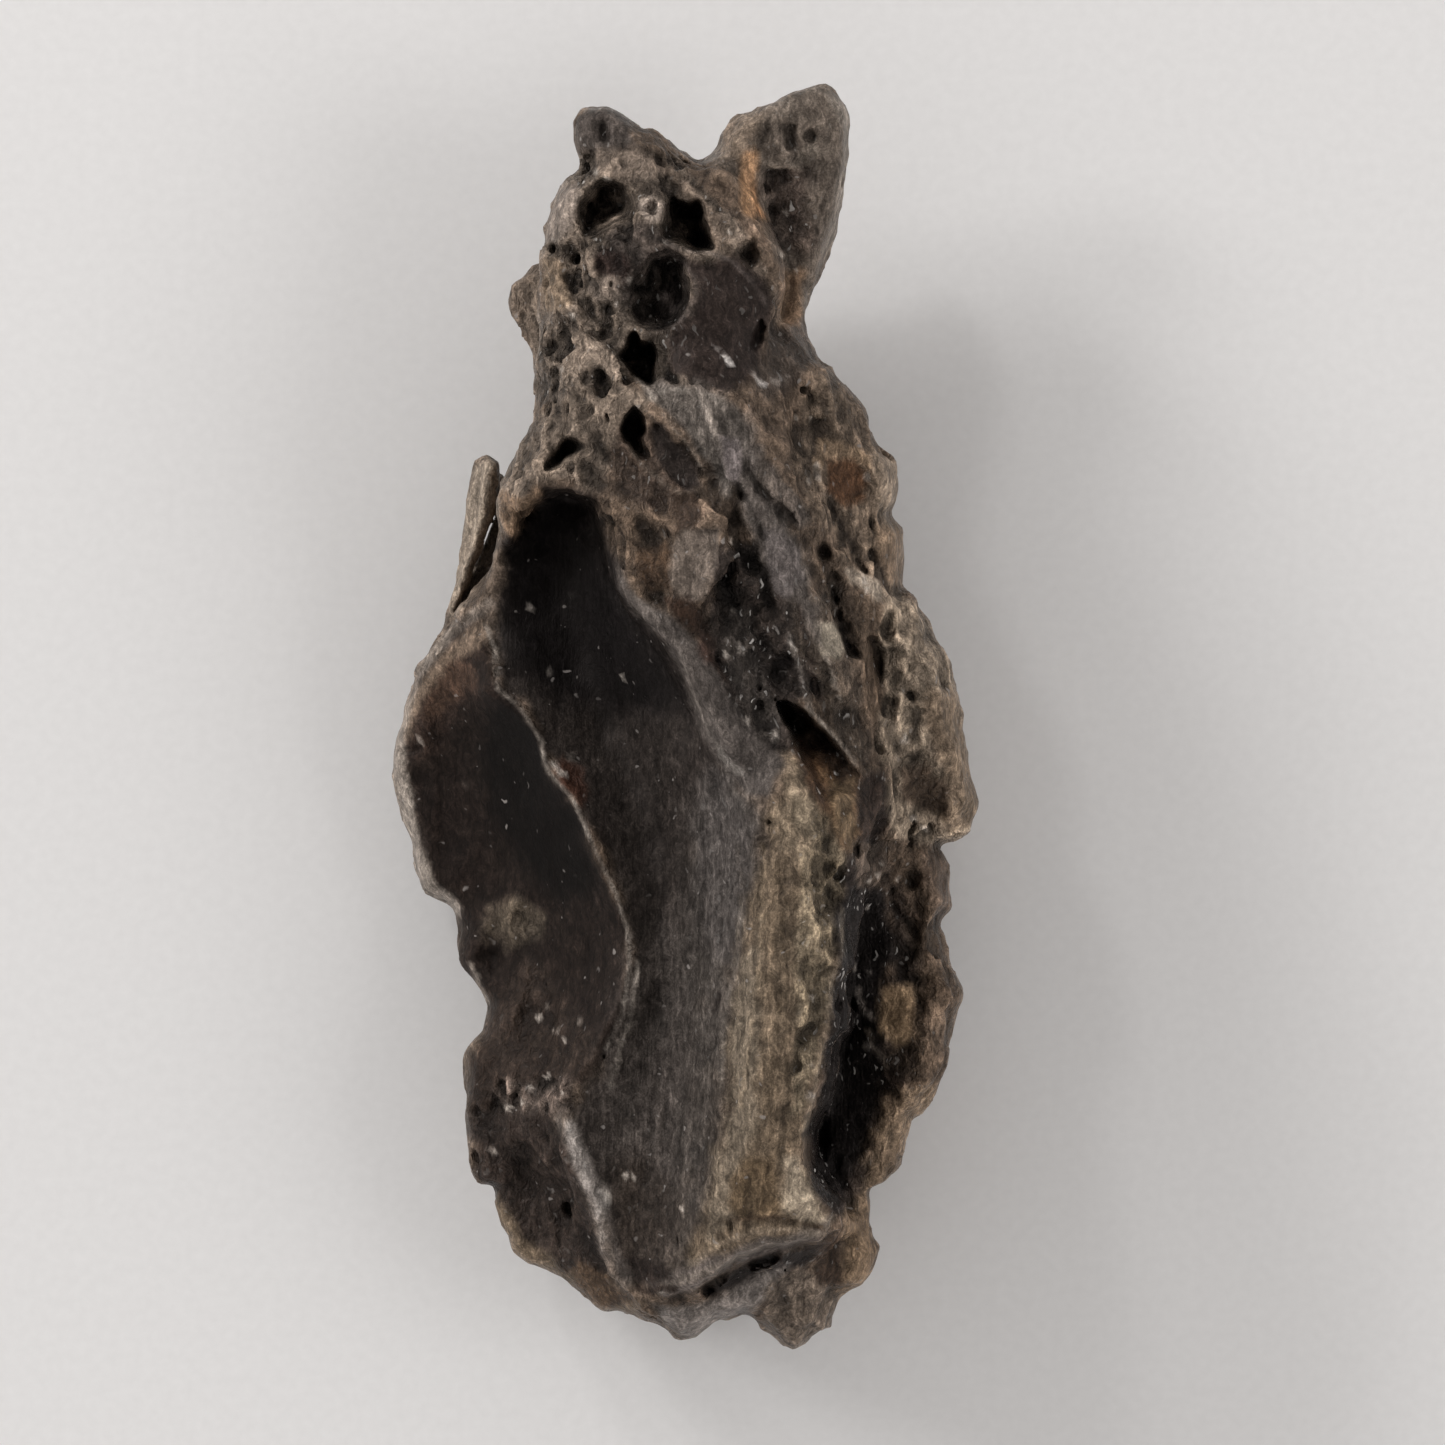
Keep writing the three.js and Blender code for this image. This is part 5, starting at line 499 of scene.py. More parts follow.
        (6.5, -2.2), (6.1, -2.9), (5.3, -3.4), (4.6, -2.8), (4.1, -1.5)]),
    ("wedge_floor", (88, 66, 48), 0.15, 0.3, 0.5, 0.02, 0.5, [(4.5, -1.5), (5.4, -1.7), (6.3, -2.9),
        (6.1, -3.9), (5.6, -4.5), (5, -3.3)]),
    ("wedge_foot", (98, 82, 64), 0.3, 0.38, 0.5, 0.05, 0.4, [(5, -1.9), (6, -2.1), (5.9, -4.4),
        (5.3, -3.9)]),
    ("channel", (40, 35, 32), 1, 0.2, 0.6, 0.15, 0.4, [(1.4, 6.2), (2.7, 6.2), (4.1, 4.6), (5.1, 2.8),
        (5.3, 0.7), (4.1, 0.5), (3.9, -0.6), (3, -1.5), (2, -1.1), (1.1, 0.7), (0.7, 2.4), (1, 4.2)]),
    ("slope_dark", (70, 61, 53), 0.7, 0.32, 0.9, 0.08, 0.5, [(3.7, 4.2), (5.3, 4.6), (5.9, 2.8), (6.3, 0.7),
        (6.5, -1.8), (5.5, -0.7), (4.8, 0.7), (4.1, 2.4)]),
    ("right_slope", (90, 78, 67), 0.8, 0.4, 0.9, 0.05, 0.4, [(4.4, 12.3), (5.6, 12.3), (6.4, 11.4),
        (6.8, 10.2), (7.1, 9.4), (7.6, 9.1), (7.8, 8.4), (7.4, 7.3), (7.9, 6.7), (7.7, 4.7), (6.6, 4.6),
        (5.5, 5.6), (4.4, 7.7), (3.9, 10.2)]),
    ("right_edge", (98, 86, 74), 0.4, 0.38, 0.4, 0.03, 0.3, [(6.6, 9.7), (7.6, 9.1), (7.8, 8.4), (7.4, 7.3),
        (7.9, 6.7), (7.7, 4.7), (7.1, 5.6), (6.8, 7.7)]),
    ("neck", (80, 71, 63), 1, 0.3, 0.2, 0.85, 0.4, [(-4.7, 19.1), (-3, 20.2), (-0.2, 19.8), (1.3, 18.4),
        (2.5, 16.9), (3.2, 15.2), (3, 13.8), (0.5, 11.3), (-1.6, 12), (-4.4, 10.9), (-5.2, 11.3),
        (-5.3, 12.5), (-5.1, 13.8), (-5.2, 15.4), (-5, 16.9)]),
    ("neck_dark", (52, 46, 42), 0.9, 0.3, 0.2, 0.4, 0.3, [(-2.4, 17.2), (-1.1, 17.6), (-0.3, 16.9),
        (0.3, 16.2), (0.3, 14.6), (0, 13.9), (-0.7, 13.5), (-1.6, 13.8), (-2.1, 14.6), (-2.2, 15.7),
        (-2.6, 16.5)]),
    ("neck_grey", (42, 35, 32), 0.15, 0.39, 0.2, 0.05, 0.35, [(0, 16.2), (2, 16.3), (3, 15.4), (3, 13.8),
        (2.7, 12.2), (1.3, 11.5), (-0.4, 12), (-0.7, 13.2), (0.2, 13.9), (0.5, 15)]),
    ("neck_low", (64, 56, 50), 0.4, 0.38, 0.4, 0.08, 0.4, [(3, 13.8), (3.7, 13.9), (4.4, 14), (4.9, 13),
        (4.1, 12), (3, 11.3), (2.5, 11.8)]),
    ("tan_ledge", (104, 92, 82), 0.5, 0.42, 0.2, 0.2, 0.2, [(-3.1, 20.1), (-1.6, 20.1), (-0.6, 19.4),
        (-0.7, 19), (-2.3, 19.1), (-3.1, 19.2)]),
    ("tan_strip", (102, 89, 78), 0.7, 0.4, 0.4, 0.4, 0.25, [(-0.7, 19.6), (0.5, 18.7), (1.3, 17.5),
        (1.8, 16.2), (1, 16.5), (0.5, 17.8), (-0.2, 18.7)]),
    ("left_horn", (64, 58, 54), 0.15, 0.34, 0.3, 0.1, 0.3, [(-3.9, 20.1), (-4, 20.9), (-3.8, 21.5),
        (-2.8, 21.8), (-1.8, 21.3), (-1.5, 20.1), (-3, 20.1)]),
    ("right_horn", (90, 81, 73), 0.2, 0.38, 0.5, 0.1, 0.3, [(0.8, 19.9), (1.4, 20.7), (2, 21.4), (3.4, 22),
        (4.9, 22.6), (5.7, 22), (6.1, 20.7), (5.9, 18.9), (5.5, 17), (4.8, 15.4), (4.1, 13.9), (3.4, 14.1),
        (3.6, 15.2), (3.2, 16.6), (2.7, 17.8), (1.8, 19.1)]),
    ("horn_tan", (108, 95, 83), 0.4, 0.42, 0.3, 0.1, 0.3, [(1.4, 20.5), (2.1, 21.4), (3, 21.5), (2.5, 20.1),
        (2.1, 19.4), (1.4, 19.8)]),
    ("horn_rust", (150, 112, 82), 0.2, 0.42, 0.4, 0.05, 0.2, [(2.1, 20.1), (2.6, 20.2), (2.7, 18.4),
        (3.1, 17.7), (2.7, 17.6), (2.3, 18.4), (2, 19.2)]),
    ("horn_dark", (84, 73, 66), 0.7, 0.25, 0.4, 0.6, 0.7, [(2.7, 19.5), (3.9, 19.8), (4.7, 19.1),
        (4.6, 16.6), (3.9, 16.4), (3.2, 17.1), (2.7, 18.4)]),
    ("horn_beige", (118, 97, 79), 0.1, 0.42, 0.3, 0.03, 0.25, [(3.4, 16), (4.4, 16), (4.1, 13.9),
        (3.5, 14)]),
    ("knob", (88, 78, 69), 1, 0.42, 0.2, 0.3, 0.35, [(-6.5, 8.8), (-5.8, 10.2), (-5, 11.1), (-4.1, 11.3),
        (-2.6, 11.3), (-2.4, 9.9), (-2.8, 8.1), (-3.3, 7.9), (-4.1, 8.3), (-4.9, 8.3), (-5.8, 7.7),
        (-6.4, 6.5), (-6.6, 7.7)]),
    ("neck_ridge", (96, 85, 75), 0.8, 0.42, 0.2, 0.35, 0.35, [(-4.4, 11.6), (-2.1, 11.8), (-0.9, 11.3),
        (-1.6, 10.6), (-2.3, 9.5), (-3.3, 9.9), (-4.4, 10.6)]),
    ("brown_hollow", (62, 52, 45), 0.7, 0.36, 0.3, 0.08, 0.4, [(-2.1, 10.3), (-0.9, 10.4), (0.8, 8.8),
        (0.5, 6.7), (-0.9, 7), (-2.1, 7.7), (-2.5, 9.2)]),
    ("grey_back", (86, 79, 74), 0.25, 0.4, 1, 0.1, 0.5, [(-1, 11.7), (0.5, 11.9), (2.3, 10.6), (2.8, 8.5),
        (3.9, 6.3), (4.7, 4.2), (5.1, 2.1), (3.8, 4.2), (2.7, 6.2), (1.8, 7.7), (0.7, 9.5), (-0.5, 10.9)]),
    ("tan_field", (84, 71, 60), 0.8, 0.38, 0.3, 0.1, 0.4, [(-3, 7.7), (-2.1, 7.7), (0.2, 7), (0.2, 5.6),
        (-0.5, 3.8), (-1.6, 4.2), (-2.2, 5.6)]),
    ("lip_face", (74, 68, 64), 0.04, 0.42, 0.5, 0.03, 0.2, [(-2.3, 6), (-1.9, 4.6), (-1.6, 4.2),
        (-0.9, 3.9), (0.1, 3.1), (1, 2.2), (1.7, 1), (2.5, -0.2), (3.2, -1), (3.7, -1.5), (3, -2.6),
        (2.2, -2.6), (1.4, -1.6), (0.8, -0.7), (0.3, 0.5), (-0.1, 1.7), (-0.6, 2.7), (-1.3, 3.4), (-1.9, 4),
        (-2.3, 5)]),
    ("left_rim", (92, 80, 70), 0.3, 0.38, 0.3, 0.2, 0.25, [(-6.9, 5.6), (-6.4, 6.2), (-6.2, 4.9),
        (-6.6, 3.9), (-6.5, 2.8), (-7, 2.8), (-7.2, 3.3), (-7, 4.2)]),
    ("neck_dark_a", (40, 32, 29), 0.8, 0.38, 0.2, 0.5, 0.12, [(-3.1, 16.3), (-2.8, 16.6), (-2.4, 16.5),
        (-2, 16.4), (-1.8, 16), (-1.9, 15.5), (-2.4, 15.3), (-2.8, 15.5), (-3.1, 15.8)]),
    ("neck_pale_a", (116, 104, 94), 0.7, 0.42, 0.2, 0.4, 0.12, [(-3.3, 15.5), (-2.8, 15.6), (-2.3, 15.5),
        (-2.2, 14.9), (-2.6, 14.5), (-3.1, 14.7), (-3.3, 15)]),
    ("neck_pale_b", (130, 118, 108), 0.7, 0.42, 0.2, 0.3, 0.1, [(-1.6, 18.2), (-1.1, 18.4), (-0.7, 18.1),
        (-0.7, 17.5), (-1.1, 17.4), (-1.4, 17.7)]),
    ("pit_ribs", (84, 76, 72), 0.5, 0.34, 1, 0.1, 0.12, [(-0.9, 14.8), (-0.4, 15.4), (-0.1, 15.2),
        (0, 14.7), (-0.3, 14.3), (-0.7, 14.1)]),
    ("neck_beige", (104, 90, 76), 0.7, 0.42, 0.3, 0.4, 0.2, [(-4.9, 16.2), (-4.4, 16.2), (-4, 15.5),
        (-3.9, 14.6), (-4.4, 14.2), (-4.9, 14.4), (-5.1, 15.2)]),
    ("neck_strip", (108, 98, 90), 0.35, 0.42, 0.6, 0.1, 0.2, [(-4.5, 18.7), (-3.7, 19), (-3.6, 18.4),
        (-3.8, 17.6), (-4.4, 16.9), (-4.9, 16.8), (-4.8, 17.8)]),
    ("neck_brown", (98, 83, 71), 0.5, 0.42, 0.2, 0.2, 0.2, [(0.5, 19.4), (2.1, 18.5), (2.7, 17.6),
        (3.1, 16.7), (3, 16.2), (2.4, 16.9), (1.8, 17.8), (1, 18.4), (0.5, 18.7)]),
    ("streaky_field", (92, 85, 79), 0.4, 0.4, 1, 0.1, 0.15, [(-1.4, 11.6), (0.5, 11.6), (2, 10.9),
        (2.4, 9.9), (2.2, 9.4), (1.9, 8.8), (1.8, 7.7), (1.3, 7.7), (1, 8.8), (0.5, 9.3), (0.1, 10),
        (-0.7, 10.9), (-1.2, 11.1)]),
    ("lilac_strip", (102, 94, 92), 0.15, 0.4, 0.3, 0.02, 0.12, [(1.3, 9.9), (2, 9.9), (2.1, 8.8),
        (1.9, 8.1), (1.5, 8.5)]),
    ("dark_facet_a", (46, 40, 37), 0.25, 0.36, 0.3, 0.05, 0.1, [(-1.2, 10.2), (-0.7, 10.4), (0, 9.4),
        (0.5, 8.8), (0.7, 8.1), (0.2, 7.9), (-0.4, 8.4), (-0.9, 9.1)]),
    ("dark_facet_b", (54, 44, 37), 0.3, 0.38, 0.3, 0.1, 0.1, [(-0.3, 7.9), (0.5, 8), (0.7, 7.2), (0.2, 6.5),
        (-0.2, 6.5), (-0.3, 7.3)]),
    ("brown_shade", (72, 57, 45), 0.5, 0.4, 0.4, 0.2, 0.15, [(-1.6, 6), (-0.4, 6.2), (0, 5.6), (-0.3, 4.6),
        (-1.2, 4.5), (-1.6, 5.1)]),
    ("beige_facet", (96, 86, 78), 0.1, 0.38, 0.2, 0.02, 0.08, [(0, 6.6), (1.3, 6.7), (1.3, 5.9), (1.1, 4.9),
        (0.8, 4.1), (0.2, 4.2), (-0.3, 4.5), (-0.5, 5.3), (-0.3, 6.2)]),
    ("brown_wedge", (50, 38, 31), 0.3, 0.36, 0.3, 0.1, 0.1, [(-0.6, 4.2), (0, 4.2), (0.5, 3.8), (0.8, 3.1),
        (0.4, 3), (-0.2, 3.6)]),
    ("red_brown", (66, 52, 46), 0.2, 0.38, 0.2, 0.05, 0.08, [(0.6, 3.1), (1, 2.9), (1.2, 2.1), (0.8, 1.9),
        (0.6, 2.4)]),
    ("lilac_patch", (94, 87, 84), 0.1, 0.38, 0.3, 0.03, 0.08, [(2.8, 6.7), (3.6, 6.5), (4.1, 5.9),
        (4.2, 4.9), (3.7, 4.2), (3.2, 4.5), (3, 5.4)]),
    ("slope_grey", (82, 74, 68), 0.5, 0.38, 0.9, 0.08, 0.15, [(2.7, 9.2), (3.2, 8.8), (4.1, 7.7), (4.5, 7),
        (4.1, 6.7), (3.4, 7.3), (2.7, 8.1)]),
    ("rust_ring", (118, 100, 82), 0.5, 0.4, 0.3, 0.2, 0.12, [(4.7, 9.9), (5.6, 9.9), (6.6, 9.4), (6.6, 8.8),
        (5.9, 9.2), (5.1, 9.1), (4.7, 8.8)]),
    ("rust_floor", (78, 56, 41), 0.5, 0.38, 0.3, 0.2, 0.12, [(5.1, 9.1), (5.9, 9.2), (6.5, 8.7), (6.4, 7.7),
        (5.7, 7.5), (5.1, 8)]),
    ("edge_pale", (114, 101, 88), 0.3, 0.38, 0.4, 0.05, 0.12, [(7.1, 9.5), (7.6, 9.1), (7.8, 8.4),
        (7.5, 7.2), (7.1, 7.1), (7, 8.1)]),
    ("edge_brown", (112, 95, 79), 0.25, 0.38, 0.5, 0.05, 0.15, [(6.8, 6.9), (7.8, 6.7), (7.7, 4.7),
        (7.2, 4.9), (6.8, 5.8)]),
    ("slope_brown", (90, 76, 64), 0.5, 0.4, 0.7, 0.06, 0.12, [(5.9, 4.6), (6.6, 4.5), (7.1, 4.2),
        (6.9, 2.8), (7.1, 1), (6.8, -0.4), (6.4, 0.7), (6.3, 2.1), (6.1, 3.5)]),
    ("pale_line", (136, 124, 111), 0.3, 0.4, 0.2, 0.1, 0.08, [(5.7, 5.3), (6.3, 5.2), (6.9, 4.9),
        (7.1, 4.4), (6.9, 4.1), (6.5, 4.5), (5.9, 4.8)]),
    ("pale_facet", (138, 128, 114), 0.2, 0.4, 0.2, 0.05, 0.08, [(4.8, 3.4), (5.4, 3.5), (5.7, 2.5),
        (5.5, 2.1), (4.9, 2.2)]),
    ("horn_bar", (116, 106, 96), 0.3, 0.42, 0.3, 0.05, 0.1, [(2.4, 19.9), (3.7, 19.8), (4.6, 20.3),
        (4.9, 20.1), (4.1, 19.5), (3, 19.5)]),
    ("horn_edge", (108, 100, 92), 0.2, 0.42, 0.3, 0.03, 0.2, [(5, 22.3), (5.8, 22), (6.1, 20.7),
        (5.9, 18.7), (5.4, 16.9), (4.9, 16.2), (5.2, 17.5), (5.6, 19.1), (5.7, 20.8), (5.4, 21.7)]),
    ("horn_orange", (150, 118, 90), 0.2, 0.42, 0.4, 0.03, 0.12, [(2, 20.1), (2.7, 20.2), (2.7, 19.6),
        (2.5, 18.7), (2.6, 17.6), (2.1, 17.8), (2, 19.1)]),
    ("lobe_outer", (112, 97, 82), 0.35, 0.4, 0.4, 0.1, 0.25, [(8.5, 1), (9.7, 1), (10.2, -0.7),
        (10.6, -2.5), (10.4, -3.6), (9.4, -4.1), (8.9, -3.4), (9.2, -2.2), (8.7, -0.7)]),
    ("lobe_shade_a", (76, 64, 54), 0.6, 0.38, 0.4, 0.2, 0.2, [(7.6, -1.7), (8.7, -1.6), (9.4, -2.4),
        (9.4, -3.4), (8.7, -3.3), (7.8, -2.9)]),
    ("lobe_shade_b", (50, 41, 36), 0.5, 0.36, 0.4, 0.2, 0.2, [(6.1, -2.5), (6.6, -1.8), (7.3, -1.8),
        (7.1, -2.9), (7.2, -3.9), (6.6, -4.2), (6.2, -3.6)]),
    ("lobe_side", (84, 71, 61), 0.3, 0.4, 0.4, 0.1, 0.15, [(8.5, -4.6), (9.4, -5), (9.6, -6.6), (9.3, -7.6),
        (8.9, -6.6), (8.5, -5.7)]),
    ("gap_grey", (68, 59, 52), 0.7, 0.36, 0.4, 0.1, 0.2, [(6.1, -4.4), (7.1, -4.4), (7.3, -5.4),
        (6.8, -5.9), (6.1, -5.8)]),
    ("band_gold", (92, 77, 60), 0.35, 0.5, 0.8, 0.1, 0.35, [(2, -15.3), (3.3, -15.1), (3.3, -17.2),
        (2, -17.4), (1.7, -16.8)]),
    ("band_light", (122, 109, 92), 0.3, 0.45, 0.5, 0.1, 0.12, [(3.8, -2.5), (4.6, -2.9), (4.8, -4),
        (4.3, -4.2), (3.9, -3.6)]),
    # painted highlight on the lower ridge
    ("frost", (172, 164, 156), 0.3, 0.5, 0.2, 0.1, 0.1, [(-3.1, -16.5), (-2.6, -16.6), (-2.6, -17.2),
        (-2.9, -17.3)]),
    ("end_dark", (36, 30, 27), 0.3, 0.36, 0.3, 0.1, 0.12, [(-2, -19), (-0.6, -19.1), (-0.4, -19.7),
        (-1.6, -19.9)]),
    ("low_brown", (72, 58, 46), 0.2, 0.4, 0.2, 0.05, 0.2, [(-3.8, -19.2), (-2.5, -19.7), (-1.7, -20.6),
        (-3, -20.9), (-3.9, -20.2)]),
    ("wing_rust", (62, 47, 38), 0.25, 0.42, 0.2, 0.05, 0.25, [(-9.2, 1.4), (-8.3, 2.3), (-7.4, 2),
        (-7.2, 1.3), (-8.1, 0.5), (-8.7, 0.1), (-9.2, 0.3)]),
    ("wing_rim", (104, 89, 76), 0.12, 0.42, 0.2, 0.05, 0.15, [(-8.1, 2.8), (-7.2, 3.6), (-6.8, 2.9),
        (-7.3, 2.4), (-8.1, 2.1), (-9, 1), (-9.4, 0.6), (-9.9, -0.7), (-10.3, -1.5), (-10.4, -0.8),
        (-9.8, 0.7), (-9, 1.9)]),
    # painted light at the wing's thin rim, where light shines through and catches
    ("wing_edge", (112, 104, 96), 0.1, 0.42, 0.2, 0.02, 0.15, [(-10.4, -0.6), (-10.1, -0.3), (-9.9, -1.5),
        (-9.7, -2.9), (-9.4, -4.6), (-8.9, -5.8), (-8.1, -6.5), (-8, -7), (-8.7, -6.8), (-9.5, -6),
        (-10, -4.6), (-10.2, -2.9), (-10.5, -1.5)]),
    ("lip_brown", (92, 76, 62), 0.6, 0.42, 0.3, 0.2, 0.12, [(-6.5, 8.1), (-5.6, 7.7), (-5.2, 8.3),
        (-4.8, 7.9), (-5.5, 7), (-5.8, 6.3), (-6.2, 6.5), (-6.5, 7.2)]),
    ("glint_patch", (44, 40, 37), 0.8, 0.2, 0.4, 0.3, 0.12, [(1.4, 2.8), (1.8, 4.1), (2.4, 3.8), (2.6, 2.4),
        (3, 1.2), (3.5, 0.2), (3.3, -0.7), (2.7, -0.7), (2.1, 0.2), (1.6, 1.4)]),
]
BARE_COLOUR = (80, 68, 58)  # what no region covers
BARE = (0.7, 0.42, 0.4, 0.35)  # its surface values
UNDERSIDE = {"relief": 0.6, "flow": 0.5, "holes": 0.25}  # what wears the faces that look down

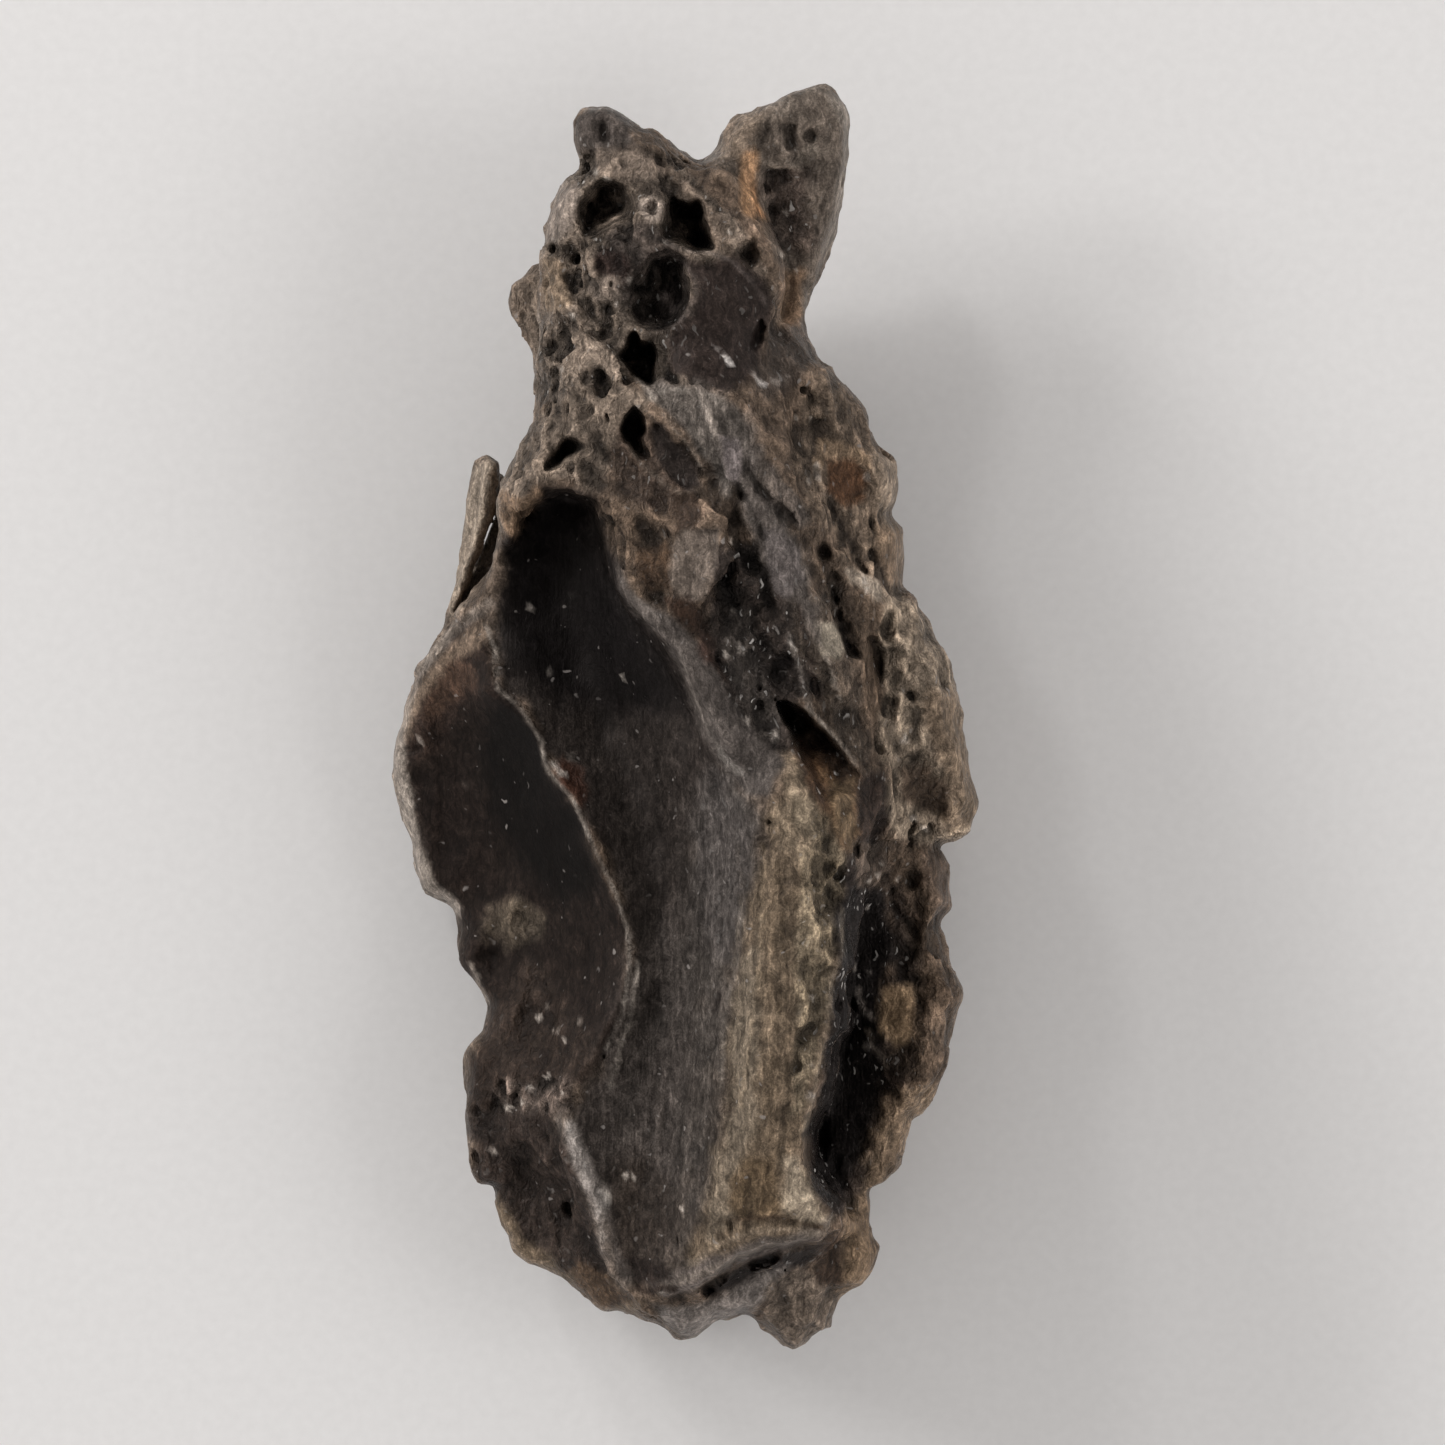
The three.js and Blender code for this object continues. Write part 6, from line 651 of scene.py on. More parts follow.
# Lines on edges, ribs, cuts and scratches: name, colour, half width, strength, height (or depth), and line.
# Pale lines on edges, ribs and rims are painted highlights, some partly worn edges; glint and streak lines
# are painted glints; dark lines in cuts are painted shade; the scratches are real pale scratches.
HIGHLIGHT_SHADE_AND_SCRATCH_LINES = [
    # painted highlights along the fold's crest and the end rim, partly worn edges
    ("fold_line", (126, 118, 110), 0.06, 0.9, 0.12, [(-6.99, 3.33), (-6.63, 2.44), (-6.56, 1.1),
        (-5.75, 0.46), (-5.04, -0.67), (-4.79, -1.8), (-3.87, -2.79), (-3.13, -4.46), (-2.39, -6.05),
        (-1.93, -7.39), (-1.86, -8.81), (-2.14, -10.37), (-2.71, -11.64)]),
    ("fold_line_low", (118, 110, 102), 0.07, 0.9, 0.12, [(-1.57, -8.53), (-1.79, -10.29), (-2.21, -11.71),
        (-2.56, -12.95)]),
    ("rim_line", (120, 110, 100), 0.12, 0.6, 0.1, [(-1.04, -20.13), (0.19, -19.67), (1.33, -19.21),
        (2.49, -18.57), (3.73, -18.22), (4.86, -17.94), (5.22, -17.44)]),
    # real pale scratches
    ("scratch_a", (214, 206, 200), 0.055, 1, 0.02, [(1.08, 13.3), (1.22, 13.05), (1.5, 12.7),
        (1.72, 12.42)]),
    ("scratch_b", (190, 182, 176), 0.05, 1, 0.02, [(2.46, 12.1), (2.67, 11.85), (2.95, 11.75)]),
    ("scratch_c", (160, 150, 142), 0.05, 0.8, 0.04, [(3.02, 11.92), (3.38, 11.92), (3.8, 12.13)]),
    # painted highlights along edges, ledges, ribs and rims; left_outline is painted light at the thin rim
    ("plate_line", (170, 160, 150), 0.06, 0.7, 0.1, [(4.3, 0.46), (5.01, -0.25), (5.71, -1.03),
        (6.07, -1.59)]),
    ("ledge_line", (140, 132, 124), 0.07, 0.5, 0.08, [(3.73, 2.79), (4.09, 1.91), (4.3, 1.03),
        (4.51, 0.32)]),
    ("left_outline", (140, 130, 121), 0.17, 0.7, 0.04, [(-6.88, 4.1), (-8.12, 3.22), (-9.57, 1.52),
        (-10.06, -0.11), (-10.42, -1.52), (-9.71, -3.75), (-9.36, -5.62), (-8.12, -6.76)]),
    ("recess_line", (150, 140, 130), 0.08, 0.7, 0.05, [(-7.59, -8.7), (-7.31, -9.41), (-7.02, -10.08)]),
    ("ledge_a", (150, 140, 130), 0.07, 0.8, 0.12, [(-1.57, 11.99), (-1.22, 11.5), (-0.97, 11.14)]),
    ("ledge_b", (128, 120, 112), 0.06, 0.7, 0.1, [(-1.04, 11.43), (-0.16, 11.53), (0.55, 11.46),
        (1.11, 11.29)]),
    ("ledge_c", (120, 112, 104), 0.05, 0.6, 0.12, [(-0.76, 10.72), (-0.3, 10.15), (0.27, 9.52),
        (0.69, 8.81)]),
    ("ledge_d", (112, 102, 92), 0.06, 0.6, 0.12, [(-2, 9.87), (-1.57, 9.09), (-1.04, 8.53), (-0.44, 8.1),
        (-0.02, 7.89), (0.62, 8.03)]),
    ("ring", (86, 78, 74), 0.06, 0.6, 0.12, [(-0.44, 16.38), (0.05, 16.03), (0.41, 15.46), (0.48, 14.82),
        (0.19, 14.26), (-0.3, 13.76)]),
    ("facet_top", (100, 92, 88), 0.06, 0.5, 0.1, [(-0.58, 16.73), (0.19, 16.42), (0.97, 16.38),
        (1.61, 16.17), (2.18, 15.67), (2.6, 15.11), (2.95, 14.54)]),
    ("neck_rim", (118, 104, 92), 0.08, 0.5, 0.14, [(-0.65, 19.49), (0.19, 18.79), (0.69, 18.22),
        (1.11, 17.37), (1.33, 16.59)]),
    ("neck_rim_low", (128, 114, 102), 0.06, 0.5, 0.12, [(2.85, 17.37), (3.24, 16.59), (3.34, 15.88),
        (3.24, 14.82)]),
    # painted shade in cuts
    ("channel_edge", (40, 34, 31), 0.07, 0.8, -0.15, [(1.4, 6.12), (1.29, 5.55), (1.15, 4.85), (0.83, 4.07),
        (0.69, 3.64)]),
    ("brown_cut", (40, 31, 26), 0.07, 0.8, -0.15, [(0.19, 4.28), (0.62, 3.71), (0.83, 2.79), (1.11, 1.95),
        (1.54, 1.38)]),
    ("slope_cut_a", (44, 36, 32), 0.06, 0.8, -0.15, [(4.09, 4), (4.3, 2.79), (4.51, 1.8), (4.79, 0.67)]),
    ("slope_cut_b", (48, 40, 34), 0.05, 0.7, -0.12, [(4.3, 5.62), (4.79, 4.99), (5.15, 4.21),
        (5.43, 3.22)]),
    ("field_cut_a", (52, 46, 42), 0.05, 0.8, -0.1, [(-1.29, 10.79), (-0.8, 10.22), (-0.44, 9.59)]),
    ("field_cut_b", (56, 50, 46), 0.04, 0.8, -0.08, [(-0.58, 10.93), (-0.16, 10.44), (0.19, 9.94)]),
    ("field_cut_c", (60, 54, 50), 0.04, 0.8, -0.1, [(0.55, 9.45), (0.83, 8.74), (1.04, 7.75), (1.19, 6.9)]),
    ("field_cut_d", (60, 54, 50), 0.04, 0.7, -0.08, [(1.33, 10.58), (1.68, 9.87), (2.03, 9.34)]),
    # painted glints and highlights
    ("glint_a", (196, 186, 176), 0.04, 0.9, 0.05, [(3.63, 3.08), (3.77, 2.76), (3.94, 2.41)]),
    ("glint_b", (176, 166, 156), 0.04, 0.9, 0.05, [(1.89, 2.79), (2.03, 2.51), (2.18, 2.26)]),
    ("bright_a", (150, 140, 130), 0.05, 0.9, 0.1, [(5.01, 2.33), (5.18, 1.8), (5.36, 1.24), (5.57, 0.67)]),
    ("bright_b", (130, 120, 110), 0.04, 0.8, 0.08, [(4.37, 1.95), (4.72, 1.52)]),
    # painted shade in cuts
    ("band_cut_a", (70, 60, 50), 0.04, 0.6, -0.12, [(3.8, -4.28), (3.66, -4.99), (3.38, -5.7)]),
    ("wedge_edge", (40, 30, 24), 0.08, 0.9, -0.1, [(4.09, -0.57), (4.51, -1.63), (4.86, -2.79)]),
    # painted glints in the gap
    ("gap_streak_a", (172, 162, 152), 0.05, 0.9, 0.06, [(6.56, -8.46), (6.63, -9.23)]),
    ("gap_streak_b", (130, 120, 112), 0.06, 0.8, 0.08, [(6.21, -9.59), (6.35, -10.12), (6.63, -10.58)]),
    ("gap_streak_c", (130, 118, 106), 0.07, 0.8, 0.08, [(6.56, -11), (6.77, -11.64), (7.2, -12.24)]),
    # painted highlight along the band's edge
    ("band_edge", (146, 132, 114), 0.07, 0.55, 0.12, [(5.57, -6.58), (5.57, -8.17), (5.22, -9.06),
        (5.15, -10.29), (4.94, -11.18), (4.72, -12.24), (4.51, -13.48), (4.23, -14.36)]),
    # painted shade in grooves on the band, with a painted highlight on the rib between
    ("band_rib_a", (78, 66, 52), 0.04, 0.6, -0.1, [(3.48, -5.7), (3.45, -8.53), (3.31, -11.36),
        (3.02, -14.19)]),
    ("band_rib_b", (130, 114, 94), 0.05, 0.5, 0.08, [(2.85, -4.28), (2.81, -6.4), (2.67, -8.53),
        (2.32, -11.36), (2.03, -13.48)]),
    ("band_rib_c", (80, 68, 54), 0.04, 0.6, -0.1, [(1.96, -4.28), (2.03, -6.4), (1.82, -8.53)]),
    # painted sheen
    ("haze_light", (120, 112, 104), 0.06, 0.5, 0.05, [(2.03, -6.4), (1.89, -8.53), (1.54, -9.94),
        (1.4, -12.06), (1.33, -13.12)]),
    # painted shade under a ledge
    ("band_ledge", (74, 60, 48), 0.06, 0.8, -0.2, [(1.33, -17.58), (2.14, -17.44), (3.2, -17.37),
        (4.09, -17.58), (4.97, -17.79)]),
    # painted highlights on the end rim and the lower ridge
    ("rim_ridge", (130, 118, 104), 0.08, 0.5, 0.15, [(0.19, -19.21), (1.26, -18.43), (2.32, -17.94),
        (3.73, -17.79), (4.79, -18.01)]),
    ("left_ridge", (140, 132, 126), 0.26, 0.45, 0.18, [(-4.19, -14.12), (-3.7, -15.25), (-3.13, -16.66),
        (-2.78, -17.9), (-2.56, -18.96), (-2.1, -19.85)]),
    # painted shade in a cut
    ("end_cut", (40, 32, 28), 0.1, 0.9, -0.4, [(-1.57, -20.02), (-1.22, -20.2), (-0.73, -19.99),
        (-0.23, -20.06)]),
    # painted highlights and glints on the fold and the lip
    ("fold_knot", (176, 168, 160), 0.07, 0.9, 0.08, [(-4.62, -1.52), (-4.4, -1.73), (-4.16, -1.95)]),
    ("lip_rim", (116, 108, 101), 0.04, 0.8, 0.08, [(-1.96, 4.74), (-1.57, 4.21), (-0.8, 3.57),
        (-0.09, 2.44), (0.34, 1.03), (0.9, -0.39), (1.47, -1.38)]),
    ("lip_glint", (150, 143, 136), 0.09, 0.7, 0.04, [(1.33, -1.17), (1.68, -1.59), (2.1, -1.88)]),
    ("lip_fall", (112, 105, 99), 0.07, 0.5, 0.05, [(1.47, -1.59), (1.82, -2.51), (2.25, -3.29)]),
    ("band_side", (124, 112, 98), 0.04, 0.7, 0.08, [(2.81, -6.93), (2.39, -8.17), (1.89, -9.06),
        (1.75, -10.29)]),
    ("band_side_low", (120, 108, 94), 0.04, 0.6, 0.06, [(1.54, -13.12), (1.19, -15.25), (0.55, -17.55)]),
    # painted shade in a cut
    ("side_mark", (36, 31, 29), 0.06, 0.9, -0.15, [(1.33, -9.66), (1.11, -10.22)]),
]

CREST_LIGHT_GAIN = 0.4  # how much painted light the tops of lumps get, partly their paler crust
PIT_SHADE_LOSS = 0.65  # how much painted shade the bottoms of pits get
# Painted light through the glass where it is thin: its colour, how much of it shows, and the thicknesses
# where it is full and where it is gone.
THROUGH_LIGHT_COLOUR = (128, 118, 108)
THROUGH_LIGHT_GAIN = 0.35  # how much of the painted light through thin glass shows where the glass is thin
THIN, THICK = 0.4, 3.0  # thicknesses where that painted light is full, and where it is gone
# pale specks and painted glints: their colour, how much they cover, and their roughness
SPECK_AND_GLINT_COLOUR = (178, 168, 158)
SPECK_AND_GLINT_COVER, SPECK_AND_GLINT_GLOSS = 0.75, 0.5
SPECK_COLOUR = (0.3, 0.27, 0.25, 1)  # pale dots
PAINTED_GLINT_COLOUR = (0.5, 0.47, 0.44, 1)  # painted glints: the light that catches on shiny chipped faces, painted into the colour
GLASS_IOR = 1.5
GLASS_SPECULAR, GLASS_TINT = 0.08, (1.0, 0.86, 0.8, 1)  # weathered glass shines little, and warmly
PAPER_DARK, PAPER_LIGHT = (0.77, 0.755, 0.745, 1), (0.80, 0.785, 0.775, 1)

# ---------------------------------------------------------------- lights and camera

# Lights: name, azimuth and elevation in degrees, size and power.
LIGHTS = [
    ("window_far", 121, 35, 0.05, 0.24),
    ("window_middle", 137, 27, 0.09, 0.6),
    ("window_near", 157, 28, 0.1, 0.6),
    ("fill", -7, 44, 0.2, 0.37),
]
LIGHT_DISTANCE = 0.5  # this and the sizes of lights and floor are in metres
FLOOR_SIZE = 4.0
DOME_COLOUR = (1.0, 0.98, 0.97, 1)
DOME_TOP, DOME_RISE = 0.1, 1.45  # the dome's strength overhead, and how much it gains to the horizon
CAMERA_PLACE = (1.34 * MM, -0.12 * MM, 400 * MM)  # straight above the glass, looking down
CAMERA_LENS, CAMERA_SENSOR = 276.8, 36  # in millimetres, as cameras have them


# ---------------------------------------------------------------- relief maps


def stamp(height, held, line, cell):
    """Writes a line's heights into the map's nearest nodes and marks them as held."""
    for a, b in zip(np.array(line[:-1], float), np.array(line[1:], float)):
        steps = int(np.ceil(np.linalg.norm(b - a) / (0.4 * cell))) + 1
        points = a + (b - a) * np.linspace(0, 1, steps + 1)[:, None]
        i = np.rint((points[:, 0] - LOW_X) / cell).astype(int)
        j = np.rint((points[:, 1] - LOW_Y) / cell).astype(int)
        height[i, j] = points[:, 2]
        held[i, j] = True


def mean_of_neighbours(height):
    padded = np.pad(height, 1, mode="edge")
    return (padded[:-2, 1:-1] + padded[2:, 1:-1] + padded[1:-1, :-2] + padded[1:-1, 2:]) / 4


def relax(height, held, passes, pull):
    """Moves each free node towards the mean of its neighbours, every other node at a time."""
    checker = np.indices(height.shape).sum(0) % 2 == 0
    for _ in range(passes):
        for half in (checker & ~held, ~checker & ~held):
            height = np.where(half, height + pull * (mean_of_neighbours(height) - height), height)
    return height


def refine(height, shape):
    """The same map on a grid of twice the fineness."""
    rows = np.linspace(0, height.shape[0] - 1, shape[0])
    columns = np.linspace(0, height.shape[1] - 1, shape[1])
    wide = np.array([np.interp(columns, np.arange(height.shape[1]), row) for row in height])
    return np.array([np.interp(rows, np.arange(height.shape[0]), column) for column in wide.T]).T


def stretch_skin(creases, swells, start):
    """A skin stretched over all its lines, then rounded off everywhere but at its creases."""
    height = None
    for cell in (times * CELL for times in COARSENINGS):
        shape = (round((COUNT_X - 1) * CELL / cell) + 1, round((COUNT_Y - 1) * CELL / cell) + 1)
        height = np.full(shape, float(start)) if height is None else refine(height, shape)
        held, sharp = np.zeros(shape, bool), np.zeros(shape, bool)
        for line in swells.values():
            stamp(height, held, line, cell)
        for line in creases.values():
            stamp(height, held, line, cell)
            stamp(height, sharp, line, cell)
        height = relax(height, held, SETTLING_PASSES, SETTLING_PULL)
    return relax(height, sharp, round((SOFTEN / CELL) ** 2), SOFTEN_PULL)


def stretch_distance(x, y, a, b):
    """Distance of each node from the straight stretch a to b, and how far along it the nearest point is."""
    dx, dy = b[0] - a[0], b[1] - a[1]
    t = np.clip(((x - a[0]) * dx + (y - a[1]) * dy) / (dx * dx + dy * dy), 0, 1)
    return np.hypot(x - a[0] - t * dx, y - a[1] - t * dy), t


def outline_maps(outline, columns=slice(None), rows=slice(None)):
    """Distance inside a closed outline, negative outside, and the height of its nearest point."""
    x, y = GRID_X[columns, None].astype(float), GRID_Y[None, rows].astype(float)
    nearest = np.full((x.size, y.size), np.inf)
    height = np.zeros_like(nearest)
    within = np.zeros(nearest.shape, bool)
    for a, b in zip(outline, outline[1:] + outline[:1]):
        distance, t = stretch_distance(x, y, a, b)
        closer = distance < nearest
        nearest = np.where(closer, distance, nearest)
        if len(a) > 2:
            height = np.where(closer, a[2] + (b[2] - a[2]) * t, height)
        if a[1] != b[1]:
            crossing = a[0] + (b[0] - a[0]) * (y - a[1]) / (b[1] - a[1])
            within ^= ((a[1] > y) != (b[1] > y)) & (x < crossing)
    return np.where(within, nearest, -nearest), height


def line_distance(line):
    """Distance of each node from an open line."""
    x, y = GRID_X[:, None].astype(float), GRID_Y[None, :].astype(float)
    nearest = np.full((COUNT_X, COUNT_Y), np.inf)
    for a, b in zip(line, line[1:]):
        nearest = np.minimum(nearest, stretch_distance(x, y, a, b)[0])
    return nearest


def shoulder(distance, width):
    """A quarter-round edge: 0 at the outline and 1 from `width` inwards."""
    t = np.clip(distance / width, 0, 1)
    return np.sqrt(1 - (1 - t) ** 2)


def smoothstep(value, low, high):
    t = np.clip((value - low) / (high - low), 0, 1)
    return t * t * (3 - 2 * t)


def sheet_faces(outline, rise, drop, upper_width, under_width):
    """Upper and lower height of a sheet whose edge follows the outline. They cross outside it."""
    inside, rim = outline_maps(outline)
    outside = OUTER_FALL * np.minimum(inside, 0)
    top = rim + rise(rim) * shoulder(inside, upper_width) + outside
    bottom = rim - drop(rim) * shoulder(inside, under_width) - outside
    return top, bottom


def sheet_field(top, bottom):
    """Negative between the two faces, and roughly a distance near them."""
    def slope(face):
        across, along = np.gradient(face, CELL)
        return np.sqrt(1 + across**2 + along**2)

    above = (GRID_Z - top[:, :, None]) / slope(top)[:, :, None]
    below = (bottom[:, :, None] - GRID_Z) / slope(bottom)[:, :, None]
    return np.maximum(above, below).astype(np.float32)


# ---------------------------------------------------------------- the grid of distances


def true_distances(field):
    """The field's zero surface again, as signed distances in millimetres within the band."""
    rough = openvdb.FloatGrid(5.0)
    rough.copyFromArray(field)
    points, triangles, quads = rough.convertToPolygons(isovalue=0.0, adaptivity=0.0)
    unit = openvdb.createLinearTransform(1.0)
    level = openvdb.FloatGrid.createLevelSetFromPolygons(
        points, triangles=triangles, quads=quads, transform=unit, halfWidth=float(BAND)
    )
    distances = np.empty(field.shape, np.float32)
    level.copyToArray(distances)
    return distances * CELL


def in_cells(points, size):
    """Places counted in cells of a size, or one size for each axis, shifted so that none is negative."""
    return points / np.asarray(size, np.float32) + 1000


def near_cells(q):
    """The eight cells nearest to each place, one at a time, and their indices in a repeating block."""
    base = np.floor(q - 0.5).astype(np.int32)
    for corner in np.ndindex(2, 2, 2):
        cell = base + np.array(corner, np.int32)
        yield cell, tuple((cell % CELL_REPEAT).T)


def value_noise(points, size, seed):
    """Smooth noise between -1 and 1 with features of about that size."""
    lattice = np.random.default_rng(seed).uniform(-1, 1, NOISE_REPEAT**3).astype(np.float32)
    q = in_cells(points, size)
    base = np.floor(q)
    f = q - base
    f = f * f * (3 - 2 * f)
    base = base.astype(np.int32) % NOISE_REPEAT
    after = (base + 1) % NOISE_REPEAT
    total = 0
    for cx, wx in ((base[:, 0], 1 - f[:, 0]), (after[:, 0], f[:, 0])):
        for cy, wy in ((base[:, 1], 1 - f[:, 1]), (after[:, 1], f[:, 1])):
            column = (cx * NOISE_REPEAT + cy) * NOISE_REPEAT
            low, high = lattice[column + base[:, 2]], lattice[column + after[:, 2]]
            total = total + wx * wy * (low * (1 - f[:, 2]) + high * f[:, 2])
    return total


def ridged_noise(points, size, seed):
    """Sharp crests between broad hollows, from -1 to 1."""
    return 1 - 3 * np.abs(value_noise(points, size, seed))


def cell_noise(points, size, seed):
    """Distances to the nearest and next nearest of one point scattered in each cell."""
    block = (CELL_REPEAT, CELL_REPEAT, CELL_REPEAT, 3)
    lattice = np.random.default_rng(seed).uniform(0.15, 0.85, block).astype(np.float32)
    q = in_cells(points, size)
    nearest = np.full(len(points), 9, np.float32)
    second = nearest.copy()
    for cell, index in near_cells(q):
        offset = cell + lattice[index] - q
        square = (offset * offset).sum(1)
        np.minimum(second, np.maximum(nearest, square), out=second)
        np.minimum(nearest, square, out=nearest)
    return np.sqrt(nearest), np.sqrt(second)


def web(points, size, seed):
    """Cups with thin walls between them: 1 on a wall, falling to about -1 in the middle of a cup."""
    nearest, second = cell_noise(points, size, seed)
    wall = 1 - smoothstep(second - nearest, 0.0, 0.28)
    return wall - np.clip(1.2 - 1.9 * nearest, 0, 1)


def flakes(points, size, seed):
    """Shallow tilted bowls that meet in sharp ridges, as chipped glass does, and for each bowl a painted
    light or shade, from the same random lift that raises or sinks it.
    """
    random = np.random.default_rng(seed)
    block = (CELL_REPEAT, CELL_REPEAT, CELL_REPEAT)
    middle = random.uniform(0.1, 0.9, (*block, 3)).astype(np.float32)
    tilt = random.uniform(-0.6, 0.6, (*block, 3)).astype(np.float32)
    lift = random.uniform(-0.25, 0.25, block).astype(np.float32)
    q = in_cells(points, size)
    lowest = np.full(len(points), 9, np.float32)
    shade = np.zeros(len(points), np.float32)
    for cell, index in near_cells(q):
        away = q - cell - middle[index]
        height = (away * (away + tilt[index])).sum(1) + lift[index]
        lower = height < lowest
        lowest[lower] = height[lower]
        shade[lower] = lift[index][lower]
    return lowest - 0.2, 4 * shade


def bowls(points, size, seed):
    """The heights alone of the flaked bowls."""
    return flakes(points, size, seed)[0]


def flow_places(points):
    """Places measured across and along the flow, so that noise can be drawn out along it."""
    across = points[:, 0] - np.interp(points[:, 1], FLOW_Y, FLOW_X).astype(np.float32)
    return np.stack([across, points[:, 1], points[:, 2]], 1)


def bent_places(points):
    """Places shifted about, so that cells lose their straight walls."""
    return points + BEND * np.stack([value_noise(points, 0.8, seed) for seed in (51, 52, 53)], 1)


def wander(points):
    """The slow waves that the solid has too."""
    x, y, z = points.T
    waves = (
        np.sin(1.1 * y + 0.7 * z + 0.4) + 0.6 * np.sin(2.3 * z - 1.7 * y + 1.9),
        np.sin(0.9 * x - 0.8 * z + 2.2) + 0.6 * np.sin(1.9 * x + 2.1 * z + 0.3),
        np.sin(1.3 * x + 0.9 * y + 5.1) + 0.6 * np.sin(2.2 * y - 1.6 * x + 3.3),
    )
    return 0.6 * WAVINESS * np.stack(waves, 1)


def band_places(distances, reach):
    """Indices, places and outward directions of the grid nodes within reach of the surface."""
    inner = distances[1:-1, 1:-1, 1:-1]
    i, j, k = (n + 1 for n in np.nonzero(np.abs(inner) < reach))
    places = np.stack([GRID_X[i], GRID_Y[j], GRID_Z[k]], 1)
    slope = np.stack([
        distances[i + 1, j, k] - distances[i - 1, j, k],
        distances[i, j + 1, k] - distances[i, j - 1, k],
        distances[i, j, k + 1] - distances[i, j, k - 1],
    ], 1)
    slope /= np.linalg.norm(slope, axis=1)[:, None] + 1e-6
    return (i, j, k), places, slope


def facing_up(directions):
    """1 where a direction looks up, falling to 0 where it looks well down."""
    return smoothstep(directions[:, 2], -0.15, 0.35)


def wear_surface(distances, maps):
    """Lumps, cups, crust and flow lines. A positive shift wears the glass away."""
    nodes, places, out = band_places(distances, WEAR_REACH)
    i, j, _ = nodes
    upward = facing_up(out)
    relief, flow, holes = (
        upward * maps[name][i, j] + (1 - upward) * below for name, below in UNDERSIDE.items()
    )
    relief = relief * (0.4 + 0.6 * smoothstep(maps["inside"][i, j], 0.0, 1.1))
    patchy = 0.55 + 0.75 * smoothstep(value_noise(places, 1.7, 54), -0.5, 0.5)
    drawn = flow_places(places)
    drawn_bent = flow_places(bent_places(places))
    shift = (out * wander(places)).sum(1) * (0.4 + 0.6 * relief)
    # What each layer follows, how far it moves the surface, and its noise, places, size and seed.
    for strength, reach, kind, where, size, seed in (
        (relief, 0.1, value_noise, drawn, (1.5, 2.2, 1.5), 1),  # broad lumps
        (relief, -0.85, bowls, drawn_bent, *LARGE_FLAKES),  # chipped facets
        (relief, -0.42, bowls, drawn_bent, *SMALL_FLAKES),
        (holes * patchy, -0.1, web, drawn_bent, (0.62, 0.95, 0.62), 8),  # cups
        (relief * holes, -0.06, web, drawn_bent, (0.36, 0.52, 0.36), 9),
        (relief, 0.05, value_noise, drawn_bent, (0.34, 0.6, 0.34), 3),  # crust
        (relief, 0.03, value_noise, places, 0.24, 4),
        (flow, -0.045, ridged_noise, drawn, (0.5, 5, 0.9), 5),  # flow lines
        (flow, 0.04, value_noise, drawn, (0.26, 2.6, 0.5), 6),
    ):
        shift += strength * reach * kind(where, size, seed)
    distances[nodes] += shift.astype(np.float32)


def nodes_between(low, high, axis):
    """The grid's nodes along one axis, from just below the low place to just above the high one."""
    return slice(max(int((low - ORIGIN[axis]) / CELL), 0), int((high - ORIGIN[axis]) / CELL) + 2)


def cut_ellipsoid(distances, middle, halves, axes):
    """Takes an ellipsoid out of the glass. The rows of axes are its own directions."""
    reach = max(halves) + 3 * CELL
    columns, rows, layers = (nodes_between(m - reach, m + reach, axis) for axis, m in enumerate(middle))
    x = GRID_X[columns, None, None] - middle[0]
    y = GRID_Y[None, rows, None] - middle[1]
    z = GRID_Z[None, None, layers] - middle[2]
    square = sum(((x * a + y * b + z * c) / half) ** 2 for (a, b, c), half in zip(axes, halves))
    field = (np.sqrt(square) - 1) * min(halves)
    part = distances[columns, rows, layers]
    np.maximum(part, -field, out=part)


def read_map(values, x, y):
    """A map's values at places, between its four nearest nodes."""
    u = np.clip((x - LOW_X) / CELL, 0, COUNT_X - 1.001)
    v = np.clip((y - LOW_Y) / CELL, 0, COUNT_Y - 1.001)
    i, j = u.astype(int), v.astype(int)
    fu, fv = u - i, v - j
    if values.ndim == 3:
        fu, fv = fu[..., None], fv[..., None]
    near = values[i, j] * (1 - fu) + values[i + 1, j] * fu
    far = values[i, j + 1] * (1 - fu) + values[i + 1, j + 1] * fu
    return near * (1 - fv) + far * fv


def line_relief():
    """How far the listed ridge and cut lines stand up from the upper skin, or are cut into it."""
    relief = np.zeros((COUNT_X, COUNT_Y))
    for _, _, half_width, _, height, line in HIGHLIGHT_SHADE_AND_SCRATCH_LINES:
        reach = max(0.15, 1.7 * half_width)
        relief += height * np.exp(-((line_distance(line) / reach) ** 2))
    return relief


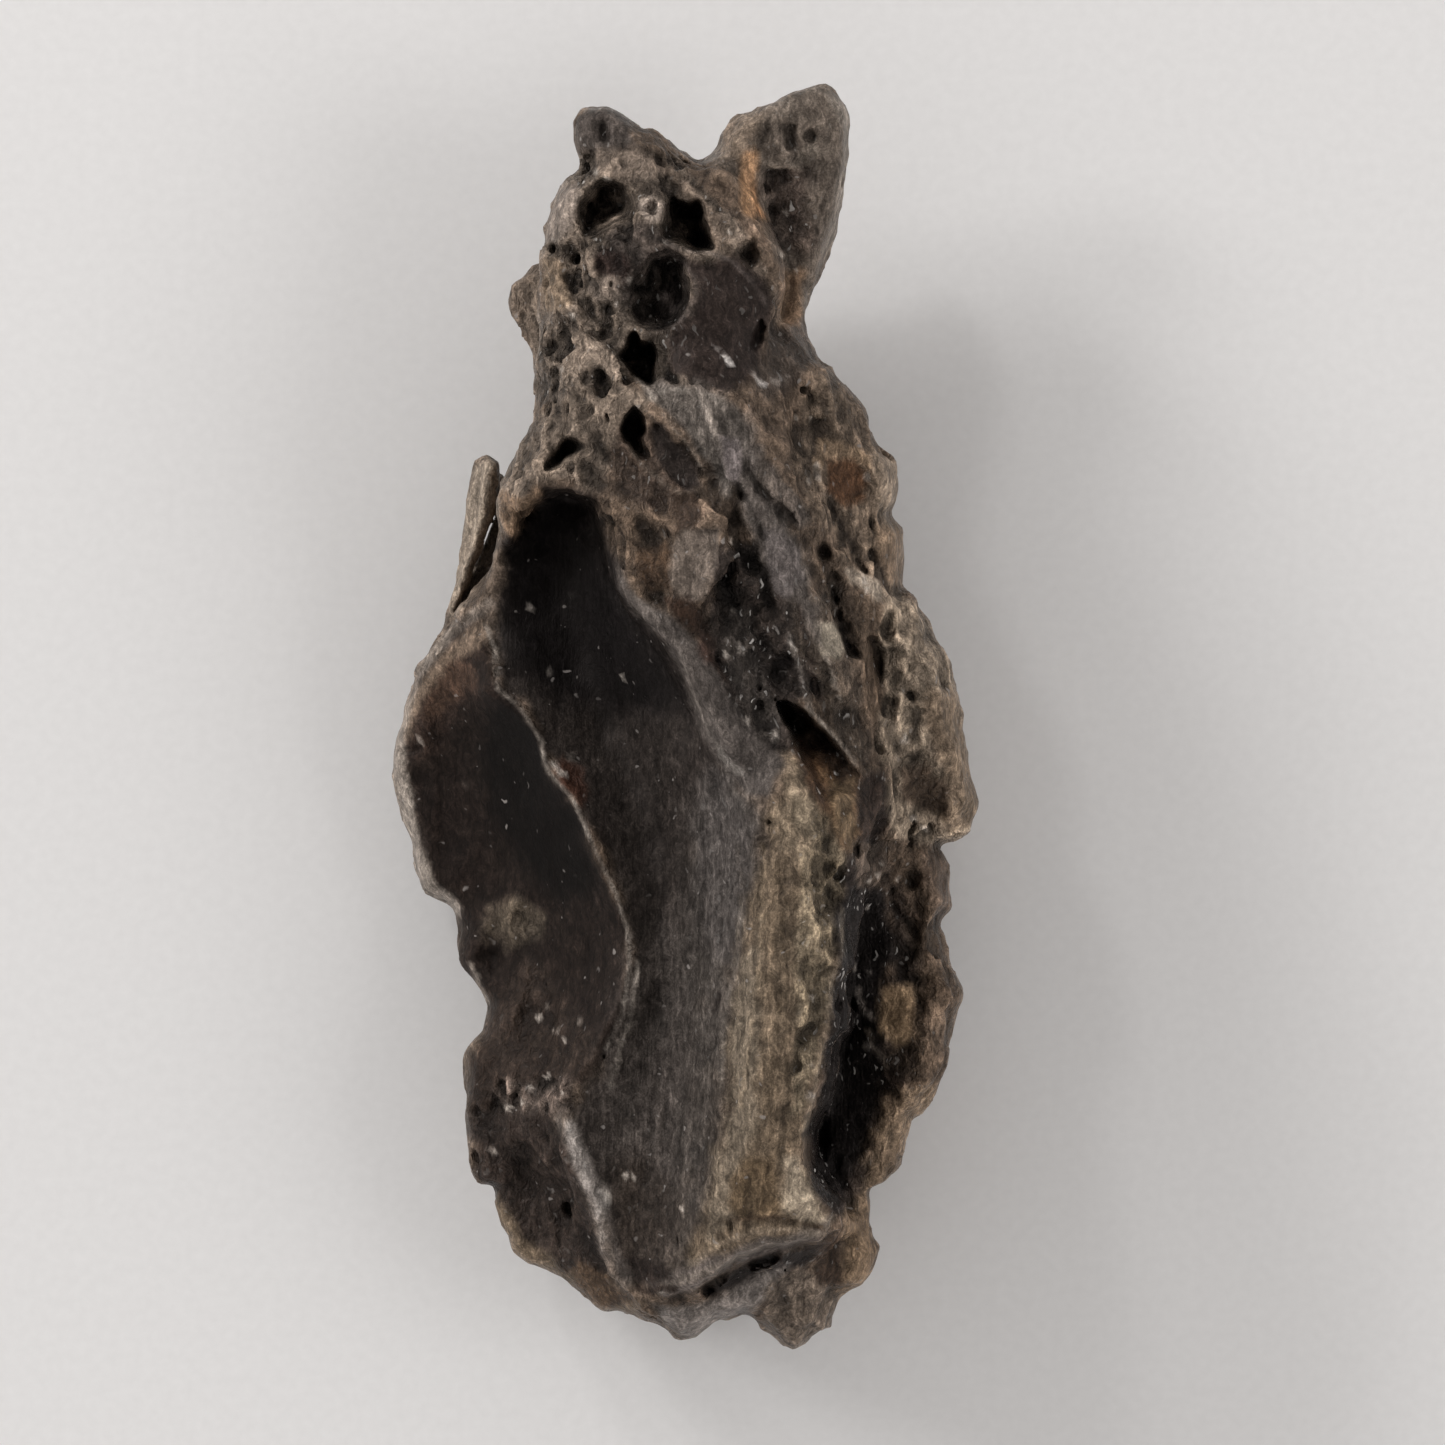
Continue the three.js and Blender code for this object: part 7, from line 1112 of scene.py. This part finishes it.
def carve_hollows(distances, top):
    """Opens each hollow from above, with ragged edges and an uneven floor."""
    ragged = 0.07 + 0.08 * noise_map(value_noise, 0.6, 41) + 0.05 * noise_map(value_noise, 0.28, 42)
    uneven = 0.6 * noise_map(value_noise, 0.6, 43) + 0.5 * noise_map(ridged_noise, 0.45, 44)
    for depth, wall, lean_x, lean_y, outline in HOLLOWS.values():
        low, high = np.min(outline, 0), np.max(outline, 0)
        columns, rows = (nodes_between(low[a] - HOLLOW_MARGIN, high[a] + HOLLOW_MARGIN, a) for a in (0, 1))
        inside = outline_maps(outline, columns, rows)[0] + ragged[columns, rows]
        across = (GRID_X[columns, None] - (low[0] + high[0]) / 2) / (high[0] - low[0]) * 2
        along = (GRID_Y[None, rows] - (low[1] + high[1]) / 2) / (high[1] - low[1]) * 2
        deep = depth * np.clip(1 + lean_x * across + lean_y * along, 0, 2)
        deep = deep + 0.26 * min(1, depth) * uneven[columns, rows]
        floor = top[columns, rows] - deep * smoothstep(inside, -0.1, 0.9 * wall + 0.05)
        slope = np.sqrt(1 + sum(g**2 for g in np.gradient(floor, CELL)))
        opened = np.minimum((GRID_Z - floor[:, :, None]) / slope[:, :, None], inside[:, :, None])
        part = distances[columns, rows]
        np.maximum(part, opened.astype(np.float32), out=part)


def scatter_blisters(distances, maps):
    """Small open blisters, thickest where the regions have the most holes."""
    random = np.random.default_rng(BLISTER_SEED)
    (i, j, _), places, out = band_places(distances, 0.07)
    upward = facing_up(out)
    chance = upward * maps["holes"][i, j] ** 1.5 + (1 - upward) * 0.2
    picks = random.choice(len(places), BLISTERS, replace=False, p=chance / chance.sum())
    for pick in picks:
        radius = min(BLISTER_SIZE * math.exp(random.normal(0.1, 0.45)), LARGEST_BLISTER)
        normal = out[pick].astype(float)
        along = BLISTER_DRAW - normal * (BLISTER_DRAW @ normal)
        along /= np.linalg.norm(along) + 1e-6
        axes = (normal, along, np.cross(normal, along))
        halves = (radius * random.uniform(0.9, 1.6), radius * random.uniform(1, 1.7), radius)
        cut_ellipsoid(distances, places[pick] - normal * radius * 0.25, halves, axes)


def box_blur(values, reach):
    """The mean over a cube of 2 * reach + 1 nodes."""
    width = 2 * reach + 1
    for axis in range(3):
        margins = [(reach + 1, reach) if a == axis else (0, 0) for a in range(3)]
        padded = np.pad(values, margins, mode="edge")
        total = np.cumsum(padded, axis=axis, dtype=np.float64)
        high = np.take(total, range(width, total.shape[axis]), axis=axis)
        low = np.take(total, range(0, total.shape[axis] - width), axis=axis)
        values = ((high - low) / width).astype(np.float32)
    return values


def read_grid(values, places):
    """A grid's values at places, between its eight nearest nodes."""
    q = np.clip((places - np.array(ORIGIN)) / CELL, 0, np.array(values.shape) - 1.001)
    base = q.astype(int)
    f = q - base
    total = 0
    for a, b, c in np.ndindex(2, 2, 2):
        weight = np.abs(1 - a - f[:, 0]) * np.abs(1 - b - f[:, 1]) * np.abs(1 - c - f[:, 2])
        total = total + weight * values[base[:, 0] + a, base[:, 1] + b, base[:, 2] + c]
    return total


# ---------------------------------------------------------------- region maps


def paint_regions():
    """Maps of colour, relief, gloss, flow lines and holes, painted region over region."""
    ragged = noise_map(value_noise, 0.9, 21) * 0.28 + noise_map(value_noise, 0.35, 22) * 0.16
    colour = np.empty((COUNT_X, COUNT_Y, 3))
    colour[:] = BARE_COLOUR
    maps = {name: np.full((COUNT_X, COUNT_Y), bare) for name, bare in zip(SURFACE, BARE)}
    for _, tint, *values, soft, outline in REGIONS:
        inside, _ = outline_maps(outline)
        weight = smoothstep(inside + ragged * min(1, 2 * soft), -soft / 2, soft / 2)
        colour += weight[..., None] * (np.array(tint, float) - colour)
        for name, value in zip(SURFACE, values):
            maps[name] += weight * (value - maps[name])
    maps["colour"] = colour
    maps["inside"] = outline_maps(OUTLINE)[0]
    return maps


def noise_map(kind, size, seed):
    x, y = np.meshgrid(GRID_X, GRID_Y, indexing="ij")
    places = np.stack([x.ravel(), y.ravel(), np.zeros(x.size, np.float32)], 1)
    return kind(places, size, seed).reshape(x.shape)


# ---------------------------------------------------------------- the mesh


def largest_piece(count, faces):
    """True for each point of the largest connected piece."""
    label = np.arange(count)
    while True:
        lower = label.copy()
        np.minimum.at(lower, faces.ravel(), np.repeat(label[faces].min(1), faces.shape[1]))
        lower = lower[lower]
        if (lower == label).all():
            break
        label = lower
    return label == np.bincount(label).argmax()


def surface_mesh(distances):
    """The zero surface as one closed mesh, in the working frame."""
    grid = openvdb.FloatGrid(float(BAND * CELL))
    grid.copyFromArray(distances)
    points, triangles, quads = grid.convertToPolygons(isovalue=0.0, adaptivity=0.0)
    faces = np.concatenate([quads[:, [0, 1, 2]], quads[:, [0, 2, 3]], triangles.reshape(-1, 3)])
    keep = largest_piece(len(points), faces)
    faces = faces[keep[faces[:, 0]]]
    new_index = np.cumsum(keep) - 1
    points = points[keep] * CELL + np.array(ORIGIN)
    faces = new_index[faces]
    corners = points[faces]
    volume = np.einsum("ij,ij->i", corners[:, 0], np.cross(corners[:, 1], corners[:, 2])).sum()
    return points, faces if volume > 0 else faces[:, ::-1]


def make_object(name, points, faces):
    mesh = bpy.data.meshes.new(name)
    mesh.vertices.add(len(points))
    mesh.vertices.foreach_set("co", points.astype(np.float32).ravel())
    mesh.loops.add(faces.size)
    mesh.loops.foreach_set("vertex_index", faces.astype(np.int32).ravel())
    mesh.polygons.add(len(faces))
    mesh.polygons.foreach_set("loop_start", np.arange(0, faces.size, 3, dtype=np.int32))
    mesh.update(calc_edges=True)
    mesh.validate()
    return link_object(name, mesh)


def thin_out(made, triangles):
    """Merges edges where the surface is flattest, and sooner underneath, down to that many triangles."""
    _, normals = mesh_places(made.data)
    group = made.vertex_groups.new(name="thinned")
    underneath = normals[:, 2] <= -0.2
    for chosen, weight in ((~underneath, 0.5), (underneath, 1.0)):
        group.add(np.nonzero(chosen)[0].tolist(), weight, "REPLACE")
    modifier = made.modifiers.new("thin_out", "DECIMATE")
    modifier.ratio = min(1.0, triangles / len(made.data.polygons))
    modifier.vertex_group = "thinned"
    modifier.vertex_group_factor = 0.01
    graph = bpy.context.evaluated_depsgraph_get()
    slim = bpy.data.meshes.new_from_object(made.evaluated_get(graph), depsgraph=graph)
    made.modifiers.clear()
    made.vertex_groups.clear()
    made.data = slim


def mesh_places(mesh):
    places = np.empty(3 * len(mesh.vertices), np.float32)
    mesh.vertices.foreach_get("co", places)
    normals = np.empty_like(places)
    mesh.vertex_normals.foreach_get("vector", normals)
    return places.reshape(-1, 3), normals.reshape(-1, 3)


# ---------------------------------------------------------------- colour on the mesh


def to_linear(colour):
    c = np.clip(np.asarray(colour, float) / 255, 0, 1)
    return np.where(c <= 0.04045, c / 12.92, ((c + 0.055) / 1.055) ** 2.4)


def towards(colour, goal, weight):
    return colour + weight[:, None] * (np.asarray(goal, float) - colour)


def speck_and_glint_weight(places, spot):
    x, y, half_x, half_y, turn = spot
    c, s = math.cos(math.radians(turn)), math.sin(math.radians(turn))
    dx, dy = places[:, 0] - x, places[:, 1] - y
    away = np.hypot((c * dx + s * dy) / half_x, (c * dy - s * dx) / half_y)
    return 1 - smoothstep(away, 0.4, 1.0)


def streaks_mottling_and_facet_shade(places, relief, flow):
    """How flow streaks and mottling vary the glass's tone, and the painted light or shade given to each
    chipped facet.
    """
    drawn = flow_places(places)
    streak = value_noise(drawn, (0.3, 3.5, 0.6), 31) + 0.6 * value_noise(drawn, (0.17, 2.2, 0.4), 32)
    mottle = value_noise(places, 0.8, 33) + 0.7 * value_noise(places, 0.33, 34)
    drawn_bent = flow_places(bent_places(places))
    # painted light or shade for each chipped facet, from the same random lift that raises or sinks it
    facet = 0.2 * flakes(drawn_bent, *LARGE_FLAKES)[1] + 0.16 * flakes(drawn_bent, *SMALL_FLAKES)[1]
    return (1 + 0.14 * flow * streak + (0.06 + 0.12 * relief) * mottle) * (1 + relief * facet)


def crest_light_and_pit_shade(places, relief, distances):
    """Painted light on crests, partly the paler crust there, and painted shade in pits, by how far the
    smoothed surface lies from the true one.
    """
    fine = read_grid(box_blur(distances, 2), places)
    wide = read_grid(box_blur(distances, 6), places)
    rough = 0.4 + 0.6 * relief
    crest = np.clip(fine / 0.07, 0, 1) * rough
    pit = np.clip(np.clip(-fine / 0.08, 0, 1) * 0.5 + np.clip(-wide / 0.3, 0, 1) * 0.6, 0, 1) * rough
    return (1 + CREST_LIGHT_GAIN * crest) * (1 - PIT_SHADE_LOSS * pit)


def paint_highlight_shade_and_scratch_lines(colour, places, x, y, upward):
    """Paints the lines, broken up along their length: painted highlights on edges and ribs, painted glints,
    painted shade in cuts, and the real scratches.
    """
    broken = np.clip(0.85 + 0.4 * value_noise(places, 0.5, 35), 0, 1)
    for _, tint, half_width, strength, _, line in HIGHLIGHT_SHADE_AND_SCRATCH_LINES:
        near = 1 - smoothstep(read_map(line_distance(line), x, y), half_width * 0.6, half_width * 1.9)
        colour = towards(colour, tint, near * strength * broken * upward)
    return colour


def surface_values(places, normals, distances, maps, top, bottom):
    """Colour and surface values at each vertex."""
    x, y = places[:, 0].astype(float), places[:, 1].astype(float)
    upward = smoothstep(normals[:, 2], -0.35, 0.25)
    values = {}
    for name, bare in zip(SURFACE, BARE):
        values[name] = read_map(maps[name], x, y) * upward + bare * (1 - upward)
    colour = towards(read_map(maps["colour"], x, y), BARE_COLOUR, 0.75 * (1 - upward))
    # flow streaks and mottling, and a painted light or shade for each chipped facet
    colour *= streaks_mottling_and_facet_shade(places, values["relief"], values["flow"])[:, None]
    # painted light on crests and painted shade in pits
    colour *= crest_light_and_pit_shade(places, values["relief"], distances)[:, None]
    # painted light through the glass where it is thin
    thin = (1 - smoothstep(read_map(top - bottom, x, y), THIN, THICK)) * upward
    colour = towards(colour, THROUGH_LIGHT_COLOUR, THROUGH_LIGHT_GAIN * thin)
    colour = paint_highlight_shade_and_scratch_lines(colour, places, x, y, upward)
    # pale specks and painted glints
    specks_and_glints = np.max([speck_and_glint_weight(places, spot) for spot in SPECKS_AND_GLINTS], 0) * upward
    colour = towards(colour, SPECK_AND_GLINT_COLOUR, SPECK_AND_GLINT_COVER * specks_and_glints)
    values["gloss"] = values["gloss"] + specks_and_glints * (SPECK_AND_GLINT_GLOSS - values["gloss"])
    values["colour"] = to_linear(colour)
    return values


def write_attributes(mesh, values):
    opaque = np.pad(values["colour"], ((0, 0), (0, 1)), constant_values=1)
    tone = mesh.color_attributes.new("tone", "FLOAT_COLOR", "POINT")
    tone.data.foreach_set("color", opaque.astype(np.float32).ravel())
    for name in ("relief", "gloss", "flow"):
        attribute = mesh.attributes.new(name, "FLOAT", "POINT")
        attribute.data.foreach_set("value", values[name].astype(np.float32))


# ---------------------------------------------------------------- materials


class Nodes:
    """A short way to add and join shader nodes."""

    def __init__(self, tree):
        self.tree = tree
        tree.nodes.clear()

    def fill(self, socket, value):
        """Joins a socket to another node, or sets its number or colour."""
        if isinstance(value, bpy.types.NodeSocket):
            self.tree.links.new(value, socket)
        else:
            socket.default_value = value

    def add(self, kind, inputs=(), **settings):
        node = self.tree.nodes.new(kind)
        for name, value in settings.items():
            setattr(node, name, value)
        for key, value in dict(inputs).items():
            self.fill(node.inputs[key], value)
        return node

    def math(self, operation, *values):
        return self.add("ShaderNodeMath", dict(enumerate(values)), operation=operation).outputs[0]

    def total(self, first, *others):
        for other in others:
            first = self.math("ADD", first, other)
        return first

    def product(self, first, *others):
        for other in others:
            first = self.math("MULTIPLY", first, other)
        return first

    def share(self, value, middle, amount):
        """How far a value stands from its middle, times an amount."""
        return self.product(self.math("SUBTRACT", value, middle), amount)

    def attribute(self, name, output="Fac"):
        return self.add("ShaderNodeAttribute", attribute_name=name).outputs[output]

    def places(self, scale):
        """Places on the object, in metres, times a scale for each axis."""
        place = self.add("ShaderNodeTexCoord").outputs["Object"]
        return self.add("ShaderNodeMapping", {"Vector": place, "Scale": scale}).outputs["Vector"]

    def stretched(self, vector, scale):
        inputs = {0: vector, 1: scale}
        return self.add("ShaderNodeVectorMath", inputs, operation="MULTIPLY").outputs["Vector"]

    def noise(self, vector, scale, detail=2.0, roughness=0.5):
        inputs = {"Vector": vector, "Scale": scale, "Detail": detail, "Roughness": roughness}
        return self.add("ShaderNodeTexNoise", inputs).outputs["Fac"]

    def voronoi(self, vector, scale):
        """Distance to the edges of scattered cells, from 0 to about 0.5."""
        inputs = {"Vector": vector, "Scale": scale}
        return self.add("ShaderNodeTexVoronoi", inputs, feature="DISTANCE_TO_EDGE").outputs["Distance"]

    def scattered(self, vector, scale, rarity, size, soft):
        """One mark in each scattered cell, with none in a share of them, and a second chance value."""
        cells = self.add("ShaderNodeTexVoronoi", {"Vector": vector, "Scale": scale, "Randomness": 1.0})
        chances = self.add("ShaderNodeSeparateColor", {"Color": cells.outputs["Color"]})
        radius = self.product(self.ramp(chances.outputs[0], rarity, 1.0), size)
        mark = self.ramp(self.math("SUBTRACT", radius, cells.outputs["Distance"]), 0.0, soft)
        return mark, chances.outputs[1]

    def ramp(self, value, low, high):
        inputs = {"Value": value, "From Min": low, "From Max": high}
        return self.add("ShaderNodeMapRange", inputs, clamp=True).outputs["Result"]

    def scaled(self, colour, factor):
        inputs = {0: colour, "Scale": factor}
        return self.add("ShaderNodeVectorMath", inputs, operation="SCALE").outputs["Vector"]

    def mix(self, factor, a, b):
        node = self.add("ShaderNodeMix", data_type="RGBA", clamp_factor=True)
        for key, value in ((0, factor), (6, a), (7, b)):  # the mix node's colour sockets
            self.fill(node.inputs[key], value)
        return node.outputs[2]


def new_material(name):
    material = bpy.data.materials.new(name)
    material.use_nodes = True
    return material, Nodes(material.node_tree)


def glass_material():
    """Weathered glass: the mesh's tones, which carry its painted light and shade, and its values, with
    grain too fine for the mesh.
    """
    material, nodes = new_material("weathered_glass")
    tone = nodes.attribute("tone", "Color")
    relief, gloss, flow = (nodes.attribute(name) for name in ("relief", "gloss", "flow"))

    millimetres = nodes.places((1000, 1000, 1000))
    drawn = nodes.places((1000, 110, 600))  # drawn out along the flow
    bend = nodes.add("ShaderNodeTexNoise", {"Vector": millimetres, "Scale": 2.2, "Detail": 1.0})
    shift = {0: bend.outputs["Color"], 1: (0.6, 0.6, 0.6), 2: millimetres}
    bent = nodes.add("ShaderNodeVectorMath", shift, operation="MULTIPLY_ADD").outputs["Vector"]
    long = nodes.stretched(bent, (1.0, 0.34, 0.8))
    slim = nodes.stretched(bent, (1.0, 0.32, 0.5))

    grain = nodes.noise(long, 6.0, 3.0, 0.62)
    fine = nodes.noise(millimetres, 15.0, 2.0, 0.6)
    streak = nodes.noise(drawn, 6.5, 4.0, 0.65)
    coarse = nodes.noise(bent, 1.3, 3.0, 0.6)
    cups = nodes.voronoi(bent, 2.6)
    crumbs = nodes.voronoi(long, 6.0)

    # How many stops brighter or darker the grain makes each tone. The cups and crumbs terms are painted
    # shade in the sunken middle of each bumped cup and painted light on its raised walls.
    stops = nodes.total(
        nodes.share(grain, 0.5, 4.8),
        nodes.share(fine, 0.5, 2.4),
        nodes.share(streak, 0.5, nodes.math("MULTIPLY_ADD", flow, 2.6, 0.5)),
        nodes.share(coarse, 0.5, 2.4),
        nodes.share(cups, 0.2, nodes.product(relief, -1.6)),
        nodes.share(crumbs, 0.2, nodes.product(relief, -1.2)),
    )
    colour = nodes.scaled(tone, nodes.math("POWER", 2.0, stops))

    speck, chance = nodes.scattered(bent, 2.3, 0.3, 0.25, 0.1)
    colour = nodes.mix(nodes.product(speck, nodes.ramp(chance, 0.2, 1.0), 0.7), colour, SPECK_COLOUR)

    # Painted glints: short pale dashes mixed into the colour where the glass is shiny.
    dash, chance = nodes.scattered(slim, 6.0, 0.25, 0.36, 0.06)
    patch = nodes.ramp(nodes.noise(millimetres, 1.8, 1.0), 0.42, 0.56)
    glint_where_glossy = nodes.ramp(gloss, 0.42, 0.24)
    painted_glint = nodes.product(dash, patch, glint_where_glossy, nodes.ramp(chance, 0.0, 0.7), 0.85)
    colour = nodes.mix(painted_glint, colour, PAINTED_GLINT_COLOUR)

    wet = nodes.product(nodes.ramp(nodes.noise(millimetres, 3.4, 2.0, 0.6), 0.52, 0.64), relief, 0.26)
    dull = nodes.total(gloss, nodes.share(fine, 0.5, 0.4))
    roughness = nodes.math("MAXIMUM", nodes.math("SUBTRACT", dull, wet), 0.12)

    # The bump's height in millimetres.
    height = nodes.total(
        nodes.product(grain, nodes.math("MULTIPLY_ADD", relief, 0.13, 0.018)),
        nodes.product(fine, nodes.math("MULTIPLY_ADD", relief, 0.03, 0.005)),
        nodes.product(streak, nodes.math("MULTIPLY_ADD", flow, 0.06, 0.005)),
        nodes.product(cups, nodes.product(relief, -0.16)),
        nodes.product(crumbs, nodes.product(relief, -0.1)),
    )
    bump = nodes.add("ShaderNodeBump", {"Height": height, "Strength": 1.0, "Distance": MM})

    shader = nodes.add("ShaderNodeBsdfPrincipled", {
        "Base Color": colour,
        "Roughness": roughness,
        "Normal": bump.outputs["Normal"],
        "Metallic": 0.0,
        "IOR": GLASS_IOR,
        "Specular IOR Level": GLASS_SPECULAR,
        "Specular Tint": GLASS_TINT,
    })
    nodes.add("ShaderNodeOutputMaterial", {"Surface": shader.outputs[0]})
    return material


def paper_material():
    material, nodes = new_material("paper")
    grain = nodes.ramp(nodes.noise(nodes.places((1000, 1000, 1000)), 2.5, 4.0), 0.3, 0.7)
    colour = nodes.mix(grain, PAPER_DARK, PAPER_LIGHT)
    shader = nodes.add("ShaderNodeBsdfPrincipled", {"Base Color": colour, "Roughness": 0.8, "IOR": 1.3})
    nodes.add("ShaderNodeOutputMaterial", {"Surface": shader.outputs[0]})
    return material


# ---------------------------------------------------------------- stage, light and camera


def link_object(name, data):
    made = bpy.data.objects.new(name, data)
    bpy.context.scene.collection.objects.link(made)
    return made


def make_floor():
    half = FLOOR_SIZE / 2
    corners = [(-half, -half, 0), (half, -half, 0), (half, half, 0), (-half, half, 0)]
    mesh = bpy.data.meshes.new("floor")
    mesh.from_pydata(corners, [], [(0, 1, 2, 3)])
    mesh.materials.append(paper_material())
    link_object("floor", mesh)


def make_light(name, azimuth, elevation, size, power):
    """A square soft light that faces the glass. Azimuth 0 is +X, and 90 is +Y."""
    light = bpy.data.lights.new(name, "AREA")
    light.size = size
    light.energy = power
    lamp = link_object(name, light)
    a, e = math.radians(azimuth), math.radians(elevation)
    towards_lamp = (math.cos(e) * math.cos(a), math.cos(e) * math.sin(a), math.sin(e))
    lamp.location = [LIGHT_DISTANCE * part for part in towards_lamp]
    lamp.rotation_euler = (math.pi / 2 - e, 0, a + math.pi / 2)


def make_world():
    """A plain dome, darker overhead than round the horizon."""
    world = bpy.data.worlds.new("dome")
    world.use_nodes = True
    bpy.context.scene.world = world
    nodes = Nodes(world.node_tree)
    direction = nodes.add("ShaderNodeTexCoord").outputs["Generated"]
    up = nodes.add("ShaderNodeSeparateXYZ", {"Vector": direction}).outputs["Z"]
    low = nodes.math("SUBTRACT", 1.0, nodes.math("ABSOLUTE", up))
    strength = nodes.math("MULTIPLY_ADD", low, DOME_RISE, DOME_TOP)
    shader = nodes.add("ShaderNodeBackground", {"Color": DOME_COLOUR, "Strength": strength})
    nodes.add("ShaderNodeOutputWorld", {"Surface": shader.outputs[0]})


def make_camera():
    camera = link_object("camera", bpy.data.cameras.new("camera"))
    camera.data.sensor_width = CAMERA_SENSOR
    camera.data.lens = CAMERA_LENS
    camera.location = CAMERA_PLACE
    bpy.context.scene.camera = camera


# ---------------------------------------------------------------- putting it together


def glass_shape(maps):
    """The glass as a grid of distances, with the heights of its two plain skins."""
    upper = stretch_skin(UPPER_CREASES, UPPER_SWELLS, UPPER_START) + line_relief()
    under = stretch_skin(UNDER_CREASES, UNDER_SWELLS, UNDER_START)
    top, bottom = sheet_faces(
        OUTLINE, lambda rim: upper - rim, lambda rim: rim - under, UPPER_SHOULDER, UNDER_SHOULDER
    )
    field = sheet_field(top, bottom)
    for rise, drop, outline in FLAPS.values():
        faces = sheet_faces(outline, lambda _: rise, lambda _: drop, FLAP_SHOULDER, FLAP_SHOULDER)
        field = np.minimum(field, sheet_field(*faces))
    distances = true_distances(field)
    wear_surface(distances, maps)
    carve_hollows(distances, top)
    scatter_blisters(distances, maps)
    np.maximum(distances, -GRID_Z, out=distances)  # nothing reaches below the ground
    return distances, top, bottom


def fit_to_solid(points):
    """Moves the working frame onto the solid's, just inside its box and on the same ground, in metres."""
    low, high = (np.array(corner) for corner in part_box(NODE))
    size = points.max(0) - points.min(0)
    scale = min(1.0, *((high - low)[:2] / MM / size[:2] * FIT))
    middle = (points.max(0) + points.min(0)) / 2
    moved = (points - middle) * scale * MM
    moved[:, :2] += (low[:2] + high[:2]) / 2
    moved[:, 2] = points[:, 2] * MM * min(scale, FIT * high[2] / MM / points[:, 2].max())
    return moved


def make_glass():
    maps = paint_regions()
    distances, top, bottom = glass_shape(maps)
    points, faces = surface_mesh(distances)
    glass = make_object("glass_body", points, faces)
    thin_out(glass, TRIANGLES)
    mesh = glass.data
    places, normals = mesh_places(mesh)
    write_attributes(mesh, surface_values(places, normals, distances, maps, top, bottom))
    mesh.vertices.foreach_set("co", fit_to_solid(places).astype(np.float32).ravel())
    mesh.polygons.foreach_set("use_smooth", np.ones(len(mesh.polygons), bool))
    mesh.update()
    mesh.materials.append(glass_material())
    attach(glass, "root")
    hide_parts(NODE)
    print("glass:", len(mesh.vertices), "vertices,", len(mesh.polygons), "triangles")


make_glass()
make_floor()
for light_row in LIGHTS:
    make_light(*light_row)
make_world()
make_camera()
bpy.context.scene.view_settings.view_transform = "Standard"
